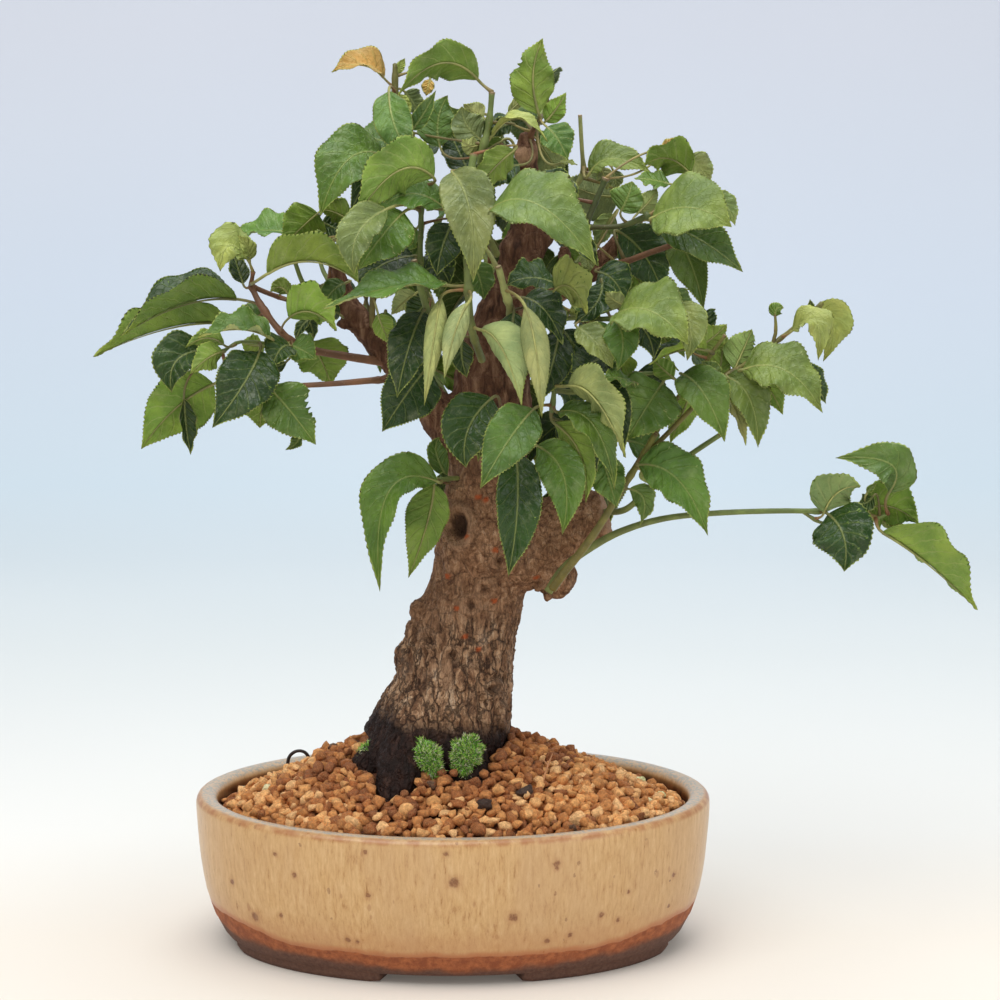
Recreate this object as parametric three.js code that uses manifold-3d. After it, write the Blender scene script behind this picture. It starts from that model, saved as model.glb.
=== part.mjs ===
// Bonsai tree in an oval stoneware training pot. Millimetres, +Z up.
// The pot stands on four feet at z = 0; its long side runs along X.
import * as THREE from 'three';
import Module from 'manifold-3d';

// ---------------------------------------------------------------- sizes
const POT_LENGTH = 260;          // rim, along X
const POT_DEPTH = 191;           // rim, along Y
const POT_HEIGHT = 77;
const RIM_WALL = 11;             // wall thickness at the rim
const WALL = 8;                  // wall thickness lower down
const FOOT_HEIGHT = 5;
const FLOOR_TOP = 14;            // inside face of the pot floor
const FOOT_GAP = 35;             // half width of the gap between the front feet
const FOOT_END = 107;            // where a foot ends toward the side of the pot
const DRAIN_RADIUS = 9;
const DRAIN_X = 52;              // two drain holes, at +-X
const SCREEN_SIZE = 30;
const SCREEN_THICK = 0.8;
const SOIL_EDGE = 73;            // soil height at the wall
const SOIL_CREST = 106;          // height the soil's dome would reach at its middle, inside the trunk
const FIT = 0.35;                // clearance between touching pieces
const TIDY = 0.06;               // how far a redundant facet corner may move the surface
const BLADE = 0.36;              // half thickness of a leaf blade at its midrib
const PETIOLE = 0.8;             // leaf stalk radius
const TINY = 24;                 // blades shorter than this take fewer facets

// Outer wall: how far the wall leans in from the rim size, by height.
const WALL_INSET = [
  [FOOT_HEIGHT, 15], [12, 11], [19, 7.5], [29, 4.5], [44, 2], [66, 0], [74, 0], [76.2, 0.8], [POT_HEIGHT, 2.8],
];

// ---------------------------------------------------------------- the plant
// WOOD: centre lines of the trunk and its limbs, [x, y, z, radius].
// SHOOTS: leafy shoots, each a list of stem lines [x, y, z, radius].
// LEAVES: [shoot, stalk start xyz, blade base xyz, blade middle xyz, tip xyz,
//          direction the upper face looks xyz, width, fold in degrees, tone].
const SHOOTS = {
  left_outer: [[[-33.3,-12.0,297.1,2.6],[-52.0,-20.0,301.0,2.3],[-71.1,-27.0,305.8,2.0],[-81.5,-30.0,313.0,1.9],[-91.9,-26.0,325.8,1.8],[-97.4,-22.0,335.6,1.6]],[[-97.4,-22.0,335.6,1.5],[-88.5,-18.0,331.3,1.4],[-78.7,-12.0,327.2,1.3]],[[-97.4,-22.0,335.6,1.2],[-96.1,-25.0,342.7,1.0]]],
  left_side: [[[-73.6,-27.0,303.9,1.6],[-80.4,-34.0,306.7,1.5],[-88.3,-38.0,309.1,1.3],[-101.7,-40.0,310.3,1.1],[-110.2,-42.0,305.7,0.9]]],
  left_lower: [[[-23.3,-16.0,288.7,2.0],[-35.3,-36.0,291.3,1.9],[-58.3,-42.0,290.2,1.6],[-88.0,-46.0,289.2,1.3]]],
  left_upper: [[[-50.6,-4.0,323.9,2.0],[-62.1,-10.0,327.5,1.9],[-71.1,-14.0,333.8,1.7],[-76.1,-18.0,346.9,1.4],[-77.4,-20.0,354.9,1.1]]],
  top_left: [[[-38.6,-12.0,312.9,2.2],[-38.1,-22.0,328.8,2.0],[-32.7,-32.0,354.0,1.9],[-28.5,-36.0,383.2,1.8],[-26.5,-36.0,407.1,1.7],[-26.4,-34.0,429.8,1.6],[-26.4,-32.0,443.0,1.6]],[[-28.5,-36.0,383.2,1.2],[-20.2,-40.0,397.8,1.1],[-17.2,-42.0,411.2,1.0]]],
  front_left: [[[-2.5,-28.0,310.8,2.0],[-8.9,-44.0,326.3,1.9],[-13.8,-54.0,346.5,1.8],[-13.6,-58.0,370.6,1.6],[-13.1,-58.0,386.7,1.4]]],
  cut_left: [[[-6.2,-34.0,304.7,2.4],[-9.0,-60.0,321.8,2.3],[-13.6,-66.0,338.2,2.2],[-16.7,-70.0,352.8,2.1]]],
  front_mid: [[[15.1,-46.0,302.3,2.6],[10.5,-64.0,318.9,2.5],[8.7,-70.0,338.6,2.4],[8.2,-66.0,361.8,2.3],[8.7,-58.0,384.8,2.3],[11.5,-54.0,401.5,2.3]]],
  top_cut: [[[22.3,-20.0,350.5,2.4],[16.1,-36.0,366.4,2.3],[13.8,-44.0,383.8,2.2],[15.2,-48.0,400.7,2.1],[18.6,-48.0,416.3,1.9],[20.0,-48.0,430.4,1.8]]],
  cut_mid: [[[26.2,-38.0,310.1,2.4],[28.6,-60.0,326.6,2.3],[25.7,-66.0,339.1,2.2],[22.9,-70.0,349.9,2.1]],[[22.4,-69.0,348.9,1.6],[19.1,-66.0,354.8,1.5],[16.2,-64.0,358.4,1.4]]],
  leader: [[[37.5,-3.0,406.2,1.6],[41.3,-8.0,412.3,1.4],[43.7,-12.0,417.4,1.2]]],
  upper_right_b: [[[47.9,-2.0,360.2,2.2],[53.4,4.0,369.5,2.0],[59.8,8.0,379.6,1.9],[66.2,6.0,390.0,1.9]],[[65.2,6.0,389.1,1.6],[64.1,4.0,400.0,1.4],[63.0,2.0,417.2,1.4]]],
  upper_right_d: [[[70.3,-12.0,346.4,2.2],[66.5,-24.0,356.2,2.1],[65.3,-32.0,365.1,2.0],[69.5,-32.0,376.7,1.9],[74.8,-32.0,388.7,1.8]],[[65.3,-32.0,365.1,1.7],[81.4,-40.0,366.3,1.6],[94.5,-46.0,371.6,1.5]]],
  upper_right_e: [[[72.7,-14.0,343.6,2.0],[83.0,-24.0,347.0,1.9],[97.2,-32.0,353.1,1.7],[112.6,-40.0,359.1,1.6]]],
  right_inner: [[[40.9,-22.0,322.9,2.0],[50.7,-46.0,327.5,1.9],[66.6,-60.0,324.2,1.6],[80.7,-64.0,324.7,1.4],[97.5,-60.0,327.1,1.1],[114.5,-54.0,325.5,0.9]]],
  centre: [[[33.5,-30.0,305.2,2.0],[42.9,-56.0,307.4,1.8],[49.0,-68.0,293.1,1.6],[48.5,-68.0,280.2,1.4]]],
  low_centre: [[[17.0,-42.0,283.3,2.0],[23.8,-58.0,274.9,1.8],[31.5,-62.0,263.9,1.5],[38.1,-64.0,266.1,1.2]]],
  right_mid: [[[39.4,-32.0,289.8,2.0],[57.4,-50.0,287.4,1.8],[76.4,-56.0,292.0,1.5],[90.8,-54.0,296.6,1.2],[107.2,-52.0,296.3,1.0]]],
  right_olive: [[[49.8,-34.0,188.2,3.0],[56.0,-42.0,198.7,2.9],[62.7,-46.0,207.9,2.7],[71.2,-52.0,221.3,2.5],[80.2,-55.0,237.0,2.3],[91.1,-56.0,255.2,2.1],[98.6,-56.0,268.3,2.0]],[[91.5,-56.0,255.7,1.7],[103.0,-55.0,266.7,1.7],[118.4,-53.0,282.4,1.6],[128.4,-52.0,292.5,1.5],[139.5,-50.0,299.5,1.5],[152.7,-46.0,308.1,1.4],[166.2,-43.0,318.4,1.4],[178.7,-42.0,329.4,1.4]],[[96.8,-56.0,264.9,1.5],[104.4,-54.0,278.2,1.5],[111.1,-53.0,288.2,1.3],[114.9,-52.0,295.4,1.2]],[[120.7,-53.0,284.9,1.2],[121.5,-54.0,300.4,1.2],[131.3,-55.0,315.5,1.2]],[[154.6,-46.0,309.6,1.0],[156.5,-45.0,316.7,0.9],[156.0,-44.0,323.9,0.8]]],
  right_cut: [[[75.3,-14.0,222.5,2.2],[84.4,-34.0,227.0,2.2],[92.9,-40.0,235.0,1.9],[111.8,-46.0,253.2,1.8],[130.3,-50.0,266.9,1.7]]],
  far_right: [[[47.4,-32.0,185.8,3.0],[55.2,-32.0,197.8,2.8],[67.9,-34.0,208.1,2.6],[83.3,-38.0,217.3,2.4],[103.6,-42.0,224.2,2.1],[129.0,-46.0,227.6,1.9],[158.9,-48.0,229.0,1.8],[179.6,-50.0,229.1,1.7]],[[170.5,-49.0,228.6,1.1],[174.8,-50.0,225.9,1.1],[180.6,-50.0,223.4,1.0],[191.2,-46.0,224.2,0.9],[203.3,-46.0,224.2,0.9],[212.0,-46.0,227.1,0.8]]],
  low_left: [[[3.1,-16.0,239.9,1.6],[-2.7,-24.0,240.7,1.5],[-8.5,-29.0,240.1,1.1]]],
  back_low: [[[15.8,0.0,241.4,2.1],[14.7,11.5,245.8,1.9],[12.4,22.9,250.2,1.7],[10.4,34.3,254.6,1.5],[7.8,45.3,259.6,1.3],[5.2,55.9,265.6,1.1]]],
  back_mid: [[[19.8,0.0,276.6,2.1],[23.6,10.1,281.8,1.9],[28.0,19.9,287.2,1.7],[31.9,29.6,293.0,1.5],[36.6,38.9,299.1,1.3],[39.9,48.6,305.3,1.1]]],
  back_right_low: [[[53.7,-4.0,216.8,2.1],[58.0,5.5,221.9,1.9],[63.0,13.7,228.4,1.7],[67.1,22.0,235.4,1.5],[68.2,30.0,243.7,1.3],[71.0,37.6,252.0,1.1]]],
  back_left: [[[-5.9,-6.0,269.9,2.1],[-12.8,3.7,274.6,1.9],[-19.0,13.7,279.8,1.7],[-22.4,24.0,286.5,1.5],[-27.8,32.5,294.4,1.3],[-33.8,40.6,302.3,1.1]]],
  back_left_limb: [[[-32.9,-8.0,301.5,2.1],[-35.1,2.9,304.9,1.9],[-37.8,13.8,307.5,1.7],[-39.7,24.9,310.6,1.5],[-42.2,35.7,314.1,1.3],[-44.9,46.0,318.5,1.1]]],
  back_left_tip: [[[-52.5,-6.0,325.6,2.1],[-56.4,1.4,329.5,1.9],[-60.4,8.2,334.1,1.7],[-64.1,15.0,339.0,1.5],[-66.6,21.2,345.4,1.3],[-69.2,26.7,352.3,1.1]]],
  back_upper: [[[27.7,-3.0,326.7,2.1],[24.7,7.1,333.3,1.9],[19.7,15.8,340.6,1.7],[14.3,23.5,348.6,1.5],[8.5,30.5,357.0,1.3],[1.3,37.6,364.3,1.1]]],
  back_leader: [[[34.6,-3.0,351.4,2.1],[35.4,7.9,355.4,1.9],[35.4,18.7,359.6,1.7],[35.6,29.3,364.2,1.5],[35.6,39.1,370.5,1.3],[35.6,48.5,377.2,1.1]]],
  back_crown: [[[37.0,-3.0,380.9,2.1],[33.6,5.3,385.3,1.9],[30.2,13.2,390.4,1.7],[26.9,20.0,396.9,1.5],[25.1,26.9,403.9,1.3],[23.9,33.2,411.6,1.1]]],
  back_right: [[[49.3,-9.0,332.3,2.1],[54.8,0.6,338.0,1.9],[60.8,10.3,342.8,1.7],[66.5,19.5,348.9,1.5],[73.7,27.1,355.5,1.3],[80.3,35.0,362.4,1.1]]],
  back_right_tip: [[[72.7,-12.0,345.4,2.1],[78.2,-4.9,347.5,1.9],[84.6,1.3,349.9,1.7],[89.8,8.1,353.1,1.5],[95.1,15.0,356.2,1.3],[99.5,22.3,359.6,1.1]]],
  back_top: [[[37.0,-2.0,400.3,2.1],[38.6,5.0,403.8,1.9],[39.4,12.2,407.3,1.7],[41.0,18.3,412.2,1.5],[44.2,23.7,417.1,1.3],[47.3,29.4,421.8,1.1]]],
  inner_left: [[[8.9,-3.0,262.0,2.1],[4.1,0.4,268.5,1.9],[-0.7,4.5,274.6,1.7],[-4.7,9.3,280.8,1.5],[-9.1,13.7,287.0,1.3],[-11.4,18.3,294.2,1.1]]],
  inner_right: [[[38.6,-8.0,317.4,2.1],[48.5,-3.7,316.8,1.9],[58.6,-0.1,317.5,1.7],[68.5,4.1,318.4,1.5],[78.1,8.4,320.8,1.3],[87.4,13.0,323.8,1.1]]],
};
const WOOD = [
  [[-10.5,0.0,96.8,36.5],[-3.5,0.0,116.1,33.3],[0.1,0.0,129.0,29.8],[3.2,0.0,144.5,27.7],[5.7,0.0,159.9,26.1],[10.8,-1.0,175.5,25.1],[14.3,-1.0,190.8,24.0],[16.3,-2.0,206.3,24.5],[15.3,-2.0,221.5,21.0],[16.3,-2.0,236.6,18.9],[18.3,-2.0,256.8,20.4],[19.3,-2.0,274.3,19.8],[19.8,-3.0,287.0,18.8],[21.8,-3.0,306.9,15.3],[26.8,-4.0,324.4,12.3],[31.7,-4.0,339.2,10.3],[34.6,-4.0,354.0,8.8],[36.6,-4.0,368.7,6.9],[37.0,-3.0,380.9,5.9],[37.0,-3.0,393.1,5.4],[37.0,-2.0,401.3,4.9],[36.5,-2.0,409.1,3.9]],
  [[19.8,-2.0,196.1,21.0],[33.8,-4.0,202.6,21.0],[47.7,-6.0,209.5,19.4],[58.6,-8.0,215.4,16.4],[68.5,-9.0,219.2,14.4],[76.4,-10.0,221.3,12.4]],
  [[12.9,-3.0,241.8,14.9],[3.0,-5.0,257.2,11.9],[-5.9,-7.0,270.5,9.9],[-14.7,-8.0,281.7,8.9],[-24.0,-9.0,293.7,8.4],[-32.8,-9.0,302.7,7.4],[-43.1,-8.0,314.4,6.4],[-51.5,-6.0,325.1,5.9],[-54.4,-6.0,334.5,4.4],[-56.3,-6.0,342.8,3.9],[-57.7,-6.0,353.6,3.4]],
  [[22.8,-4.0,309.5,11.8],[36.1,-8.0,321.3,8.4],[49.3,-10.0,331.4,6.9],[63.0,-11.0,339.4,5.9],[71.8,-12.0,343.4,5.4]],
  [[71.8,-12.0,343.4,5.4],[74.7,-12.0,349.3,4.4],[79.5,-13.0,353.3,4.2],[82.9,-13.0,357.7,3.9]],
  [[36.6,-4.0,347.6,6.9],[42.5,-3.0,353.4,5.4],[47.9,-2.0,360.2,3.9]],
  [[35.5,-3.0,395.5,4.4],[35.0,-12.0,398.0,3.9]],
  [[-15.7,-8.0,283.7,4.9],[-23.4,-14.0,287.9,3.0]],
  [[-52.0,-6.0,325.6,3.9],[-59.7,-9.0,323.4,2.9],[-64.1,-10.0,320.6,2.0]],
  [[51.7,-8.0,191.1,12.0],[50.1,-18.0,186.0,8.4]],
  [[-44.1,-8.0,316.4,3.9],[-52.3,-12.0,315.4,2.5],[-55.7,-13.0,317.0,2.5]],
  [[57.2,-8.0,332.2,4.9],[56.2,-6.0,342.8,3.4],[55.2,-4.0,353.5,2.9]],
];
const LEAVES = [
  [0,-90.6,-26.5,324.2,-110.2,-6.0,315.7,-141.7,-2.0,312.2,-178.4,4.0,297.6,-0.19,0.38,0.91,36.1,40,1],
  [0,-92.4,-25.6,326.7,-104.5,-20.0,329.0,-130.7,-26.0,326.7,-160.2,-30.0,312.1,-0.27,-0.13,0.95,38.6,48,0],
  [0,-96.1,-25.0,342.7,-98.9,-26.0,349.1,-107.6,-30.0,355.8,-111.3,-34.0,343.6,0.14,-0.71,0.69,23.4,20,6],
  [0,-96.1,-25.0,342.7,-97.3,-28.0,348.8,-98.3,-32.0,355.5,-102.9,-34.0,361.5,0.65,-0.76,-0.07,9.5,25,6],
  [0,-97.4,-22.0,335.6,-101.9,-14.0,335.8,-104.6,-10.0,343.2,-107.7,-6.0,351.7,0.31,-0.8,0.52,10.8,15,0],
  [0,-97.2,-22.4,336.6,-87.9,-44.2,343.6,-63.1,-50.5,350.0,-38.2,-53.5,335.9,0.22,0.45,0.86,30.6,38,1],
  [0,-82.2,-29.8,313.8,-77.6,-44.0,322.4,-66.1,-52.0,326.2,-54.1,-54.0,317.3,0.42,0.71,0.57,30.6,30,1],
  [0,-84.4,-15.5,329.6,-79.4,-22.0,331.7,-83.3,-22.0,335.1,-88.2,-22.0,332.7,0.04,0.92,0.4,11.0,10,1],
  [0,-89.3,-27.0,322.6,-92.4,-20.0,317.8,-98.5,-16.0,321.2,-105.1,-14.0,316.1,-0.37,-0.57,0.73,12.7,15,1],
  [0,-78.3,-29.1,310.8,-77.6,-39.6,308.3,-82.0,-46.1,307.2,-85.6,-50.2,299.0,0.15,-0.71,0.68,18.2,15,0],
  [0,-77.5,-28.8,310.3,-77.3,-36.4,308.0,-71.7,-40.7,306.5,-64.4,-43.4,302.5,-0.1,-0.72,0.68,18.0,15,1],
  [0,-74.3,-27.9,308.1,-80.2,-30.0,299.4,-86.1,-30.0,297.4,-92.0,-28.0,301.1,0.0,-0.65,0.76,10.2,15,0],
  [0,-67.3,-25.6,304.9,-69.2,-18.0,307.7,-63.7,-12.0,297.1,-59.7,-6.0,284.9,0.01,0.88,0.47,28.0,12,1],
  [1,-88.3,-38.0,309.1,-86.3,-45.7,312.9,-101.7,-50.0,317.8,-121.1,-53.8,313.9,0.11,-0.38,0.92,23.0,35,1],
  [1,-86.5,-37.1,308.6,-90.8,-30.0,307.7,-96.8,-28.0,307.4,-102.6,-28.0,309.4,0.21,0.91,0.36,12.7,10,1],
  [1,-92.4,-38.6,309.5,-91.5,-48.0,306.9,-98.7,-62.0,292.3,-113.4,-66.0,272.2,0.09,-0.91,0.41,30.2,14,0],
  [1,-110.2,-42.0,305.7,-118.6,-35.1,305.8,-132.4,-43.2,301.0,-134.3,-45.4,286.2,-0.05,-0.87,0.5,25.2,25,0],
  [1,-110.2,-42.0,305.7,-109.1,-50.0,306.7,-115.7,-56.0,304.6,-124.3,-58.0,297.1,-0.45,0.89,-0.03,15.4,20,1],
  [1,-103.6,-40.4,309.3,-109.0,-44.6,309.4,-117.8,-42.6,312.6,-128.1,-41.1,307.6,0.12,0.9,0.43,10.2,20,1],
  [1,-110.2,-42.0,305.7,-115.1,-32.9,289.0,-134.2,-28.8,276.6,-152.1,-25.1,255.8,-0.03,0.96,0.26,32.7,15,1],
  [1,-110.2,-42.0,305.7,-130.0,-31.6,281.9,-129.3,-30.8,267.0,-127.1,-30.8,253.7,0.6,-0.8,0.04,11.0,30,0],
  [2,-81.8,-45.2,289.4,-86.7,-50.0,288.8,-76.5,-54.0,278.2,-64.5,-56.0,262.5,0.08,-0.96,0.28,27.2,15,1],
  [2,-74.7,-44.2,289.7,-74.4,-44.0,268.0,-74.1,-42.0,262.3,-80.4,-42.0,257.9,-0.54,-0.83,0.16,8.0,20,1],
  [2,-84.9,-45.6,289.3,-88.4,-40.0,287.5,-91.9,-34.0,277.3,-93.3,-30.0,266.9,-0.15,0.87,0.46,21.0,10,1],
  [2,-35.3,-36.0,291.3,-10.7,-52.0,300.2,-21.1,-60.0,287.3,-32.6,-62.0,269.7,0.25,-0.96,0.14,29.6,16,0],
  [3,-77.4,-20.0,354.9,-79.1,-14.0,360.7,-92.6,-10.0,361.3,-108.3,-4.0,357.9,-0.21,-0.37,0.9,26.2,25,1],
  [3,-77.4,-20.0,354.9,-64.1,-28.2,371.6,-71.5,-26.8,365.2,-83.0,-23.4,353.7,-0.11,0.93,0.36,23.8,12,1],
  [3,-77.4,-20.0,354.9,-48.3,-16.5,366.3,-56.6,-14.6,371.0,-64.0,-12.6,371.8,0.37,0.79,0.49,18.0,15,1],
  [3,-77.4,-20.0,354.9,-63.1,-11.4,365.9,-57.5,-7.4,362.6,-52.7,-5.5,360.5,0.6,-0.7,0.4,18.0,10,0],
  [3,-77.0,-19.5,352.9,-64.8,-18.0,355.2,-69.6,-19.7,352.9,-72.0,-22.2,347.3,-0.58,0.81,0.1,10.2,15,6],
  [3,-77.4,-20.0,354.9,-57.3,-30.7,358.8,-64.0,-31.9,355.0,-68.8,-33.3,350.3,-0.09,-0.91,0.4,16.8,15,1],
  [3,-65.4,-11.5,329.8,-68.5,-20.2,319.7,-73.3,-22.1,315.1,-75.7,-24.1,308.4,-0.3,-0.83,0.48,6.6,15,0],
  [3,-65.4,-11.5,329.8,-70.1,-17.8,319.5,-68.2,-17.9,314.6,-67.2,-17.9,309.2,-0.25,-0.97,-0.06,8.0,15,0],
  [3,-65.4,-11.5,329.8,-51.1,-32.0,338.1,-57.3,-36.0,334.1,-62.0,-38.0,326.6,0.02,-0.89,0.45,12.0,15,1],
  [3,-68.7,-12.9,332.1,-62.9,-20.8,335.5,-66.5,-19.0,331.9,-69.0,-17.0,328.2,-0.53,-0.85,0.0,10.2,10,0],
  [3,-62.1,-10.0,327.5,-53.8,-30.0,322.3,-58.4,-34.0,324.2,-62.3,-34.0,319.3,0.2,-0.82,0.54,11.0,12,0],
  [4,-27.1,-36.0,399.8,-31.3,-50.2,400.4,-48.3,-61.3,398.7,-61.1,-65.1,372.6,-0.12,-0.82,0.57,32.7,14,1],
  [4,-19.3,-40.6,402.0,-25.5,-37.2,403.8,-39.2,-40.8,408.3,-53.5,-41.2,407.4,0.18,-0.52,0.84,21.3,10,1],
  [4,-27.4,-36.0,396.7,-24.1,-35.2,402.8,-37.4,-39.5,392.1,-48.0,-41.6,371.7,-0.12,-0.95,0.29,18.2,12,0],
  [4,-26.4,-33.7,431.9,-31.6,-34.0,436.5,-41.9,-38.0,442.8,-56.6,-40.0,439.5,0.23,-0.52,0.82,20.9,30,5],
  [4,-26.4,-34.0,429.8,-28.7,-49.8,431.0,-25.5,-65.7,415.3,-16.0,-69.6,398.3,-0.13,-0.87,0.48,18.9,12,1],
  [4,-26.4,-33.1,435.9,-25.5,-32.9,428.8,-22.2,-33.0,423.1,-19.3,-33.2,417.4,0.27,0.96,0.12,8.0,20,6],
  [4,-26.4,-33.8,430.9,-21.9,-26.0,429.5,-18.1,-22.0,424.1,-15.3,-20.0,418.7,0.68,-0.73,0.0,12.7,10,3],
  [4,-26.4,-32.9,437.0,-9.9,-20.0,435.5,-10.9,-22.0,431.3,-11.9,-22.0,427.4,-0.11,-0.96,0.26,6.6,10,5],
  [4,-26.4,-33.4,433.9,-25.6,-28.0,438.2,-23.7,-28.0,442.0,-21.7,-28.0,445.8,-0.14,-0.99,0.07,5.1,20,6],
  [4,-37.9,-22.4,329.7,-35.1,-36.0,323.5,-32.6,-40.0,317.1,-28.7,-42.0,309.1,0.31,0.92,-0.24,11.4,12,1],
  [4,-18.1,-41.4,407.1,-18.0,-46.0,412.4,-12.2,-48.0,420.5,-6.5,-48.0,431.4,-0.34,-0.93,0.11,9.5,20,1],
  [5,-13.1,-58.0,386.7,-7.3,-64.3,390.9,-24.8,-75.6,394.5,-45.3,-79.6,370.1,-0.48,0.84,0.25,30.4,14,1],
  [5,-13.4,-58.0,377.7,-3.1,-61.8,377.1,-18.6,-65.7,383.5,-33.7,-64.2,374.9,0.0,-0.65,0.76,23.0,12,1],
  [5,-13.4,-58.0,376.7,-29.1,-75.3,377.2,-42.7,-88.0,365.6,-43.6,-91.2,347.3,-0.05,-0.87,0.49,22.2,30,3],
  [5,-13.5,-58.0,374.6,-21.4,-68.5,375.2,-31.5,-76.4,364.6,-42.6,-81.5,349.2,0.06,-0.91,0.4,28.8,14,1],
  [5,-13.6,-57.7,368.6,1.0,-56.0,368.6,-3.6,-62.0,357.7,-6.0,-66.0,344.8,0.27,-0.91,0.31,19.6,20,0],
  [5,-13.7,-56.5,361.6,-16.1,-36.0,365.0,-20.5,-34.0,359.0,-24.5,-32.0,354.0,-0.53,-0.84,0.09,12.7,12,1],
  [5,-13.8,-54.8,351.5,-17.3,-46.5,352.5,-31.3,-56.8,349.6,-43.5,-63.1,340.3,0.1,-0.69,0.71,35.7,12,0],
  [5,-13.8,-54.5,349.5,-14.4,-50.0,343.7,-5.7,-54.0,347.5,0.0,-58.0,339.7,-0.18,-0.68,0.71,21.3,10,0],
  [5,-11.9,-50.1,338.6,-14.9,-30.0,348.1,-22.2,-26.0,353.5,-27.2,-22.0,361.9,0.57,0.82,0.03,18.0,12,0],
  [6,-10.0,-61.3,325.5,-12.6,-67.2,328.3,-19.4,-80.9,311.4,-24.6,-85.6,289.3,-0.1,-0.89,0.45,23.0,18,0],
  [6,-7.0,-40.7,309.1,-17.0,-24.0,332.4,-23.5,-22.0,327.3,-29.4,-20.0,321.2,0.03,0.95,0.31,11.7,25,4],
  [6,-10.5,-62.0,327.3,-10.6,-50.5,331.8,-15.5,-49.3,325.9,-22.1,-51.2,319.9,-0.26,-0.92,0.3,15.4,10,0],
  [7,9.8,-56.4,391.7,1.1,-58.2,393.3,9.7,-74.4,375.7,11.2,-81.9,343.1,-0.02,-0.91,0.42,28.8,26,3],
  [7,8.7,-69.7,340.6,-1.6,-75.5,341.5,-25.2,-87.3,341.8,-59.0,-93.0,332.1,-0.05,-0.35,0.93,28.9,22,1],
  [7,8.7,-70.0,338.6,-3.9,-80.6,335.9,-6.9,-93.1,318.6,-11.6,-97.1,286.7,-0.02,0.95,-0.31,23.8,66,4],
  [7,8.7,-70.0,338.6,9.3,-83.8,334.4,2.9,-96.1,321.7,-2.2,-99.6,299.7,-0.14,0.92,-0.37,23.8,64,4],
  [7,10.3,-64.6,320.9,14.8,-71.2,319.8,25.2,-86.0,312.1,34.1,-94.3,286.8,0.64,0.75,-0.15,27.9,50,4],
  [7,11.5,-54.0,401.5,30.5,-48.0,403.1,21.0,-52.0,394.8,12.4,-54.0,384.5,-0.47,0.86,0.18,18.0,10,1],
  [7,8.4,-67.6,352.8,10.4,-50.0,349.9,14.2,-50.0,341.3,16.1,-50.0,331.7,0.36,-0.93,0.11,15.4,12,1],
  [7,11.9,-58.8,314.1,5.7,-62.0,313.9,5.7,-62.0,305.3,8.1,-60.0,295.4,0.22,-0.97,-0.08,12.0,14,0],
  [8,20.0,-48.0,430.4,13.4,-44.0,435.9,-4.4,-56.0,444.3,-24.6,-60.0,429.1,-0.41,0.77,0.5,22.4,16,1],
  [8,15.9,-48.0,403.8,20.0,-48.0,409.7,32.3,-56.0,418.6,46.5,-58.0,407.4,-0.01,-0.26,0.97,12.7,25,6],
  [8,18.6,-48.0,416.3,29.5,-40.0,414.9,23.8,-42.0,413.1,18.1,-42.0,407.5,-0.1,-0.91,0.4,10.2,15,0],
  [8,16.6,-48.0,406.9,14.7,-38.8,407.3,7.6,-39.0,414.9,5.7,-38.9,423.4,0.26,-0.96,0.14,18.2,12,3],
  [8,18.7,-48.0,417.3,16.1,-30.0,417.3,11.3,-28.0,420.1,6.0,-28.0,423.9,0.21,0.98,0.02,11.7,12,4],
  [8,15.1,-47.5,398.7,14.3,-46.0,405.8,9.5,-48.0,405.0,5.8,-48.0,408.3,-0.12,0.93,0.34,10.2,10,4],
  [8,15.2,-48.0,400.7,-4.8,-40.7,404.1,-5.8,-36.3,416.6,-1.1,-34.2,428.4,-0.04,-0.96,0.26,21.0,12,1],
  [8,16.4,-48.0,405.9,-16.4,-34.5,412.7,-9.7,-34.4,410.8,-3.0,-34.8,404.2,0.28,-0.84,0.47,11.7,12,1],
  [8,13.9,-44.5,385.8,9.4,-30.0,390.0,3.5,-24.0,401.6,-1.3,-20.0,412.0,0.2,-0.85,0.49,18.2,12,0],
  [8,13.9,-44.5,385.8,19.6,-78.7,377.4,42.2,-98.6,380.4,68.5,-104.3,353.2,0.04,-0.65,0.76,39.9,12,2],
  [9,26.9,-63.4,333.8,35.2,-65.7,334.4,45.5,-70.0,328.2,53.6,-71.3,312.6,0.44,-0.71,0.55,23.0,16,0],
  [9,25.9,-65.6,338.2,35.5,-82.2,332.3,40.5,-96.8,313.4,43.3,-101.8,281.7,0.08,0.93,-0.35,23.8,58,4],
  [9,26.9,-63.4,333.8,30.4,-63.3,327.4,30.4,-69.1,312.4,35.2,-69.2,294.7,-0.15,-0.98,0.16,18.2,14,0],
  [9,28.4,-60.4,327.5,50.6,-47.8,339.2,38.1,-53.1,342.6,26.7,-56.1,339.1,0.2,-0.57,0.8,23.0,12,0],
  [10,43.7,-12.0,417.4,42.6,-20.0,418.7,39.7,-22.0,437.5,44.5,-20.0,455.1,-0.13,0.99,0.01,23.7,20,1],
  [10,39.4,-5.5,409.3,27.7,-4.0,418.4,33.6,0.0,423.6,40.9,2.0,427.4,-0.53,0.82,0.23,6.6,10,4],
  [10,42.5,-10.0,414.8,45.6,-16.0,414.7,50.9,-16.0,420.9,55.8,-14.0,429.0,-0.24,0.97,0.04,11.4,12,1],
  [10,43.7,-12.0,417.4,46.4,-26.0,412.8,51.7,-30.0,406.8,56.5,-32.0,397.3,0.15,-0.88,0.44,18.2,12,1],
  [10,41.3,-8.0,412.3,42.2,-14.0,416.0,35.4,-16.0,419.0,27.7,-18.0,417.2,0.19,-0.43,0.89,11.0,10,1],
  [10,41.7,-8.7,413.2,52.8,-24.0,395.4,56.6,-24.0,395.9,61.5,-24.0,394.4,0.1,-0.45,0.89,5.8,10,6],
  [10,38.0,-3.6,407.0,41.9,1.8,405.0,47.9,5.7,395.9,56.4,9.2,383.9,0.01,0.94,0.33,18.2,10,4],
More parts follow.
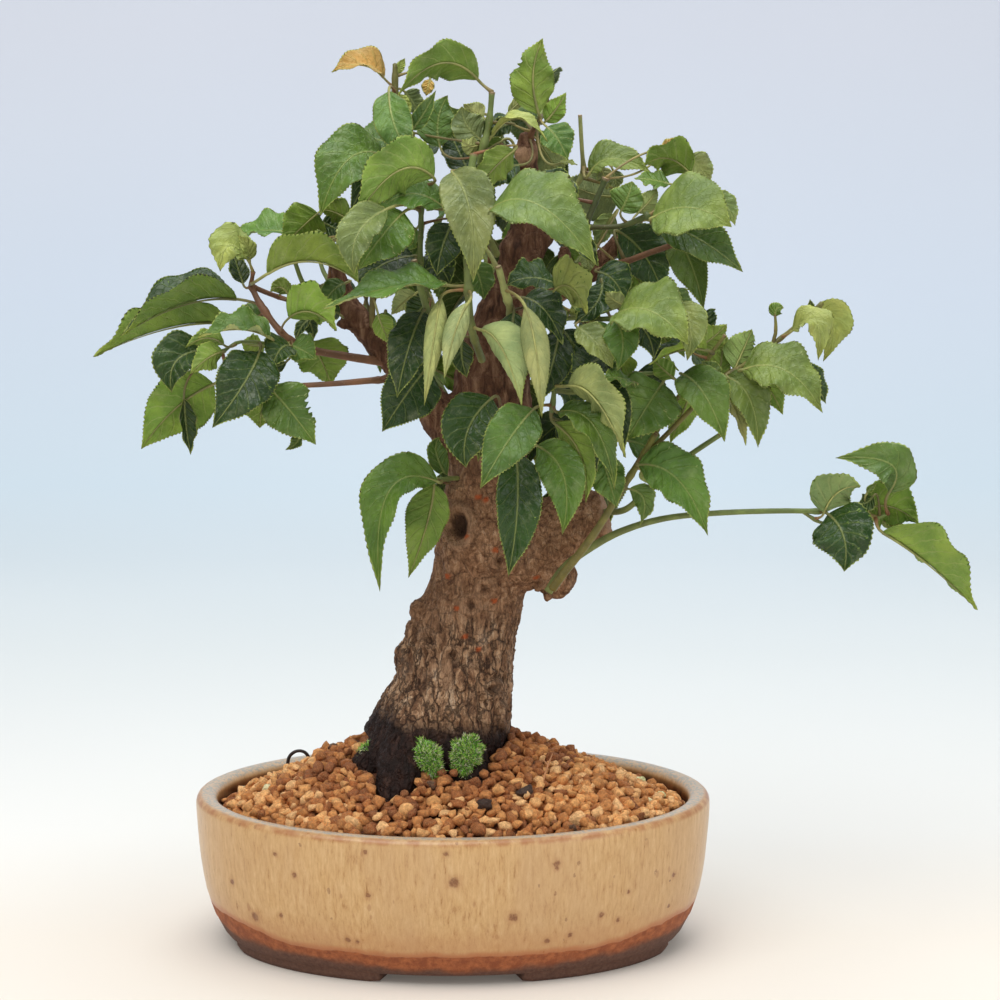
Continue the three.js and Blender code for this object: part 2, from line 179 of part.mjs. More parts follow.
  [10,38.0,-3.6,407.0,33.5,-22.0,394.3,23.8,-26.0,391.2,18.0,-28.0,382.7,-0.08,-0.84,0.54,21.3,12,0],
  [11,64.9,5.5,392.0,67.7,-10.0,389.6,79.2,-14.0,396.7,98.6,-16.0,389.1,-0.1,-0.61,0.79,21.6,18,2],
  [11,64.1,6.7,386.5,82.2,12.0,376.8,68.5,16.0,378.0,54.6,20.0,385.2,0.31,0.94,0.12,29.2,10,4],
  [11,66.2,6.0,390.0,73.0,6.0,391.0,75.5,6.0,386.1,76.6,6.0,380.2,0.26,0.96,0.08,8.8,10,4],
  [11,66.2,6.0,390.0,79.2,0.0,390.4,80.3,0.0,385.5,80.8,0.0,380.6,0.31,-0.95,0.05,9.5,12,3],
  [12,66.2,-32.4,365.2,60.6,-44.0,363.8,65.4,-46.0,356.3,71.1,-48.0,347.4,-0.3,-0.95,0.04,10.8,18,0],
  [12,69.5,-32.0,376.7,41.5,-40.0,387.8,52.4,-46.0,384.0,61.1,-46.0,365.8,0.16,-0.91,0.39,18.2,12,0],
  [12,94.5,-46.0,371.6,115.9,-20.0,390.3,104.5,-22.0,397.7,92.9,-24.0,393.9,-0.02,0.73,0.69,25.5,12,1],
  [12,74.8,-32.0,388.7,103.4,-6.0,400.1,107.4,-4.0,403.4,112.3,-4.0,403.4,0.03,-0.89,0.46,6.6,10,5],
  [12,74.8,-32.0,388.7,115.2,-14.0,397.7,121.2,-12.0,392.2,126.8,-10.0,383.8,0.4,-0.91,0.07,15.4,12,3],
  [12,90.1,-44.0,369.8,96.3,-48.0,370.8,114.5,-62.0,376.6,133.0,-68.0,368.1,-0.3,-0.64,0.71,40.9,14,2],
  [12,91.8,-44.8,370.5,98.4,-44.0,368.5,119.2,-50.0,360.4,139.6,-54.0,345.5,0.06,-0.87,0.48,25.6,20,1],
  [12,94.5,-46.0,371.6,125.3,-40.0,380.7,132.1,-40.0,375.9,136.4,-42.0,366.5,0.2,-0.94,0.29,12.0,12,3],
  [12,94.5,-46.0,371.6,106.8,-30.0,364.0,116.0,-33.0,347.4,122.3,-35.6,325.4,-0.26,-0.97,0.04,19.8,20,1],
  [12,84.8,-41.6,367.7,81.6,-44.0,373.8,84.9,-46.0,381.1,86.8,-44.0,388.1,-0.3,-0.95,0.11,18.2,12,1],
  [12,94.5,-46.0,371.6,105.7,-30.0,385.7,97.0,-30.0,387.6,88.3,-30.0,388.6,0.13,-0.6,0.79,12.7,10,1],
  [12,87.5,-42.8,368.8,90.2,-34.0,372.0,96.0,-32.0,378.1,99.4,-30.0,383.8,-0.36,0.93,-0.03,10.2,12,3],
  [12,68.9,-16.5,350.1,79.7,-4.0,369.2,74.9,-2.0,361.2,71.6,2.0,351.9,-0.06,0.93,0.35,12.0,12,3],
  [13,84.7,-24.9,347.7,81.2,-19.3,362.1,94.6,-14.4,349.5,103.7,-22.3,329.8,0.06,-0.99,0.13,28.8,18,0],
  [13,77.1,-18.3,345.1,83.0,-13.0,343.5,90.4,-11.2,338.9,97.3,-12.8,326.8,0.3,0.92,0.26,21.3,12,1],
  [13,80.1,-21.1,346.0,71.2,-30.9,343.3,78.8,-34.8,339.3,84.1,-36.6,329.3,0.17,-0.85,0.5,21.3,12,0],
  [13,80.8,-21.9,346.3,64.7,-36.0,355.4,66.1,-38.0,348.8,67.1,-38.0,344.0,-0.21,-0.97,0.13,8.0,12,3],
  [14,59.0,-53.3,325.8,49.8,-66.0,338.2,57.6,-76.0,340.2,64.6,-80.0,327.9,0.75,0.6,0.26,30.6,14,2],
  [14,70.6,-61.1,324.3,72.4,-54.4,340.8,69.4,-60.1,330.9,58.5,-62.8,321.7,-0.18,-0.85,0.5,19.6,22,0],
  [14,80.7,-64.0,324.7,78.9,-74.0,327.7,94.6,-90.0,330.4,111.7,-96.0,315.6,-0.11,-0.6,0.79,38.6,14,2],
  [14,102.2,-58.3,326.6,107.7,-72.0,332.2,113.0,-80.0,322.7,111.5,-84.0,306.6,0.0,-0.9,0.43,17.5,14,3],
  [14,103.2,-58.0,326.5,103.3,-56.0,335.2,109.5,-58.0,332.1,115.2,-58.0,324.0,0.24,-0.88,0.41,12.7,12,1],
  [14,111.7,-55.0,325.7,116.7,-49.8,324.0,121.7,-47.5,318.5,128.5,-46.0,314.9,0.38,-0.92,0.12,19.6,12,0],
  [14,82.7,-63.5,324.9,83.4,-68.5,331.3,77.6,-70.6,333.9,73.3,-70.0,338.1,0.06,0.95,0.3,10.2,15,4],
  [14,79.7,-63.7,324.6,77.1,-72.0,325.5,81.5,-82.0,316.3,78.7,-84.0,301.9,-0.24,-0.87,0.43,18.9,16,1],
  [14,74.7,-62.3,324.5,80.1,-66.6,325.4,91.8,-72.7,319.9,96.5,-75.3,306.0,0.1,-0.87,0.48,19.6,12,0],
  [14,89.6,-61.9,325.9,94.1,-62.0,320.6,100.3,-62.0,316.3,105.6,-62.0,310.1,0.31,0.89,0.34,12.0,12,1],
  [14,66.6,-60.0,324.2,60.3,-67.1,320.7,69.5,-75.1,313.6,77.0,-80.2,302.4,0.1,-0.76,0.64,18.0,22,3],
  [14,62.8,-56.7,325.0,64.8,-57.3,318.2,68.6,-59.3,312.6,73.4,-59.4,307.4,0.22,-0.91,0.35,10.2,12,1],
  [15,49.0,-68.0,293.1,55.8,-80.0,294.3,69.0,-96.4,289.4,82.5,-102.0,263.4,0.76,0.61,0.22,28.1,26,4],
  [15,48.7,-68.0,285.6,51.3,-71.8,280.7,67.9,-87.6,276.3,77.8,-92.1,246.6,0.27,-0.72,0.64,21.6,20,1],
  [15,48.6,-68.0,282.4,49.5,-68.7,275.0,61.7,-78.2,261.6,64.5,-81.7,238.6,0.54,0.84,-0.07,16.4,20,1],
  [15,48.5,-68.0,280.2,51.6,-55.8,274.6,62.0,-61.5,267.7,70.7,-62.0,250.3,0.28,-0.86,0.44,23.0,12,0],
  [15,48.6,-68.0,283.4,39.8,-80.0,283.3,28.0,-98.0,271.3,14.5,-104.0,249.1,0.15,-0.86,0.49,25.2,14,1],
  [15,42.9,-56.0,307.4,52.4,-59.9,318.5,48.5,-68.4,302.8,43.7,-71.2,286.4,0.12,-0.95,0.3,19.6,12,0],
  [15,42.9,-56.0,307.4,53.9,-52.0,317.5,61.1,-56.0,307.4,66.9,-56.0,294.9,0.19,-0.94,0.27,18.2,12,0],
  [16,38.1,-64.0,266.1,41.4,-70.0,264.2,54.1,-82.0,250.7,53.1,-86.0,224.0,-0.04,-0.93,0.36,23.8,20,1],
  [16,33.4,-62.6,264.5,31.4,-72.0,261.6,31.8,-90.0,235.8,27.6,-92.0,205.0,0.11,-0.94,0.32,23.8,22,0],
  [16,23.8,-58.0,274.9,20.0,-70.0,287.2,8.7,-82.0,273.6,7.8,-84.0,255.8,0.03,-0.92,0.4,29.6,16,0],
  [16,23.8,-58.0,274.9,23.8,-62.6,280.4,17.1,-64.5,270.1,13.3,-64.4,255.6,-0.22,0.98,0.02,12.0,12,0],
  [17,76.4,-56.0,292.0,73.2,-64.6,306.6,65.4,-71.6,303.2,56.9,-75.3,300.3,0.07,-0.58,0.81,24.6,12,0],
  [17,103.1,-52.5,296.4,101.2,-57.8,292.3,93.2,-67.8,282.1,83.6,-71.9,266.8,0.13,-0.9,0.41,33.6,18,1],
  [17,74.5,-55.4,291.6,70.4,-64.0,295.5,77.3,-74.0,283.0,83.0,-76.0,262.2,-0.1,-0.95,0.3,19.6,14,0],
  [17,84.1,-54.9,294.5,86.6,-76.7,295.7,79.3,-82.6,298.4,71.7,-83.3,298.5,0.3,-0.31,0.9,19.7,12,1],
  [17,94.9,-53.5,296.5,89.1,-50.0,296.1,95.9,-50.0,291.2,104.7,-48.0,283.2,0.33,-0.9,0.26,22.4,12,0],
  [17,77.4,-55.9,292.3,85.6,-46.6,263.0,94.0,-44.0,260.2,101.3,-44.2,255.8,0.36,-0.78,0.51,23.0,12,1],
  [17,66.0,-52.7,289.5,72.8,-56.0,257.2,76.1,-60.0,246.1,80.0,-60.0,232.5,-0.2,-0.98,0.1,18.2,12,1],
  [17,102.1,-52.6,296.4,106.9,-57.9,295.2,101.1,-58.4,300.0,96.4,-56.1,304.6,0.28,0.95,0.13,12.0,12,1],
  [18,93.8,-55.8,257.9,90.0,-59.3,253.3,108.8,-66.7,247.2,123.3,-68.7,220.4,0.16,-0.89,0.42,27.2,16,1],
  [18,81.2,-55.1,238.7,86.1,-50.1,240.1,93.6,-46.1,234.0,91.8,-44.1,220.9,0.44,-0.89,-0.14,12.6,14,1],
  [18,86.4,-55.6,247.4,91.8,-52.0,249.7,95.3,-50.0,245.5,99.1,-50.0,243.5,0.02,0.94,0.33,7.3,12,4],
  [18,125.5,-54.4,306.6,121.9,-61.4,309.1,109.0,-69.3,310.0,93.8,-72.8,303.3,-0.18,-0.05,0.98,18.0,48,0],
  [18,123.8,-54.2,304.0,116.5,-55.0,308.3,125.3,-52.0,313.7,132.4,-51.6,320.4,-0.26,0.96,0.07,15.4,10,1],
  [18,134.4,-50.9,296.2,128.6,-48.2,293.9,130.7,-44.2,306.0,130.7,-42.2,317.4,-0.2,0.95,-0.23,12.0,12,1],
  [18,130.9,-51.5,294.1,136.2,-49.7,298.0,141.1,-45.8,308.1,145.0,-43.8,317.1,-0.24,0.95,-0.18,18.9,16,3],
  [18,132.7,-51.2,295.2,133.3,-43.8,292.8,130.9,-41.8,300.8,130.3,-41.8,309.1,0.27,-0.95,0.16,8.0,15,0],
  [18,114.4,-52.1,294.5,110.5,-62.0,297.6,120.8,-74.0,288.7,130.2,-78.0,267.3,0.14,-0.84,0.53,25.9,18,1],
  [18,124.1,-52.4,288.2,129.1,-56.0,291.1,135.5,-62.0,281.3,141.3,-64.0,263.2,0.49,0.87,-0.04,16.4,50,4],
  [18,136.9,-50.5,297.8,132.4,-55.4,295.3,142.9,-64.2,285.4,146.7,-68.5,263.0,0.17,-0.88,0.43,22.4,26,2],
  [18,131.8,-51.4,294.6,137.4,-46.8,295.7,142.9,-44.5,290.5,148.2,-44.6,289.1,0.35,-0.89,0.28,10.2,10,0],
  [18,137.8,-50.3,298.4,139.3,-58.9,299.1,159.4,-69.5,300.0,176.8,-73.4,280.5,0.07,-0.71,0.7,30.6,12,2],
  [18,134.4,-50.9,296.2,141.3,-51.5,297.7,151.5,-51.5,290.9,160.1,-49.1,276.1,0.13,0.97,0.22,18.9,10,1],
  [18,154.6,-46.0,309.6,162.5,-56.0,299.7,173.3,-54.0,292.7,180.4,-52.0,281.8,0.37,-0.91,0.17,15.4,10,0],
  [18,118.4,-53.0,282.4,115.4,-46.0,284.9,111.8,-42.0,275.5,106.4,-38.0,260.2,-0.06,0.94,0.33,16.8,12,1],
  [18,120.9,-53.3,289.0,125.7,-56.0,293.5,123.6,-58.0,299.0,120.2,-58.0,303.4,0.4,-0.92,0.03,11.7,10,1],
  [18,156.2,-45.1,315.7,156.0,-44.0,322.9,156.9,-44.0,326.8,160.2,-44.0,327.2,-0.33,-0.88,0.33,8.0,10,1],
  [18,159.0,-44.6,313.0,163.9,-48.0,316.6,174.5,-56.0,321.4,175.6,-58.0,303.4,0.19,-0.7,0.69,18.0,25,6],
  [18,168.6,-42.8,320.5,174.6,-40.0,323.4,184.0,-38.0,319.8,180.2,-36.0,300.1,0.23,-0.97,-0.11,21.1,22,6],
  [18,178.7,-42.0,329.4,174.7,-39.2,324.3,173.7,-39.2,327.7,173.1,-39.4,331.1,0.11,-0.99,0.0,3.7,10,0],
  [20,212.0,-46.0,227.1,211.5,-52.0,238.5,211.2,-56.0,253.3,184.5,-58.0,256.5,0.37,-0.89,0.26,23.4,14,1],
  [20,175.7,-50.0,225.5,180.1,-54.0,229.0,186.3,-58.0,240.0,197.3,-58.0,242.9,-0.18,0.86,0.48,26.2,14,3],
  [20,208.1,-46.0,225.8,204.1,-49.9,236.6,200.8,-49.3,233.1,196.5,-49.1,233.1,-0.3,-0.85,0.44,10.2,10,0],
  [20,207.2,-46.0,225.5,201.3,-45.5,229.5,213.9,-45.4,230.5,227.5,-43.4,221.7,0.05,0.92,0.39,27.9,10,1],
  [20,178.5,-49.9,229.0,181.8,-56.0,228.9,188.5,-68.0,219.3,188.3,-72.0,203.5,-0.26,-0.85,0.47,32.0,12,0],
  [20,206.2,-46.0,225.2,208.8,-50.0,219.0,231.4,-50.0,203.2,256.2,-50.0,180.4,0.54,0.52,0.66,42.0,30,1],
  [20,208.1,-46.0,225.8,209.2,-37.3,222.6,215.5,-38.2,220.8,221.8,-39.0,219.5,0.18,0.97,0.17,7.3,10,4],
  [20,205.2,-46.0,224.8,201.2,-49.2,238.0,203.1,-49.5,240.5,205.9,-50.0,243.0,-0.34,-0.92,0.17,3.7,10,1],
  [21,-5.2,-26.1,240.4,-6.5,-32.8,240.7,-30.5,-44.4,236.7,-34.6,-48.4,189.0,-0.37,-0.81,0.45,26.5,26,1],
  [21,-6.0,-26.9,240.4,-8.4,-33.2,239.8,-11.9,-35.6,220.4,-21.3,-33.6,193.1,-0.23,0.97,0.06,22.4,14,1],
  [21,-2.1,-23.1,240.6,-2.4,-16.4,240.5,-7.7,-17.2,253.1,-5.8,-15.6,260.3,0.38,-0.92,0.1,11.4,12,1],
  [21,-5.2,-26.1,240.4,-1.8,-19.8,238.6,-4.7,-21.2,240.3,-7.7,-21.0,238.7,0.17,-0.75,0.64,7.3,10,0],
  [22,13.3,18.3,248.5,6.1,29.1,242.6,1.1,36.6,219.5,1.0,36.7,194.7,-0.78,0.6,0.18,25.8,24,0],
  [22,12.1,24.8,250.9,16.2,37.0,244.9,18.5,44.1,225.0,17.8,42.0,203.9,0.87,0.49,0.09,22.9,21,1],
  [22,10.9,31.3,253.4,11.1,34.3,268.8,11.1,55.2,258.6,11.1,70.4,241.0,-0.04,0.61,0.79,22.7,20,0],
  [22,9.6,37.6,256.1,10.6,47.9,252.0,12.4,66.4,234.9,13.3,75.0,211.0,-0.24,0.82,0.52,23.4,10,1],
  [22,8.1,43.9,259.0,15.9,50.8,271.2,32.3,65.4,267.3,45.9,77.6,254.7,-0.12,0.61,0.78,24.3,19,1],
  [22,5.2,55.9,265.6,5.9,68.2,258.6,6.9,84.4,251.2,7.5,94.6,236.6,0.93,0.21,0.31,18.8,11,1],
  [23,26.3,16.0,285.0,38.3,16.6,297.2,55.3,17.6,281.3,63.5,18.1,259.6,0.69,-0.58,0.43,24.9,15,0],
  [23,28.7,21.5,288.2,23.0,29.6,297.8,10.5,47.5,290.8,0.2,62.1,276.4,0.17,0.62,0.76,22.3,20,1],
  [23,30.9,27.0,291.5,33.7,39.4,285.8,35.3,46.3,266.9,34.4,42.6,247.1,0.46,0.89,0.08,20.3,16,0],
  [23,33.3,32.4,294.8,39.3,34.0,302.5,56.7,38.5,294.3,70.6,42.1,280.9,0.39,0.51,0.77,21.1,24,1],
  [23,35.9,37.7,298.3,30.6,48.4,302.1,20.2,69.6,295.1,11.4,87.3,280.4,-0.1,0.45,0.89,23.4,26,1],
  [23,38.0,43.1,301.8,52.8,54.1,297.4,58.0,58.0,276.6,58.8,58.5,254.9,0.77,0.62,0.17,21.7,25,0],
  [23,39.9,48.6,305.3,34.5,50.1,321.1,19.0,54.5,312.6,6.9,58.0,299.2,-0.64,-0.27,0.72,18.3,18,0],
  [24,61.0,10.4,225.8,56.2,18.4,230.1,52.3,25.1,211.5,52.3,25.0,191.4,-0.25,0.95,0.19,20.0,12,0],
  [24,63.6,15.1,229.5,63.7,27.7,228.8,63.8,37.4,211.1,63.8,39.9,191.0,-0.6,0.77,0.24,21.0,15,1],
  [24,66.0,19.8,233.5,62.8,23.0,251.2,48.8,37.3,241.2,39.4,46.8,223.3,-0.79,-0.07,0.61,20.5,17,1],
  [24,67.4,24.4,237.9,62.2,39.3,237.7,60.8,43.4,217.6,61.0,42.7,197.0,-0.93,0.37,0.06,21.3,16,1],
  [24,68.1,29.0,242.6,71.5,40.4,238.8,78.1,62.6,225.2,81.5,74.1,201.2,0.57,0.53,0.63,27.0,22,0],
  [24,69.4,33.3,247.3,62.4,30.7,264.1,45.4,24.6,254.0,34.3,20.5,236.9,-0.4,-0.64,0.66,19.4,17,0],
  [24,71.0,37.6,252.0,63.7,45.6,253.8,51.0,59.5,246.5,42.5,68.8,230.7,-0.36,0.47,0.8,21.4,21,0],
  [25,-16.5,9.7,277.7,-9.8,20.9,277.5,-2.5,33.1,257.9,1.7,40.2,235.1,0.91,0.21,0.34,24.7,25,0],
  [25,-19.5,15.4,280.9,-15.2,16.3,292.3,1.5,19.9,283.8,15.7,23.0,271.5,0.16,0.85,0.5,19.7,24,1],
  [25,-21.5,21.2,284.7,-19.0,36.5,282.6,-15.3,58.8,274.6,-12.8,73.6,255.9,0.01,0.58,0.81,23.1,15,0],
  [25,-24.0,26.5,288.9,-16.5,33.3,294.0,-3.7,44.6,283.6,5.3,52.7,267.8,0.78,-0.02,0.63,21.6,19,0],
  [25,-30.4,36.0,297.8,-25.9,46.2,301.1,-17.9,64.5,296.9,-10.6,81.0,287.1,0.19,0.29,0.94,22.6,11,0],
  [25,-33.8,40.6,302.3,-34.3,37.2,316.2,-35.6,27.2,302.8,-36.4,21.5,287.1,-0.27,-0.84,0.47,18.9,23,1],
  [26,-40.5,28.1,311.6,-38.9,38.2,303.5,-35.7,58.9,293.6,-33.1,75.6,277.9,0.95,0.07,0.32,25.4,12,0],
  [26,-41.9,34.2,313.6,-48.8,41.1,326.8,-62.4,54.8,320.6,-73.8,66.2,308.3,-0.74,-0.3,0.6,19.1,22,0],
  [26,-44.9,46.0,318.5,-36.0,52.3,332.3,-21.0,62.8,324.3,-10.1,70.3,309.2,-0.15,0.85,0.5,19.7,25,1],
  [27,-58.8,5.5,332.3,-47.7,15.7,342.3,-28.0,33.7,339.2,-11.7,48.7,323.8,0.0,0.49,0.87,27.6,21,0],
  [27,-61.0,9.3,334.9,-59.3,8.8,352.7,-59.3,30.7,346.6,-59.3,47.1,330.7,0.15,0.49,0.86,24.2,25,1],
  [27,-67.7,23.6,348.4,-60.2,36.0,354.1,-49.3,53.7,347.2,-39.7,69.4,335.3,0.37,0.27,0.89,22.1,19,1],
  [27,-69.2,26.7,352.3,-62.2,27.9,363.7,-47.9,30.4,361.5,-36.1,32.4,352.9,0.41,-0.4,0.82,14.1,25,1],
  [28,21.7,12.3,337.7,12.0,21.0,333.1,-0.3,32.1,317.6,-6.2,37.4,296.4,-0.55,0.63,0.55,22.1,24,0],
  [28,18.8,17.1,341.9,20.8,18.9,354.1,31.6,29.1,338.3,38.8,36.0,319.1,0.05,0.89,0.46,20.5,26,0],
  [28,15.8,21.5,346.5,1.6,21.5,354.9,-12.1,21.6,333.8,-14.6,21.6,308.7,-0.92,0.23,0.32,27.3,17,0],
  [28,12.6,25.6,351.2,14.8,37.0,352.3,18.9,57.5,339.4,21.2,69.1,317.8,0.7,0.45,0.55,26.7,25,0],
  [28,9.3,29.6,355.9,11.3,29.8,367.5,11.3,53.0,362.0,11.3,72.9,348.8,0.34,0.37,0.86,22.5,24,1],
  [28,5.4,33.6,360.2,2.1,43.4,359.0,-1.5,53.9,336.1,-0.5,51.0,310.8,0.07,0.99,0.15,27.9,18,0],
  [28,1.3,37.6,364.3,6.0,48.7,375.0,12.8,65.0,373.1,18.4,78.3,362.8,0.23,0.28,0.93,19.1,25,0],
  [29,35.4,14.3,358.0,45.2,22.5,364.0,59.4,34.2,345.6,68.3,41.5,322.3,0.82,0.19,0.54,28.2,25,1],
  [29,35.4,20.4,360.4,34.3,24.5,370.9,29.3,42.5,365.8,25.0,57.9,354.9,-0.71,0.13,0.69,20.3,19,0],
  [29,35.6,26.5,363.0,40.0,42.3,357.3,42.3,50.3,334.1,41.0,45.6,309.9,0.66,0.75,0.07,22.6,13,0],
  [29,35.6,32.3,366.1,40.6,34.2,379.0,62.6,42.5,374.2,80.1,49.2,359.1,0.33,0.31,0.89,24.7,14,0],
  [29,35.6,37.8,369.6,34.9,52.2,363.5,33.9,74.2,348.5,33.3,85.5,324.4,0.63,0.61,0.49,24.6,10,1],
  [29,35.6,43.2,373.4,46.7,51.9,374.1,54.7,58.2,355.2,59.2,61.7,334.5,0.72,0.59,0.37,22.1,21,0],
  [29,35.6,48.5,377.2,35.9,51.2,390.2,37.2,64.7,379.3,37.7,70.3,362.9,0.83,0.43,0.36,16.2,14,0],
  [30,31.5,10.0,388.3,25.5,9.1,404.8,10.1,6.8,393.1,2.7,5.7,375.1,-0.74,0.43,0.52,20.0,25,1],
  [30,29.6,14.3,391.4,14.5,24.0,389.4,-2.4,34.8,371.2,-8.6,38.8,345.2,-0.89,-0.05,0.45,24.7,11,1],
  [30,27.8,18.2,395.2,35.0,25.9,401.6,48.1,40.1,395.2,58.6,51.4,381.9,0.09,0.55,0.83,19.7,10,0],
  [30,26.4,22.1,399.0,11.9,27.8,408.7,-5.7,34.8,401.3,-18.2,39.8,386.1,-0.63,-0.15,0.76,22.0,14,0],
  [30,25.4,26.0,403.0,22.4,39.6,402.2,18.0,59.9,392.3,14.2,77.2,377.5,-0.32,0.47,0.82,21.9,11,0],
  [30,23.9,33.2,411.6,11.8,43.7,415.6,-1.5,55.0,408.6,-12.3,64.3,396.4,-0.09,0.62,0.78,19.9,21,1],
  [31,58.4,6.4,340.9,53.3,16.0,347.7,50.0,22.3,327.4,50.2,21.8,305.8,-0.85,0.5,0.13,23.7,20,0],
  [31,61.7,11.8,343.8,71.9,19.1,337.4,84.9,28.3,322.9,90.3,32.2,302.3,0.84,0.19,0.51,20.6,21,0],
  [31,64.9,17.1,347.2,68.7,18.4,360.2,86.8,24.9,354.9,102.1,30.4,343.2,0.36,0.27,0.89,21.1,21,0],
  [32,82.0,-1.2,348.9,87.8,5.6,341.6,98.5,18.3,324.7,106.4,27.7,304.4,0.85,0.14,0.51,24.7,10,0],
  [32,91.4,10.1,354.1,100.8,11.1,368.3,124.2,13.4,357.6,144.1,15.3,341.1,0.53,-0.01,0.85,25.2,22,0],
  [32,99.5,22.3,359.6,102.1,23.7,369.9,112.9,29.8,360.1,118.4,32.9,345.6,0.78,-0.53,0.33,15.4,22,1],
  [33,39.6,13.2,408.1,32.1,16.4,414.8,14.4,24.1,406.4,3.0,29.0,389.2,-0.6,0.2,0.78,22.7,23,0],
  [33,40.6,16.7,410.9,42.5,25.5,408.2,47.2,47.0,403.7,51.3,65.9,392.3,0.28,0.3,0.91,21.3,12,1],
  [33,43.8,23.0,416.4,42.1,35.6,417.0,39.0,57.9,410.5,36.6,75.5,395.2,-0.37,0.41,0.84,26.1,21,0],
  [33,47.3,29.4,421.8,46.7,29.6,434.9,46.7,47.9,432.0,46.7,63.1,421.6,-0.28,0.35,0.89,18.9,15,0],
  [34,-6.0,10.6,282.7,-14.1,26.2,281.9,-22.3,42.1,273.7,-28.8,54.6,259.9,-0.17,0.55,0.82,21.1,23,0],
  [34,-11.4,18.3,294.2,-4.0,21.7,305.9,7.3,26.8,294.5,12.1,29.0,278.5,0.85,0.05,0.52,17.5,23,0],
  [35,54.5,-1.5,317.2,65.9,-11.1,320.8,75.9,-19.6,306.3,79.9,-22.9,287.4,0.85,-0.28,0.45,18.9,24,1],
  [35,60.3,0.6,317.7,62.9,14.2,321.9,66.1,30.7,310.5,68.2,41.4,293.4,0.72,0.43,0.54,19.8,22,0],
  [35,65.9,3.0,318.2,74.5,3.1,308.9,95.9,3.3,304.3,113.0,3.5,290.5,0.43,-0.03,0.9,21.9,15,0],
  [35,71.4,5.4,319.1,81.5,1.4,326.9,100.9,-6.2,316.9,114.7,-11.6,299.2,0.06,-0.87,0.49,25.2,14,1],
  [35,76.8,7.9,320.5,81.7,20.6,308.5,85.1,29.6,288.3,84.6,28.3,266.0,0.89,0.44,0.14,21.0,11,1],
  [35,82.2,10.4,322.1,95.6,7.3,313.2,117.1,2.3,302.7,130.1,-0.7,282.3,0.57,-0.37,0.73,22.2,13,0],
];
const FRONT_SHOOTS = 21;
const LEAF_GREENS = [0x3d6b2a, 0x4f7d35, 0x2f5a24, 0x5f8a40, 0x466f33];

// ---------------------------------------------------------------- helpers
const wasm = await Module();
wasm.setup();
const { Manifold, Mesh } = wasm;
const V = (x, y, z) => new THREE.Vector3(x, y, z);
const v3 = (a, i = 0) => new THREE.Vector3(a[i], a[i + 1], a[i + 2]);

// A closed geometry from shared points and triangles, as a solid for joins and cuts.
function solid(points, tris) {
  const g = new THREE.BufferGeometry().setFromPoints(points);
  g.setIndex(tris.flat());
  let volume = 0;
  for (const [i, j, k] of tris) volume += points[i].dot(points[j].clone().cross(points[k]));
  if (volume < 0) g.setIndex(tris.map(([i, j, k]) => [i, k, j]).flat());
  return new Manifold(new Mesh({
    numProp: 3,
    vertProperties: Float32Array.from(g.attributes.position.array),
    triVerts: Uint32Array.from(g.index.array),
  }));
}

// Closed tube through points with a radius at each, capped flat at both ends.
function tube(points, radii, sides, spin = 0) {
  const n = points.length;
  const verts = [];
  let side = null;
  for (let i = 0; i < n; i++) {
    const a = points[Math.max(0, i - 1)], b = points[Math.min(n - 1, i + 1)];
    const t = b.clone().sub(a).normalize();
    if (!side) side = Math.abs(t.z) < 0.9 ? V(0, 0, 1).cross(t).normalize() : V(1, 0, 0).cross(t).normalize();
    side.sub(t.clone().multiplyScalar(side.dot(t))).normalize();
    const up = t.clone().cross(side);
    for (let k = 0; k < sides; k++) {
      const w = (2 * Math.PI * k) / sides + spin;
      verts.push(points[i].clone().addScaledVector(side, Math.cos(w) * radii[i]).addScaledVector(up, Math.sin(w) * radii[i]));
    }
  }
  const tris = [];
  for (let i = 0; i + 1 < n; i++) for (let k = 0; k < sides; k++) {
    const a = i * sides + k, b = i * sides + ((k + 1) % sides), c = a + sides, d = b + sides;
    tris.push([a, b, d], [a, d, c]);
  }
  for (let k = 1; k + 1 < sides; k++) {
    tris.push([0, k + 1, k]);
    const o = (n - 1) * sides;
    tris.push([o, o + k, o + k + 1]);
  }
  return solid(verts, tris);
}

// Union of a list, pairwise so that the pieces stay small while they grow.
function union(list) {
  let q = list.filter(Boolean);
  if (!q.length) return null;
  while (q.length > 1) {
    const r = [];
    for (let i = 0; i < q.length; i += 2) r.push(i + 1 < q.length ? q[i].add(q[i + 1]) : q[i]);
    q = r;
  }
  return q[0];
}
function touch(a, b) {
  for (let i = 0; i < 3; i++) if (a.max[i] < b.min[i] || b.max[i] < a.min[i]) return false;
  return true;
}
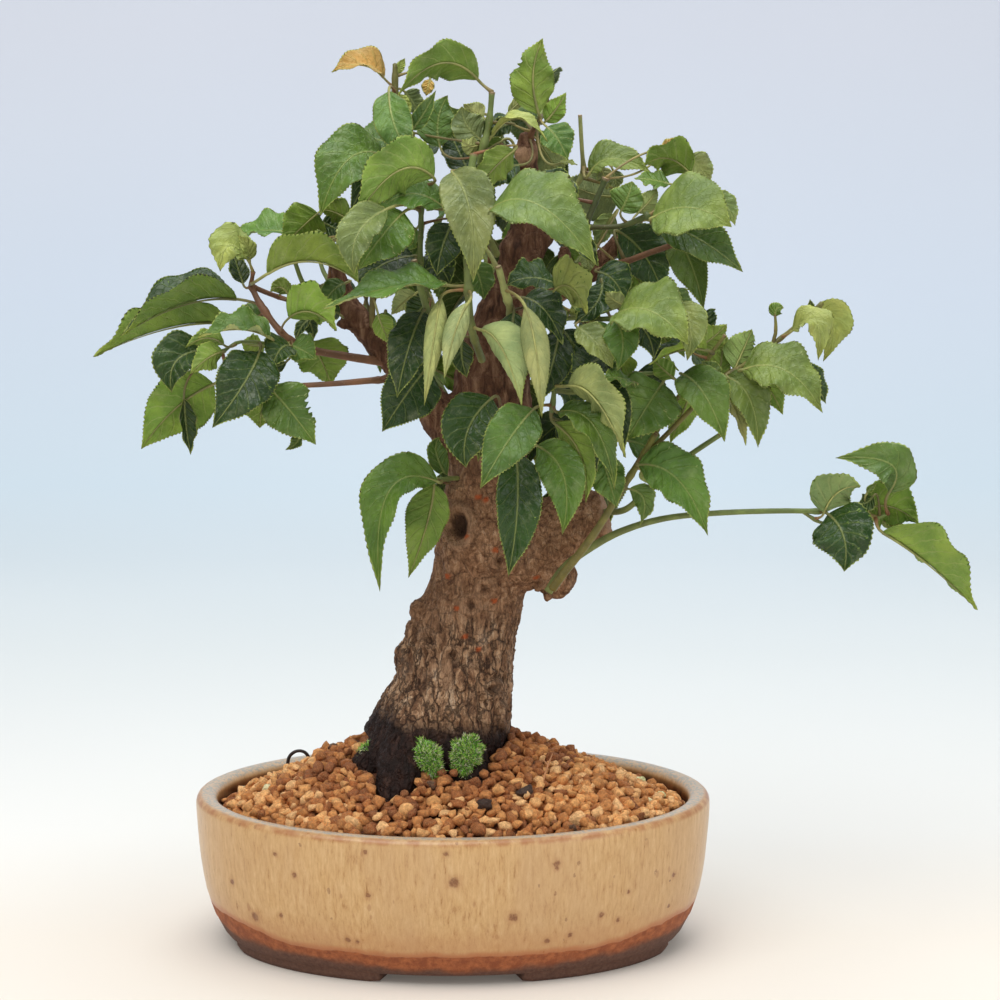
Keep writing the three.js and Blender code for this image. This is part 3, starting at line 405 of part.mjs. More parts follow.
// Joins leave slivers and points that lie on a flat or straight edge. This
// moves such a point onto a neighbour where the surface stays within tol.
function tidy(m, tol) {
  const mesh = m.getMesh(), np = mesh.numProp;
  const P = [], T = [];
  for (let i = 0; i < mesh.vertProperties.length; i += np) P.push(V(mesh.vertProperties[i], mesh.vertProperties[i + 1], mesh.vertProperties[i + 2]));
  for (let i = 0; i < mesh.triVerts.length; i += 3) T.push([mesh.triVerts[i], mesh.triVerts[i + 1], mesh.triVerts[i + 2]]);
  const star = P.map(() => new Set());
  T.forEach((t, i) => t.forEach((v) => star[v].add(i)));
  const ring = (v) => { const r = new Set(); star[v].forEach((i) => T[i].forEach((w) => { if (w !== v) r.add(w); })); return r; };
  const cross = (a, b, c) => b.clone().sub(a).cross(c.clone().sub(a));
  const tryMove = (v, u, rv) => {
    const ru = ring(u);
    let common = 0;
    rv.forEach((w) => { if (ru.has(w)) common++; });
    if (common !== 2) return false;
    const near = P[v].distanceTo(P[u]);
    for (const i of star[v]) {
      if (T[i].includes(u)) continue;
      const [a, b, c] = T[i].map((w) => P[w]), [d, e, f] = T[i].map((w) => P[w === v ? u : w]);
      const n0 = cross(a, b, c), n1 = cross(d, e, f), l0 = n0.length(), l1 = n1.length();
      const longest = Math.max(d.distanceTo(e), e.distanceTo(f), f.distanceTo(d));
      if (l1 < 0.02 * longest) return false;
      if (near > 0.02 && Math.abs(P[v].clone().sub(d).dot(n1) / l1) > tol) return false;
      if (l0 > 0.02 && n0.dot(n1) < 0.4 * l0 * l1) return false;
    }
    for (const i of [...star[v]]) {
      if (T[i].includes(u)) { T[i].forEach((w) => star[w].delete(i)); T[i] = null; } else {
        T[i] = T[i].map((w) => (w === v ? u : w));
        star[u].add(i);
      }
    }
    star[v].clear();
    return true;
  };
  for (let pass = 0; pass < 4; pass++) {
    let moved = 0;
    for (let v = 0; v < P.length; v++) {
      if (!star[v].size) continue;
      const rv = ring(v);
      const near = [...rv].sort((a, b) => P[a].distanceToSquared(P[v]) - P[b].distanceToSquared(P[v]));
      for (const u of near) if (tryMove(v, u, rv)) { moved++; break; }
    }
    if (!moved) break;
  }
  const id = new Map(), Q = [];
  const R = T.filter(Boolean).map((t) => t.map((v) => { if (!id.has(v)) { id.set(v, Q.length); Q.push(P[v]); } return id.get(v); }));
  return solid(Q, R);
}
// The biggest connected piece.
function largest(m) {
  const parts = m.decompose();
  let best = null, vol = 0;
  for (const p of parts) { const v = p.volume(); if (v > vol) { vol = v; best = p; } }
  return best;
}

// Lofted solid: rings of equal length, closed at both ends with a fan.
function loft(rings, closed = false) {
  const n = rings[0].length, verts = rings.flat(), tris = [];
  const m = rings.length;
  for (let i = 0; i + 1 < m + (closed ? 1 : 0); i++) for (let k = 0; k < n; k++) {
    const a = i * n + k, b = i * n + ((k + 1) % n), c = ((i + 1) % m) * n + k, d = ((i + 1) % m) * n + ((k + 1) % n);
    tris.push([a, b, d], [a, d, c]);
  }
  if (!closed) for (const [r, flip] of [[0, true], [m - 1, false]]) {
    const c = verts.length;
    const mid = V(0, 0, 0);
    rings[r].forEach((p) => mid.add(p));
    verts.push(mid.multiplyScalar(1 / n));
    for (let k = 0; k < n; k++) { const a = r * n + k, b = r * n + ((k + 1) % n); tris.push(flip ? [c, b, a] : [c, a, b]); }
  }
  return solid(verts, tris);
}
function ellipse(a, b, z, n, x = 0, y = 0) {
  return Array.from({ length: n }, (_, k) => V(x + a * Math.cos((2 * Math.PI * k) / n), y + b * Math.sin((2 * Math.PI * k) / n), z));
}
const square = (h, z, x = 0, y = 0) => [V(x - h, y - h, z), V(x + h, y - h, z), V(x + h, y + h, z), V(x - h, y + h, z)];

// ---------------------------------------------------------------- pot
const SEG = 40;
const A = POT_LENGTH / 2, B = POT_DEPTH / 2;
function insetAt(z) {
  const t = WALL_INSET;
  for (let i = 0; i + 1 < t.length; i++) if (z <= t[i + 1][0]) {
    const f = (z - t[i][0]) / (t[i + 1][0] - t[i][0]);
    return t[i][1] + f * (t[i + 1][1] - t[i][1]);
  }
  return t[t.length - 1][1];
}
// Inner wall: [height, distance in from the rim size].
const INNER = [[POT_HEIGHT, RIM_WALL - 1.8], [75, RIM_WALL], [44, 2 + WALL], [24, 6 + WALL], [FLOOR_TOP, 13 + WALL]];
function buildPot() {
  const rings = WALL_INSET.map(([z, d]) => ellipse(A - d, B - d, z, SEG));
  INNER.forEach(([z, d]) => rings.push(ellipse(A - d, B - d, z, SEG)));
  let pot = loft(rings);
  for (const sx of [1, -1]) {
    const hole = loft([-2, FLOOR_TOP + 3].map((z) => ellipse(DRAIN_RADIUS, DRAIN_RADIUS, z, 12, sx * DRAIN_X)));
    pot = pot.subtract(hole);
  }
  return pot;
}
// One foot: a stretch of the oval ring under the wall.
function buildFoot(sx, sy) {
  const t0 = Math.acos(FOOT_GAP / (A - 17)), t1 = Math.acos(FOOT_END / (A - 17));
  const rings = [];
  for (let i = 0; i <= 8; i++) {
    const t = t0 + ((t1 - t0) * i) / 8, c = Math.cos(t) * sx, s = Math.sin(t) * sy;
    const q = (d, z) => V((A - d) * c, (B - d) * s, z);
    rings.push([q(17, 0), q(15.6, FOOT_HEIGHT), q(30.7, FOOT_HEIGHT), q(30, 0)]);
  }
  return loft(rings);
}

function buildScreen(sx) {
  const z0 = FLOOR_TOP + FIT, z1 = z0 + SCREEN_THICK;
  let s = loft([square(SCREEN_SIZE / 2, z0, sx * DRAIN_X), square(SCREEN_SIZE / 2, z1, sx * DRAIN_X)]);
  for (const i of [-1, 0, 1]) for (const j of [-1, 0, 1]) {
    const x = sx * DRAIN_X + i * 7.2, y = j * 7.2;
    s = s.subtract(loft([square(2.4, z0 - 1, x, y), square(2.4, z1 + 1, x, y)]));
  }
  return s;
}

// ---------------------------------------------------------------- wood
// Root flare: short surface roots that run out and down into the soil.
const ROOTS = [
  [[-16, -6, 118, 21], [-30, -16, 103, 13], [-44, -22, 90, 9], [-58, -30, 70, 5]],
  [[-14, -12, 116, 20], [-24, -34, 98, 13], [-28, -46, 84, 9], [-28, -58, 66, 5]],
  [[-4, -10, 116, 20], [6, -30, 98, 12], [12, -40, 86, 8], [18, -52, 68, 5]],
  [[4, 0, 116, 20], [20, -4, 98, 9], [34, -6, 84, 7], [48, -10, 68, 5]],
  [[-2, 12, 114, 19], [10, 30, 98, 12], [22, 44, 82, 8], [34, 58, 64, 5]],
  [[-16, 12, 114, 19], [-32, 28, 98, 12], [-48, 42, 82, 8], [-60, 54, 64, 5]],
  [[-8, 2, 96, 30], [-8, 2, 74, 26], [-6, 2, 52, 18], [-4, 0, 34, 9]],
];
// Burrs and calluses: [x, y, z, rx, ry, rz].
const BURRS = [
  [-13, -4, 171, 8.5, 9, 7], [-19, -5, 145, 10.5, 9, 14], [-15, -4, 159, 9.5, 9, 9], [2, -22, 140, 10, 8, 14],
  [15, -19, 166, 9, 7, 12], [-3, 14, 172, 10, 14, 14], [10, 16, 150, 12, 14, 18], [34, -18, 196, 10, 8, 9],
  [62, -8, 228, 10, 10, 8], [31, -8, 350, 8, 7, 10], [4, -12, 232, 7, 7, 9], [25, -20, 242, 8, 5, 8],
];
function ball(x, y, z, rx, ry, rz, seg = 6, rows = 4, turn = 0) {
  const rings = [];
  const up = V(0, 0, 1);
  for (let i = 1; i < rows; i++) {
    const f = (Math.PI * i) / rows;
    rings.push(ellipse(rx * Math.sin(f), ry * Math.sin(f), -rz * Math.cos(f), seg).map((p) => p.applyAxisAngle(up, turn).add(V(x, y, z))));
  }
  return loft(rings);
}
// Drop the points of a centre line that a straight stretch passes within tol of.
function thin(line, tol) {
  const keep = [0];
  let i = 0;
  while (i < line.length - 1) {
    let j = line.length - 1;
    for (; j > i + 1; j--) {
      let ok = true;
      for (let k = i + 1; k < j && ok; k++) {
        const a = v3(line[i]), b = v3(line[j]), p = v3(line[k]), d = b.clone().sub(a);
        const f = Math.min(1, Math.max(0, p.clone().sub(a).dot(d) / d.lengthSq()));
        const r = line[i][3] + f * (line[j][3] - line[i][3]);
        if (p.distanceTo(a.addScaledVector(d, f)) > tol || Math.abs(r - line[k][3]) > tol) ok = false;
      }
      if (ok) break;
    }
    keep.push(j);
    i = j;
  }
  return keep.map((k) => line[k]);
}
function buildWood(grow) {
  const list = [];
  WOOD.forEach((line) => {
    const big = line[0][3] > 12;
    const l = thin(line, big ? 1.5 : 0.9);
    list.push(tube(l.map((q) => v3(q)), l.map((q) => q[3] + grow), big ? 12 : 6));
  });
  ROOTS.forEach((line) => list.push(tube(line.map((q) => v3(q)), line.map((q) => q[3] + grow), 7)));
  BURRS.forEach(([x, y, z, a, b, c]) => list.push(ball(x, y, z, a + grow, b + grow, c + grow)));
  return union(list);
}

// ---------------------------------------------------------------- soil, moss and small things
const SOIL_A = A - RIM_WALL - FIT, SOIL_B = B - RIM_WALL - FIT;
function soilHeight(x, y) {
  const e = Math.min(1, Math.hypot(x / SOIL_A, y / SOIL_B));            // 0 centre, 1 wall
  const shoulder = 3.5 * Math.exp(-((x + 60) ** 2 + (y - 4) ** 2) / 900);
  return SOIL_EDGE + (SOIL_CREST - SOIL_EDGE) * (1 - e ** 1.7) + shoulder * (1 - e ** 4);
}
function soilPart(grow) {
  const n = SEG;
  const rings = [];
  const wall = [[FLOOR_TOP + FIT, 13 + WALL], [24, 6 + WALL], [44, 2 + WALL], [SOIL_EDGE - 3, RIM_WALL + 0.2]];
  wall.forEach(([z, d]) => rings.push(ellipse(A - d - FIT, B - d - FIT, z, n)));
  for (const f of [1, 0.82, 0.62, 0.42, 0.22]) {
    rings.push(Array.from({ length: n }, (_, k) => {
      const w = (2 * Math.PI * k) / n, x = SOIL_A * f * Math.cos(w), y = SOIL_B * f * Math.sin(w);
      return V(x, y, soilHeight(x, y) + grow);
    }));
  }
  return loft(rings);
}

// ---------------------------------------------------------------- leaves
const PROFILE = [[0, 0], [0.02, 0.16], [0.06, 0.38], [0.13, 0.66], [0.22, 0.88], [0.32, 0.98], [0.42, 1], [0.52, 0.95], [0.62, 0.83], [0.72, 0.64], [0.81, 0.42], [0.89, 0.22], [0.95, 0.09], [1, 0]];
function width(s) {
  for (let i = 0; i + 1 < PROFILE.length; i++) if (s <= PROFILE[i + 1][0]) {
    const [a, u] = PROFILE[i], [b, w] = PROFILE[i + 1];
    return u + ((w - u) * (s - a)) / (b - a);
  }
  return 0;
}
function leafFrame(L, s) {
  const b = v3(L, 4), m = v3(L, 7), t = v3(L, 10), N0 = v3(L, 13);
  const c = m.clone().multiplyScalar(2).addScaledVector(b, -0.5).addScaledVector(t, -0.5);
  const p = b.clone().multiplyScalar((1 - s) ** 2).addScaledVector(c, 2 * s * (1 - s)).addScaledVector(t, s * s);
  const T = c.clone().sub(b).multiplyScalar(2 * (1 - s)).addScaledVector(t.clone().sub(c), 2 * s).normalize();
  const N = N0.clone().addScaledVector(T, -N0.dot(T)).normalize();
  return { p, T, N, S: N.clone().cross(T) };
}
// A leaf is one loft of four-point rings: along the stalk, then edge, upper
// midrib, edge, lower midrib across the blade, and a point at the tip.
function leaf(L, grow, inStalk = true, inBlade = true) {
  const q = v3(L, 1), base = leafFrame(L, 0), d = q.distanceTo(base.p);
  const len = v3(L, 4).distanceTo(v3(L, 10)), W = L[16] / 2, fold = (L[17] * Math.PI) / 180;
  const r = (len < TINY ? PETIOLE * 0.8 : PETIOLE) + grow;
  const rings = [];
  const ring = (p, N, S, a) => [p.clone().addScaledVector(S, -a), p.clone().addScaledVector(N, a), p.clone().addScaledVector(S, a), p.clone().addScaledVector(N, -a)];
  if (inStalk) {
    const c = base.p.clone().addScaledVector(base.T, -0.45 * d);
    const along = (s) => q.clone().multiplyScalar((1 - s) ** 2).addScaledVector(c, 2 * s * (1 - s)).addScaledVector(base.p, s * s);
    const dir = (s) => c.clone().sub(q).multiplyScalar(2 * (1 - s)).addScaledVector(base.p.clone().sub(c), 2 * s).normalize();
    for (const s of d > 20 ? [0, 0.5] : [0]) {
      const T = dir(s), N = base.N.clone().addScaledVector(T, -base.N.dot(T)).normalize();
      rings.push(ring(along(s), N, N.clone().cross(T), r * (1.25 - 0.25 * s)));
    }
  }
  const p0 = inStalk ? base.p : base.p.clone().addScaledVector(base.T, -grow);
  rings.push(ring(p0, base.N, base.S, r * 0.9));
  if (inBlade) {
    const rows = len < TINY || (L[0] >= FRONT_SHOOTS && len < 48) ? [0.38] : len < 52 || L[0] >= FRONT_SHOOTS ? [0.2, 0.58] : [0.12, 0.38, 0.7];
    rows.forEach((s) => {
      const { p, N, S } = leafFrame(L, s);
      const w = W * width(s) * 1.04 + grow * 1.25, h = BLADE + grow;
      const edge = (g) => p.clone().addScaledVector(S, g * w * Math.cos(fold)).addScaledVector(N, w * Math.sin(fold));
      rings.push([edge(-1), p.clone().addScaledVector(N, h), edge(1), p.clone().addScaledVector(N, -h)]);
    });
  }
  const pts = rings.flat(), tris = [[0, 1, 2], [0, 2, 3]];
  for (let i = 0; i + 1 < rings.length; i++) for (let k = 0; k < 4; k++) {
    const a = 4 * i + k, b = 4 * i + ((k + 1) % 4), c = a + 4, e = b + 4;
    if (k % 2 === 0) tris.push([a, e, b], [a, c, e]); else tris.push([a, c, b], [b, c, e]);
  }
  const o = 4 * (rings.length - 1);
  if (inBlade) {
    const end = leafFrame(L, 1);
    pts.push(end.p.clone().addScaledVector(end.T, grow));
    for (let k = 0; k < 4; k++) tris.push([pts.length - 1, o + ((k + 1) % 4), o + k]);
  } else tris.push([o, o + 2, o + 1], [o, o + 3, o + 2]);
  return solid(pts, tris);
}
function stemsOf(name, grow) {
  return union(SHOOTS[name].map((full) => {
    const line = thin(full, 0.8);
    return tube(line.map((q) => v3(q)), line.map((q) => q[3] + grow), full[0][3] > 2.6 ? 6 : 4);
  }));
}

// ---------------------------------------------------------------- assembly
const names = Object.keys(SHOOTS);
const wood = largest(buildWood(0));
const woodCut = buildWood(FIT);

const stems = names.map((n) => stemsOf(n, 0));
const stemCuts = names.map((n) => stemsOf(n, FIT));
const byShoot = names.map(() => []);
LEAVES.forEach((L) => byShoot[L[0]].push(L));
const leaves = byShoot.map((ls) => ls.map((L) => leaf(L, 0)));
const leafCuts = byShoot.map((ls) => ls.map((L) => leaf(L, FIT)));

function cutBy(m, cutters) {
  const bb = m.boundingBox(), hit = cutters.filter((c) => touch(bb, c.boundingBox()));
  return hit.length ? m.subtract(union(hit)) : m;
}
// Each shoot is one solid. Where two shoots would meet, the one built later
// gives way by the fitting clearance.
const shootSolids = [];
names.forEach((name, i) => {
  const room = [...stemCuts.filter((_, j) => j < i), woodCut];
  const stem = largest(cutBy(stems[i], room));
  const others = [...stemCuts.filter((_, j) => j !== i), ...leafCuts.slice(0, i).flat(), woodCut];
  const body = leaves[i].map((m) => cutBy(m, others));
  shootSolids.push(largest(union([stem, ...body])));
});

let soil = soilPart(0).subtract(woodCut);
const soilTop = soilPart(FIT);
const screens = [buildScreen(1), buildScreen(-1)];
for (const sx of [1, -1]) {
  const h = SCREEN_SIZE / 2 + FIT, z1 = FLOOR_TOP + FIT + SCREEN_THICK + FIT;
  soil = soil.subtract(loft([square(h, FLOOR_TOP - 1, sx * DRAIN_X), square(h, z1, sx * DRAIN_X)]));
}
// Anchor wire: an arch whose two legs go down into the soil.
const WIRE = [[-86, 40, 68], [-86, 40, 81.5], [-84, 40, 86], [-80, 40, 87.4], [-76.5, 40.3, 85.6], [-75.4, 40.6, 81], [-75.4, 41, 68]];
const wire = tube(WIRE.map((q) => v3(q)), WIRE.map(() => 0.9), 6);
const wireCut = tube(WIRE.map((q) => v3(q)), WIRE.map(() => 0.9 + FIT), 6);
soil = largest(soil.subtract(wireCut));

function resting(x, y, z, rx, ry, rz, turn) {
  return largest(ball(x, y, z, rx, ry, rz, 9, 5, turn).subtract(soilTop).subtract(woodCut));
}
const mossMiddle = resting(-12, -39, 105, 7.5, 6.5, 9.5, 0.2);
const mossRight = resting(7.5, -37, 106, 8.5, 7, 10, -0.4);
const mossLeft = resting(-41, -18, 101, 6, 6.5, 6.5, 0.5);
const stoneFront = resting(16, -66, soilHeight(16, -66) + 2.6, 5, 4.2, 6, 0.3);
const stoneSide = resting(36, -53, soilHeight(36, -53) + 1.6, 4.5, 4, 4.2, 0.7);
const TWIG = [[45, -44, -0.5], [45.6, -39, 1.6], [47.5, -31, 2.6], [50, -24, 5.2]];
const twig = largest(tube(TWIG.map(([x, y, d]) => V(x, y, soilHeight(x, y) + d)), [0.8, 0.9, 0.7, 0.4], 5).subtract(soilTop));

// ---------------------------------------------------------------- scene graph
const group = new THREE.Group();
function add(name, m, color, roughness, metalness = 0) {
  const mesh = largest(tidy(m, TIDY)).getMesh();
  const np = mesh.numProp, g = new THREE.BufferGeometry();
  const pos = new Float32Array((mesh.vertProperties.length / np) * 3);
  for (let i = 0; i < pos.length / 3; i++) for (let k = 0; k < 3; k++) pos[3 * i + k] = mesh.vertProperties[np * i + k];
  g.setAttribute('position', new THREE.BufferAttribute(pos, 3));
  g.setIndex(new THREE.BufferAttribute(Uint32Array.from(mesh.triVerts), 1));
  g.computeVertexNormals();
  const o = new THREE.Mesh(g, new THREE.MeshStandardMaterial({ color, roughness, metalness }));
  o.name = name;
  group.add(o);
  return o;
}
add('pot', buildPot(), 0xb39a72, 0.35);
for (const [y, sy] of [['front', -1], ['back', 1]]) for (const [x, sx] of [['right', 1], ['left', -1]]) {
  add(`pot_foot_${y}_${x}`, buildFoot(sx, sy), 0x5a4234, 0.8);
}
add('drain_screen_right', screens[0], 0x2b2b2b, 0.6);
add('drain_screen_left', screens[1], 0x2b2b2b, 0.6);
add('soil_bed', soil, 0xb9783f, 0.95);
add('anchor_wire', wire, 0x3a2f2b, 0.5);
add('moss_left', mossLeft, 0x3e6a25, 0.95);
add('moss_middle', mossMiddle, 0x4a7a2c, 0.95);
add('moss_right', mossRight, 0x3f7028, 0.95);
add('dark_stone_front', stoneFront, 0x3c2c24, 0.9);
add('dark_stone_side', stoneSide, 0x3c2c24, 0.9);
add('loose_root_bit', twig, 0x8a6244, 0.9);
add('trunk', wood, 0x6b5240, 0.85);
names.forEach((name, i) => add(`shoot_${name}`, shootSolids[i], LEAF_GREENS[i % LEAF_GREENS.length], 0.5));

// Origin: centre of the outside box in X and Y, lowest point in Z.
const box = new THREE.Box3().setFromObject(group);
const shift = V(-(box.min.x + box.max.x) / 2, -(box.min.y + box.max.y) / 2, -box.min.z);
group.children.forEach((o) => o.geometry.translate(shift.x, shift.y, shift.z));

export default group;
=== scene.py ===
# Bonsai tree in an oval stoneware pot: the looks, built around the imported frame.
import bpy, bmesh, math
import numpy as np
from mathutils import Vector, Matrix
from mathutils.bvhtree import BVHTree


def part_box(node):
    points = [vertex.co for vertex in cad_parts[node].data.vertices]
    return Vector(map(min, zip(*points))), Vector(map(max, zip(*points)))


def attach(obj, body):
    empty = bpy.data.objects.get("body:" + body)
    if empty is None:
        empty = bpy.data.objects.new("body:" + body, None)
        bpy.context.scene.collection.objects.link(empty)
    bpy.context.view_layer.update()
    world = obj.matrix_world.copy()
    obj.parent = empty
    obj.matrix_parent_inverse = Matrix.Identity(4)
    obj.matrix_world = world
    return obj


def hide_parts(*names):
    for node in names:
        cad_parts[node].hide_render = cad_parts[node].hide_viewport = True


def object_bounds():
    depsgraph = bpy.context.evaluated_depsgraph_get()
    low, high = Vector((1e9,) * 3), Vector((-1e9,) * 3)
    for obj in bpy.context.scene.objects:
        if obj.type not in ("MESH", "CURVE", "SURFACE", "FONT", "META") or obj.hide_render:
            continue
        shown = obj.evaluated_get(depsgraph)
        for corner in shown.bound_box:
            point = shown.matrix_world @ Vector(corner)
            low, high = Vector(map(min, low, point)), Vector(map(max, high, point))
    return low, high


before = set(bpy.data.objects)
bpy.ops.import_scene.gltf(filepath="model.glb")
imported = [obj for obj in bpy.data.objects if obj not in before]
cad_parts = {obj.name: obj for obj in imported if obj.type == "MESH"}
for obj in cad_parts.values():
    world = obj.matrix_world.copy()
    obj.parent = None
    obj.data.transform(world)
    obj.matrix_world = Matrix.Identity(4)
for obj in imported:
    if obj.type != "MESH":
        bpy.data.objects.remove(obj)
CAD_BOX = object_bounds()

# The plant and the pot are described in millimetres from the middle of the pot,
# at the height of its feet, as the CAD describes them. FROM_POT moves them into
# the row frame.
_lo, _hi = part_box("pot")
FROM_POT = np.array([(_lo[0] + _hi[0]) / 2, (_lo[1] + _hi[1]) / 2, CAD_BOX[0][2]])
POT_L, POT_D = [(_hi[i] - _lo[i]) * 1000 for i in range(2)]

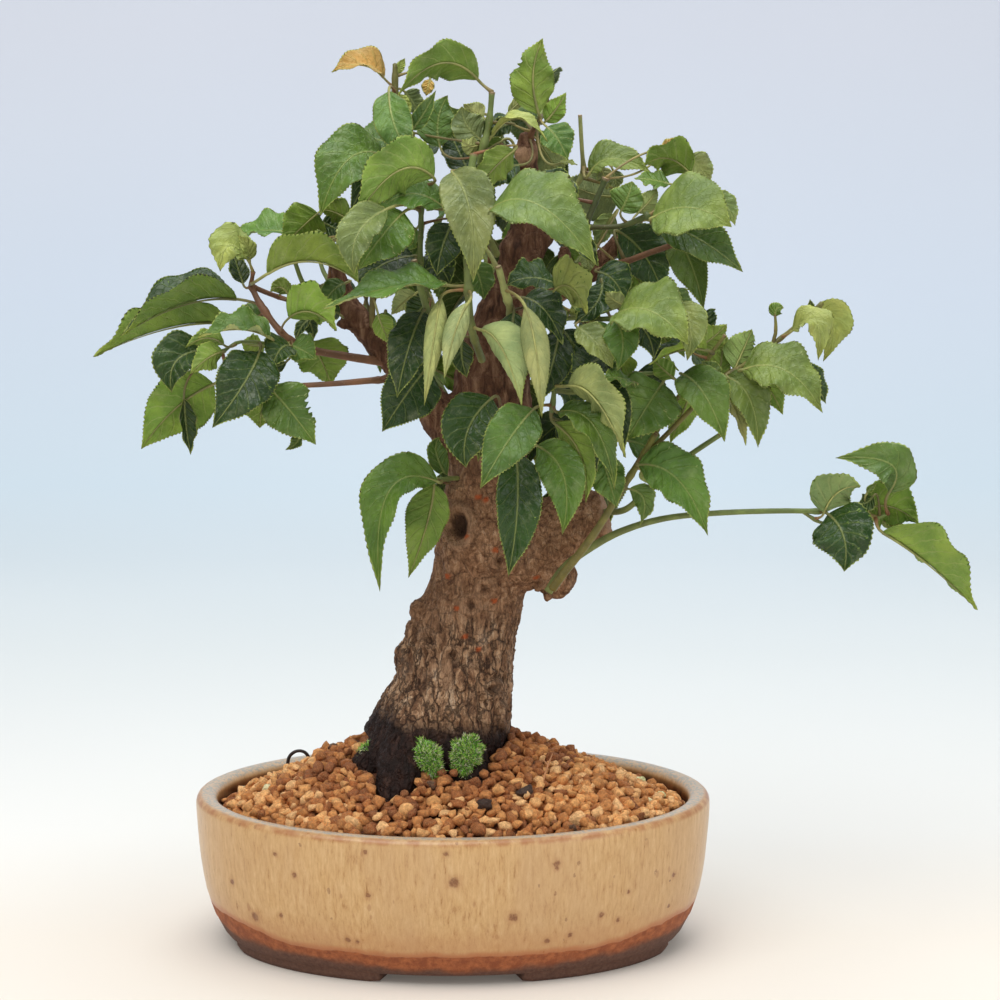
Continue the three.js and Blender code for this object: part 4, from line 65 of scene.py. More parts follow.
# Stem lines [x, y, z, radius], wood lines, and leaves
# [shoot, stalk start, blade base, blade middle, tip, upper side, width, fold, tone].
SHOOTS = {
    "left_outer": [[[-33.3,-12,297.1,2.6],[-52,-20,301,2.3],[-71.1,-27,305.8,2],[-81.5,-30,313,1.9],[-91.9,-26,325.8,1.8],[-97.4,-22,335.6,1.6]],[[-97.4,-22,335.6,1.5],[-88.5,-18,331.3,1.4],[-78.7,-12,327.2,1.3]],[[-97.4,-22,335.6,1.2],[-96.1,-25,342.7,1]]],
    "left_side": [[[-73.6,-27,303.9,1.6],[-80.4,-34,306.7,1.5],[-88.3,-38,309.1,1.3],[-101.7,-40,310.3,1.1],[-110.2,-42,305.7,0.9]]],
    "left_lower": [[[-23.3,-16,288.7,2],[-35.3,-36,291.3,1.9],[-58.3,-42,290.2,1.6],[-88,-46,289.2,1.3]]],
    "left_upper": [[[-50.6,-4,323.9,2],[-62.1,-10,327.5,1.9],[-71.1,-14,333.8,1.7],[-76.1,-18,346.9,1.4],[-77.4,-20,354.9,1.1]]],
    "top_left": [[[-38.6,-12,312.9,2.2],[-38.1,-22,328.8,2],[-32.7,-32,354,1.9],[-28.5,-36,383.2,1.8],[-26.5,-36,407.1,1.7],[-26.4,-34,429.8,1.6],[-26.4,-32,443,1.6]],[[-28.5,-36,383.2,1.2],[-20.2,-40,397.8,1.1],[-17.2,-42,411.2,1]]],
    "front_left": [[[-2.5,-28,310.8,2],[-8.9,-44,326.3,1.9],[-13.8,-54,346.5,1.8],[-13.6,-58,370.6,1.6],[-13.1,-58,386.7,1.4]]],
    "cut_left": [[[-6.2,-34,304.7,2.4],[-9,-60,321.8,2.3],[-13.6,-66,338.2,2.2],[-16.7,-70,352.8,2.1]]],
    "front_mid": [[[15.1,-46,302.3,2.6],[10.5,-64,318.9,2.5],[8.7,-70,338.6,2.4],[8.2,-66,361.8,2.3],[8.7,-58,384.8,2.3],[11.5,-54,401.5,2.3]]],
    "top_cut": [[[22.3,-20,350.5,2.4],[16.1,-36,366.4,2.3],[13.8,-44,383.8,2.2],[15.2,-48,400.7,2.1],[18.6,-48,416.3,1.9],[20,-48,430.4,1.8]]],
    "cut_mid": [[[26.2,-38,310.1,2.4],[28.6,-60,326.6,2.3],[25.7,-66,339.1,2.2],[22.9,-70,349.9,2.1]],[[22.4,-69,348.9,1.6],[19.1,-66,354.8,1.5],[16.2,-64,358.4,1.4]]],
    "leader": [[[37.5,-3,406.2,1.6],[41.3,-8,412.3,1.4],[43.7,-12,417.4,1.2]]],
    "upper_right_b": [[[47.9,-2,360.2,2.2],[53.4,4,369.5,2],[59.8,8,379.6,1.9],[66.2,6,390,1.9]],[[65.2,6,389.1,1.6],[64.1,4,400,1.4],[63,2,417.2,1.4]]],
    "upper_right_d": [[[70.3,-12,346.4,2.2],[66.5,-24,356.2,2.1],[65.3,-32,365.1,2],[69.5,-32,376.7,1.9],[74.8,-32,388.7,1.8]],[[65.3,-32,365.1,1.7],[81.4,-40,366.3,1.6],[94.5,-46,371.6,1.5]]],
    "upper_right_e": [[[72.7,-14,343.6,2],[83,-24,347,1.9],[97.2,-32,353.1,1.7],[112.6,-40,359.1,1.6]]],
    "right_inner": [[[40.9,-22,322.9,2],[50.7,-46,327.5,1.9],[66.6,-60,324.2,1.6],[80.7,-64,324.7,1.4],[97.5,-60,327.1,1.1],[114.5,-54,325.5,0.9]]],
    "centre": [[[33.5,-30,305.2,2],[42.9,-56,307.4,1.8],[49,-68,293.1,1.6],[48.5,-68,280.2,1.4]]],
    "low_centre": [[[17,-42,283.3,2],[23.8,-58,274.9,1.8],[31.5,-62,263.9,1.5],[38.1,-64,266.1,1.2]]],
    "right_mid": [[[39.4,-32,289.8,2],[57.4,-50,287.4,1.8],[76.4,-56,292,1.5],[90.8,-54,296.6,1.2],[107.2,-52,296.3,1]]],
    "right_olive": [[[49.8,-34,188.2,3],[56,-42,198.7,2.9],[62.7,-46,207.9,2.7],[71.2,-52,221.3,2.5],[80.2,-55,237,2.3],[91.1,-56,255.2,2.1],[98.6,-56,268.3,2]],[[91.5,-56,255.7,1.7],[103,-55,266.7,1.7],[118.4,-53,282.4,1.6],[128.4,-52,292.5,1.5],[139.5,-50,299.5,1.5],[152.7,-46,308.1,1.4],[166.2,-43,318.4,1.4],[178.7,-42,329.4,1.4]],[[96.8,-56,264.9,1.5],[104.4,-54,278.2,1.5],[111.1,-53,288.2,1.3],[114.9,-52,295.4,1.2]],[[120.7,-53,284.9,1.2],[121.5,-54,300.4,1.2],[131.3,-55,315.5,1.2]],[[154.6,-46,309.6,1],[156.5,-45,316.7,0.9],[156,-44,323.9,0.8]]],
    "right_cut": [[[75.3,-14,222.5,2.2],[84.4,-34,227,2.2],[92.9,-40,235,1.9],[111.8,-46,253.2,1.8],[130.3,-50,266.9,1.7]]],
    "far_right": [[[47.4,-32,185.8,3],[55.2,-32,197.8,2.8],[67.9,-34,208.1,2.6],[83.3,-38,217.3,2.4],[103.6,-42,224.2,2.1],[129,-46,227.6,1.9],[158.9,-48,229,1.8],[179.6,-50,229.1,1.7]],[[170.5,-49,228.6,1.1],[174.8,-50,225.9,1.1],[180.6,-50,223.4,1],[191.2,-46,224.2,0.9],[203.3,-46,224.2,0.9],[212,-46,227.1,0.8]]],
    "low_left": [[[3.1,-16,239.9,1.6],[-2.7,-24,240.7,1.5],[-8.5,-29,240.1,1.1]]],
    "back_low": [[[15.8,0,241.4,2.1],[14.7,11.5,245.8,1.9],[12.4,22.9,250.2,1.7],[10.4,34.3,254.6,1.5],[7.8,45.3,259.6,1.3],[5.2,55.9,265.6,1.1]]],
    "back_mid": [[[19.8,0,276.6,2.1],[23.6,10.1,281.8,1.9],[28,19.9,287.2,1.7],[31.9,29.6,293,1.5],[36.6,38.9,299.1,1.3],[39.9,48.6,305.3,1.1]]],
    "back_right_low": [[[53.7,-4,216.8,2.1],[58,5.5,221.9,1.9],[63,13.7,228.4,1.7],[67.1,22,235.4,1.5],[68.2,30,243.7,1.3],[71,37.6,252,1.1]]],
    "back_left": [[[-5.9,-6,269.9,2.1],[-12.8,3.7,274.6,1.9],[-19,13.7,279.8,1.7],[-22.4,24,286.5,1.5],[-27.8,32.5,294.4,1.3],[-33.8,40.6,302.3,1.1]]],
    "back_left_limb": [[[-32.9,-8,301.5,2.1],[-35.1,2.9,304.9,1.9],[-37.8,13.8,307.5,1.7],[-39.7,24.9,310.6,1.5],[-42.2,35.7,314.1,1.3],[-44.9,46,318.5,1.1]]],
    "back_left_tip": [[[-52.5,-6,325.6,2.1],[-56.4,1.4,329.5,1.9],[-60.4,8.2,334.1,1.7],[-64.1,15,339,1.5],[-66.6,21.2,345.4,1.3],[-69.2,26.7,352.3,1.1]]],
    "back_upper": [[[27.7,-3,326.7,2.1],[24.7,7.1,333.3,1.9],[19.7,15.8,340.6,1.7],[14.3,23.5,348.6,1.5],[8.5,30.5,357,1.3],[1.3,37.6,364.3,1.1]]],
    "back_leader": [[[34.6,-3,351.4,2.1],[35.4,7.9,355.4,1.9],[35.4,18.7,359.6,1.7],[35.6,29.3,364.2,1.5],[35.6,39.1,370.5,1.3],[35.6,48.5,377.2,1.1]]],
    "back_crown": [[[37,-3,380.9,2.1],[33.6,5.3,385.3,1.9],[30.2,13.2,390.4,1.7],[26.9,20,396.9,1.5],[25.1,26.9,403.9,1.3],[23.9,33.2,411.6,1.1]]],
    "back_right": [[[49.3,-9,332.3,2.1],[54.8,0.6,338,1.9],[60.8,10.3,342.8,1.7],[66.5,19.5,348.9,1.5],[73.7,27.1,355.5,1.3],[80.3,35,362.4,1.1]]],
    "back_right_tip": [[[72.7,-12,345.4,2.1],[78.2,-4.9,347.5,1.9],[84.6,1.3,349.9,1.7],[89.8,8.1,353.1,1.5],[95.1,15,356.2,1.3],[99.5,22.3,359.6,1.1]]],
    "back_top": [[[37,-2,400.3,2.1],[38.6,5,403.8,1.9],[39.4,12.2,407.3,1.7],[41,18.3,412.2,1.5],[44.2,23.7,417.1,1.3],[47.3,29.4,421.8,1.1]]],
    "inner_left": [[[8.9,-3,262,2.1],[4.1,0.4,268.5,1.9],[-0.7,4.5,274.6,1.7],[-4.7,9.3,280.8,1.5],[-9.1,13.7,287,1.3],[-11.4,18.3,294.2,1.1]]],
    "inner_right": [[[38.6,-8,317.4,2.1],[48.5,-3.7,316.8,1.9],[58.6,-0.1,317.5,1.7],[68.5,4.1,318.4,1.5],[78.1,8.4,320.8,1.3],[87.4,13,323.8,1.1]]],
}
WOOD = [
    [[-10.5,0,96.8,36.5],[-3.5,0,116.1,33.3],[0.1,0,129,29.8],[3.2,0,144.5,27.7],[5.7,0,159.9,26.1],[10.8,-1,175.5,25.1],[14.3,-1,190.8,24],[16.3,-2,206.3,24.5],[15.3,-2,221.5,21],[16.3,-2,236.6,18.9],[18.3,-2,256.8,20.4],[19.3,-2,274.3,19.8],[19.8,-3,287,18.8],[21.8,-3,306.9,15.3],[26.8,-4,324.4,12.3],[31.7,-4,339.2,10.3],[34.6,-4,354,8.8],[36.6,-4,368.7,6.9],[37,-3,380.9,5.9],[37,-3,393.1,5.4],[37,-2,401.3,4.9],[36.5,-2,409.1,3.9]],
    [[19.8,-2,196.1,21],[33.8,-4,202.6,21],[47.7,-6,209.5,19.4],[58.6,-8,215.4,16.4],[68.5,-9,219.2,14.4],[76.4,-10,221.3,12.4]],
    [[12.9,-3,241.8,14.9],[3,-5,257.2,11.9],[-5.9,-7,270.5,9.9],[-14.7,-8,281.7,8.9],[-24,-9,293.7,8.4],[-32.8,-9,302.7,7.4],[-43.1,-8,314.4,6.4],[-51.5,-6,325.1,5.9],[-54.4,-6,334.5,4.4],[-56.3,-6,342.8,3.9],[-57.7,-6,353.6,3.4]],
    [[22.8,-4,309.5,11.8],[36.1,-8,321.3,8.4],[49.3,-10,331.4,6.9],[63,-11,339.4,5.9],[71.8,-12,343.4,5.4]],
    [[71.8,-12,343.4,5.4],[74.7,-12,349.3,4.4],[79.5,-13,353.3,4.2],[82.9,-13,357.7,3.9]],
    [[36.6,-4,347.6,6.9],[42.5,-3,353.4,5.4],[47.9,-2,360.2,3.9]],
    [[35.5,-3,395.5,4.4],[35,-12,398,3.9]],
    [[-15.7,-8,283.7,4.9],[-23.4,-14,287.9,3]],
    [[-52,-6,325.6,3.9],[-59.7,-9,323.4,2.9],[-64.1,-10,320.6,2]],
    [[51.7,-8,191.1,12],[50.1,-18,186,8.4]],
    [[-44.1,-8,316.4,3.9],[-52.3,-12,315.4,2.5],[-55.7,-13,317,2.5]],
    [[57.2,-8,332.2,4.9],[56.2,-6,342.8,3.4],[55.2,-4,353.5,2.9]],
]
LEAVES = [
    [0,-90.6,-26.5,324.2,-110.2,-6,315.7,-141.7,-2,312.2,-178.4,4,297.6,-0.19,0.38,0.91,36.1,40,1],
    [0,-92.4,-25.6,326.7,-104.5,-20,329,-130.7,-26,326.7,-160.2,-30,312.1,-0.27,-0.13,0.95,38.6,48,0],
    [0,-96.1,-25,342.7,-98.9,-26,349.1,-107.6,-30,355.8,-111.3,-34,343.6,0.14,-0.71,0.69,23.4,20,6],
    [0,-96.1,-25,342.7,-97.3,-28,348.8,-98.3,-32,355.5,-102.9,-34,361.5,0.65,-0.76,-0.07,9.5,25,6],
    [0,-97.4,-22,335.6,-101.9,-14,335.8,-104.6,-10,343.2,-107.7,-6,351.7,0.31,-0.8,0.52,10.8,15,0],
    [0,-97.2,-22.4,336.6,-87.9,-44.2,343.6,-63.1,-50.5,350,-38.2,-53.5,335.9,0.22,0.45,0.86,30.6,38,1],
    [0,-82.2,-29.8,313.8,-77.6,-44,322.4,-66.1,-52,326.2,-54.1,-54,317.3,0.42,0.71,0.57,30.6,30,1],
    [0,-84.4,-15.5,329.6,-79.4,-22,331.7,-83.3,-22,335.1,-88.2,-22,332.7,0.04,0.92,0.4,11,10,1],
    [0,-89.3,-27,322.6,-92.4,-20,317.8,-98.5,-16,321.2,-105.1,-14,316.1,-0.37,-0.57,0.73,12.7,15,1],
    [0,-78.3,-29.1,310.8,-77.6,-39.6,308.3,-82,-46.1,307.2,-85.6,-50.2,299,0.15,-0.71,0.68,18.2,15,0],
    [0,-77.5,-28.8,310.3,-77.3,-36.4,308,-71.7,-40.7,306.5,-64.4,-43.4,302.5,-0.1,-0.72,0.68,18,15,1],
    [0,-74.3,-27.9,308.1,-80.2,-30,299.4,-86.1,-30,297.4,-92,-28,301.1,0,-0.65,0.76,10.2,15,0],
    [0,-67.3,-25.6,304.9,-69.2,-18,307.7,-63.7,-12,297.1,-59.7,-6,284.9,0.01,0.88,0.47,28,12,1],
    [1,-88.3,-38,309.1,-86.3,-45.7,312.9,-101.7,-50,317.8,-121.1,-53.8,313.9,0.11,-0.38,0.92,23,35,1],
    [1,-86.5,-37.1,308.6,-90.8,-30,307.7,-96.8,-28,307.4,-102.6,-28,309.4,0.21,0.91,0.36,12.7,10,1],
    [1,-92.4,-38.6,309.5,-91.5,-48,306.9,-98.7,-62,292.3,-113.4,-66,272.2,0.09,-0.91,0.41,30.2,14,0],
    [1,-110.2,-42,305.7,-118.6,-35.1,305.8,-132.4,-43.2,301,-134.3,-45.4,286.2,-0.05,-0.87,0.5,25.2,25,0],
    [1,-110.2,-42,305.7,-109.1,-50,306.7,-115.7,-56,304.6,-124.3,-58,297.1,-0.45,0.89,-0.03,15.4,20,1],
    [1,-103.6,-40.4,309.3,-109,-44.6,309.4,-117.8,-42.6,312.6,-128.1,-41.1,307.6,0.12,0.9,0.43,10.2,20,1],
    [1,-110.2,-42,305.7,-115.1,-32.9,289,-134.2,-28.8,276.6,-152.1,-25.1,255.8,-0.03,0.96,0.26,32.7,15,1],
    [1,-110.2,-42,305.7,-130,-31.6,281.9,-129.3,-30.8,267,-127.1,-30.8,253.7,0.6,-0.8,0.04,11,30,0],
    [2,-81.8,-45.2,289.4,-86.7,-50,288.8,-76.5,-54,278.2,-64.5,-56,262.5,0.08,-0.96,0.28,27.2,15,1],
    [2,-74.7,-44.2,289.7,-74.4,-44,268,-74.1,-42,262.3,-80.4,-42,257.9,-0.54,-0.83,0.16,8,20,1],
    [2,-84.9,-45.6,289.3,-88.4,-40,287.5,-91.9,-34,277.3,-93.3,-30,266.9,-0.15,0.87,0.46,21,10,1],
    [2,-35.3,-36,291.3,-10.7,-52,300.2,-21.1,-60,287.3,-32.6,-62,269.7,0.25,-0.96,0.14,29.6,16,0],
    [3,-77.4,-20,354.9,-79.1,-14,360.7,-92.6,-10,361.3,-108.3,-4,357.9,-0.21,-0.37,0.9,26.2,25,1],
    [3,-77.4,-20,354.9,-64.1,-28.2,371.6,-71.5,-26.8,365.2,-83,-23.4,353.7,-0.11,0.93,0.36,23.8,12,1],
    [3,-77.4,-20,354.9,-48.3,-16.5,366.3,-56.6,-14.6,371,-64,-12.6,371.8,0.37,0.79,0.49,18,15,1],
    [3,-77.4,-20,354.9,-63.1,-11.4,365.9,-57.5,-7.4,362.6,-52.7,-5.5,360.5,0.6,-0.7,0.4,18,10,0],
    [3,-77,-19.5,352.9,-64.8,-18,355.2,-69.6,-19.7,352.9,-72,-22.2,347.3,-0.58,0.81,0.1,10.2,15,6],
    [3,-77.4,-20,354.9,-57.3,-30.7,358.8,-64,-31.9,355,-68.8,-33.3,350.3,-0.09,-0.91,0.4,16.8,15,1],
    [3,-65.4,-11.5,329.8,-68.5,-20.2,319.7,-73.3,-22.1,315.1,-75.7,-24.1,308.4,-0.3,-0.83,0.48,6.6,15,0],
    [3,-65.4,-11.5,329.8,-70.1,-17.8,319.5,-68.2,-17.9,314.6,-67.2,-17.9,309.2,-0.25,-0.97,-0.06,8,15,0],
    [3,-65.4,-11.5,329.8,-51.1,-32,338.1,-57.3,-36,334.1,-62,-38,326.6,0.02,-0.89,0.45,12,15,1],
    [3,-68.7,-12.9,332.1,-62.9,-20.8,335.5,-66.5,-19,331.9,-69,-17,328.2,-0.53,-0.85,0,10.2,10,0],
    [3,-62.1,-10,327.5,-53.8,-30,322.3,-58.4,-34,324.2,-62.3,-34,319.3,0.2,-0.82,0.54,11,12,0],
    [4,-27.1,-36,399.8,-31.3,-50.2,400.4,-48.3,-61.3,398.7,-61.1,-65.1,372.6,-0.12,-0.82,0.57,32.7,14,1],
    [4,-19.3,-40.6,402,-25.5,-37.2,403.8,-39.2,-40.8,408.3,-53.5,-41.2,407.4,0.18,-0.52,0.84,21.3,10,1],
    [4,-27.4,-36,396.7,-24.1,-35.2,402.8,-37.4,-39.5,392.1,-48,-41.6,371.7,-0.12,-0.95,0.29,18.2,12,0],
    [4,-26.4,-33.7,431.9,-31.6,-34,436.5,-41.9,-38,442.8,-56.6,-40,439.5,0.23,-0.52,0.82,20.9,30,5],
    [4,-26.4,-34,429.8,-28.7,-49.8,431,-25.5,-65.7,415.3,-16,-69.6,398.3,-0.13,-0.87,0.48,18.9,12,1],
    [4,-26.4,-33.1,435.9,-25.5,-32.9,428.8,-22.2,-33,423.1,-19.3,-33.2,417.4,0.27,0.96,0.12,8,20,6],
    [4,-26.4,-33.8,430.9,-21.9,-26,429.5,-18.1,-22,424.1,-15.3,-20,418.7,0.68,-0.73,0,12.7,10,3],
    [4,-26.4,-32.9,437,-9.9,-20,435.5,-10.9,-22,431.3,-11.9,-22,427.4,-0.11,-0.96,0.26,6.6,10,5],
    [4,-26.4,-33.4,433.9,-25.6,-28,438.2,-23.7,-28,442,-21.7,-28,445.8,-0.14,-0.99,0.07,5.1,20,6],
    [4,-37.9,-22.4,329.7,-35.1,-36,323.5,-32.6,-40,317.1,-28.7,-42,309.1,0.31,0.92,-0.24,11.4,12,1],
    [4,-18.1,-41.4,407.1,-18,-46,412.4,-12.2,-48,420.5,-6.5,-48,431.4,-0.34,-0.93,0.11,9.5,20,1],
    [5,-13.1,-58,386.7,-7.3,-64.3,390.9,-24.8,-75.6,394.5,-45.3,-79.6,370.1,-0.48,0.84,0.25,30.4,14,1],
    [5,-13.4,-58,377.7,-3.1,-61.8,377.1,-18.6,-65.7,383.5,-33.7,-64.2,374.9,0,-0.65,0.76,23,12,1],
    [5,-13.4,-58,376.7,-29.1,-75.3,377.2,-42.7,-88,365.6,-43.6,-91.2,347.3,-0.05,-0.87,0.49,22.2,30,3],
    [5,-13.5,-58,374.6,-21.4,-68.5,375.2,-31.5,-76.4,364.6,-42.6,-81.5,349.2,0.06,-0.91,0.4,28.8,14,1],
    [5,-13.6,-57.7,368.6,1,-56,368.6,-3.6,-62,357.7,-6,-66,344.8,0.27,-0.91,0.31,19.6,20,0],
    [5,-13.7,-56.5,361.6,-16.1,-36,365,-20.5,-34,359,-24.5,-32,354,-0.53,-0.84,0.09,12.7,12,1],
    [5,-13.8,-54.8,351.5,-17.3,-46.5,352.5,-31.3,-56.8,349.6,-43.5,-63.1,340.3,0.1,-0.69,0.71,35.7,12,0],
    [5,-13.8,-54.5,349.5,-14.4,-50,343.7,-5.7,-54,347.5,0,-58,339.7,-0.18,-0.68,0.71,21.3,10,0],
    [5,-11.9,-50.1,338.6,-14.9,-30,348.1,-22.2,-26,353.5,-27.2,-22,361.9,0.57,0.82,0.03,18,12,0],
    [6,-10,-61.3,325.5,-12.6,-67.2,328.3,-19.4,-80.9,311.4,-24.6,-85.6,289.3,-0.1,-0.89,0.45,23,18,0],
    [6,-7,-40.7,309.1,-17,-24,332.4,-23.5,-22,327.3,-29.4,-20,321.2,0.03,0.95,0.31,11.7,25,4],
    [6,-10.5,-62,327.3,-10.6,-50.5,331.8,-15.5,-49.3,325.9,-22.1,-51.2,319.9,-0.26,-0.92,0.3,15.4,10,0],
    [7,9.8,-56.4,391.7,1.1,-58.2,393.3,9.7,-74.4,375.7,11.2,-81.9,343.1,-0.02,-0.91,0.42,28.8,26,3],
    [7,8.7,-69.7,340.6,-1.6,-75.5,341.5,-25.2,-87.3,341.8,-59,-93,332.1,-0.05,-0.35,0.93,28.9,22,1],
    [7,8.7,-70,338.6,-3.9,-80.6,335.9,-6.9,-93.1,318.6,-11.6,-97.1,286.7,-0.02,0.95,-0.31,23.8,66,4],
    [7,8.7,-70,338.6,9.3,-83.8,334.4,2.9,-96.1,321.7,-2.2,-99.6,299.7,-0.14,0.92,-0.37,23.8,64,4],
    [7,10.3,-64.6,320.9,14.8,-71.2,319.8,25.2,-86,312.1,34.1,-94.3,286.8,0.64,0.75,-0.15,27.9,50,4],
    [7,11.5,-54,401.5,30.5,-48,403.1,21,-52,394.8,12.4,-54,384.5,-0.47,0.86,0.18,18,10,1],
    [7,8.4,-67.6,352.8,10.4,-50,349.9,14.2,-50,341.3,16.1,-50,331.7,0.36,-0.93,0.11,15.4,12,1],
    [7,11.9,-58.8,314.1,5.7,-62,313.9,5.7,-62,305.3,8.1,-60,295.4,0.22,-0.97,-0.08,12,14,0],
    [8,20,-48,430.4,13.4,-44,435.9,-4.4,-56,444.3,-24.6,-60,429.1,-0.41,0.77,0.5,22.4,16,1],
    [8,15.9,-48,403.8,20,-48,409.7,32.3,-56,418.6,46.5,-58,407.4,-0.01,-0.26,0.97,12.7,25,6],
    [8,18.6,-48,416.3,29.5,-40,414.9,23.8,-42,413.1,18.1,-42,407.5,-0.1,-0.91,0.4,10.2,15,0],
    [8,16.6,-48,406.9,14.7,-38.8,407.3,7.6,-39,414.9,5.7,-38.9,423.4,0.26,-0.96,0.14,18.2,12,3],
    [8,18.7,-48,417.3,16.1,-30,417.3,11.3,-28,420.1,6,-28,423.9,0.21,0.98,0.02,11.7,12,4],
    [8,15.1,-47.5,398.7,14.3,-46,405.8,9.5,-48,405,5.8,-48,408.3,-0.12,0.93,0.34,10.2,10,4],
    [8,15.2,-48,400.7,-4.8,-40.7,404.1,-5.8,-36.3,416.6,-1.1,-34.2,428.4,-0.04,-0.96,0.26,21,12,1],
    [8,16.4,-48,405.9,-16.4,-34.5,412.7,-9.7,-34.4,410.8,-3,-34.8,404.2,0.28,-0.84,0.47,11.7,12,1],
    [8,13.9,-44.5,385.8,9.4,-30,390,3.5,-24,401.6,-1.3,-20,412,0.2,-0.85,0.49,18.2,12,0],
    [8,13.9,-44.5,385.8,19.6,-78.7,377.4,42.2,-98.6,380.4,68.5,-104.3,353.2,0.04,-0.65,0.76,39.9,12,2],
    [9,26.9,-63.4,333.8,35.2,-65.7,334.4,45.5,-70,328.2,53.6,-71.3,312.6,0.44,-0.71,0.55,23,16,0],
    [9,25.9,-65.6,338.2,35.5,-82.2,332.3,40.5,-96.8,313.4,43.3,-101.8,281.7,0.08,0.93,-0.35,23.8,58,4],
    [9,26.9,-63.4,333.8,30.4,-63.3,327.4,30.4,-69.1,312.4,35.2,-69.2,294.7,-0.15,-0.98,0.16,18.2,14,0],
    [9,28.4,-60.4,327.5,50.6,-47.8,339.2,38.1,-53.1,342.6,26.7,-56.1,339.1,0.2,-0.57,0.8,23,12,0],
    [10,43.7,-12,417.4,42.6,-20,418.7,39.7,-22,437.5,44.5,-20,455.1,-0.13,0.99,0.01,23.7,20,1],
    [10,39.4,-5.5,409.3,27.7,-4,418.4,33.6,0,423.6,40.9,2,427.4,-0.53,0.82,0.23,6.6,10,4],
    [10,42.5,-10,414.8,45.6,-16,414.7,50.9,-16,420.9,55.8,-14,429,-0.24,0.97,0.04,11.4,12,1],
    [10,43.7,-12,417.4,46.4,-26,412.8,51.7,-30,406.8,56.5,-32,397.3,0.15,-0.88,0.44,18.2,12,1],
    [10,41.3,-8,412.3,42.2,-14,416,35.4,-16,419,27.7,-18,417.2,0.19,-0.43,0.89,11,10,1],
    [10,41.7,-8.7,413.2,52.8,-24,395.4,56.6,-24,395.9,61.5,-24,394.4,0.1,-0.45,0.89,5.8,10,6],
    [10,38,-3.6,407,41.9,1.8,405,47.9,5.7,395.9,56.4,9.2,383.9,0.01,0.94,0.33,18.2,10,4],
    [10,38,-3.6,407,33.5,-22,394.3,23.8,-26,391.2,18,-28,382.7,-0.08,-0.84,0.54,21.3,12,0],
    [11,64.9,5.5,392,67.7,-10,389.6,79.2,-14,396.7,98.6,-16,389.1,-0.1,-0.61,0.79,21.6,18,2],
    [11,64.1,6.7,386.5,82.2,12,376.8,68.5,16,378,54.6,20,385.2,0.31,0.94,0.12,29.2,10,4],
    [11,66.2,6,390,73,6,391,75.5,6,386.1,76.6,6,380.2,0.26,0.96,0.08,8.8,10,4],
    [11,66.2,6,390,79.2,0,390.4,80.3,0,385.5,80.8,0,380.6,0.31,-0.95,0.05,9.5,12,3],
    [12,66.2,-32.4,365.2,60.6,-44,363.8,65.4,-46,356.3,71.1,-48,347.4,-0.3,-0.95,0.04,10.8,18,0],
    [12,69.5,-32,376.7,41.5,-40,387.8,52.4,-46,384,61.1,-46,365.8,0.16,-0.91,0.39,18.2,12,0],
    [12,94.5,-46,371.6,115.9,-20,390.3,104.5,-22,397.7,92.9,-24,393.9,-0.02,0.73,0.69,25.5,12,1],
    [12,74.8,-32,388.7,103.4,-6,400.1,107.4,-4,403.4,112.3,-4,403.4,0.03,-0.89,0.46,6.6,10,5],
    [12,74.8,-32,388.7,115.2,-14,397.7,121.2,-12,392.2,126.8,-10,383.8,0.4,-0.91,0.07,15.4,12,3],
    [12,90.1,-44,369.8,96.3,-48,370.8,114.5,-62,376.6,133,-68,368.1,-0.3,-0.64,0.71,40.9,14,2],
    [12,91.8,-44.8,370.5,98.4,-44,368.5,119.2,-50,360.4,139.6,-54,345.5,0.06,-0.87,0.48,25.6,20,1],
    [12,94.5,-46,371.6,125.3,-40,380.7,132.1,-40,375.9,136.4,-42,366.5,0.2,-0.94,0.29,12,12,3],
    [12,94.5,-46,371.6,106.8,-30,364,116,-33,347.4,122.3,-35.6,325.4,-0.26,-0.97,0.04,19.8,20,1],
    [12,84.8,-41.6,367.7,81.6,-44,373.8,84.9,-46,381.1,86.8,-44,388.1,-0.3,-0.95,0.11,18.2,12,1],
    [12,94.5,-46,371.6,105.7,-30,385.7,97,-30,387.6,88.3,-30,388.6,0.13,-0.6,0.79,12.7,10,1],
    [12,87.5,-42.8,368.8,90.2,-34,372,96,-32,378.1,99.4,-30,383.8,-0.36,0.93,-0.03,10.2,12,3],
    [12,68.9,-16.5,350.1,79.7,-4,369.2,74.9,-2,361.2,71.6,2,351.9,-0.06,0.93,0.35,12,12,3],
    [13,84.7,-24.9,347.7,81.2,-19.3,362.1,94.6,-14.4,349.5,103.7,-22.3,329.8,0.06,-0.99,0.13,28.8,18,0],
    [13,77.1,-18.3,345.1,83,-13,343.5,90.4,-11.2,338.9,97.3,-12.8,326.8,0.3,0.92,0.26,21.3,12,1],
    [13,80.1,-21.1,346,71.2,-30.9,343.3,78.8,-34.8,339.3,84.1,-36.6,329.3,0.17,-0.85,0.5,21.3,12,0],
    [13,80.8,-21.9,346.3,64.7,-36,355.4,66.1,-38,348.8,67.1,-38,344,-0.21,-0.97,0.13,8,12,3],
    [14,59,-53.3,325.8,49.8,-66,338.2,57.6,-76,340.2,64.6,-80,327.9,0.75,0.6,0.26,30.6,14,2],
    [14,70.6,-61.1,324.3,72.4,-54.4,340.8,69.4,-60.1,330.9,58.5,-62.8,321.7,-0.18,-0.85,0.5,19.6,22,0],
    [14,80.7,-64,324.7,78.9,-74,327.7,94.6,-90,330.4,111.7,-96,315.6,-0.11,-0.6,0.79,38.6,14,2],
    [14,102.2,-58.3,326.6,107.7,-72,332.2,113,-80,322.7,111.5,-84,306.6,0,-0.9,0.43,17.5,14,3],
    [14,103.2,-58,326.5,103.3,-56,335.2,109.5,-58,332.1,115.2,-58,324,0.24,-0.88,0.41,12.7,12,1],
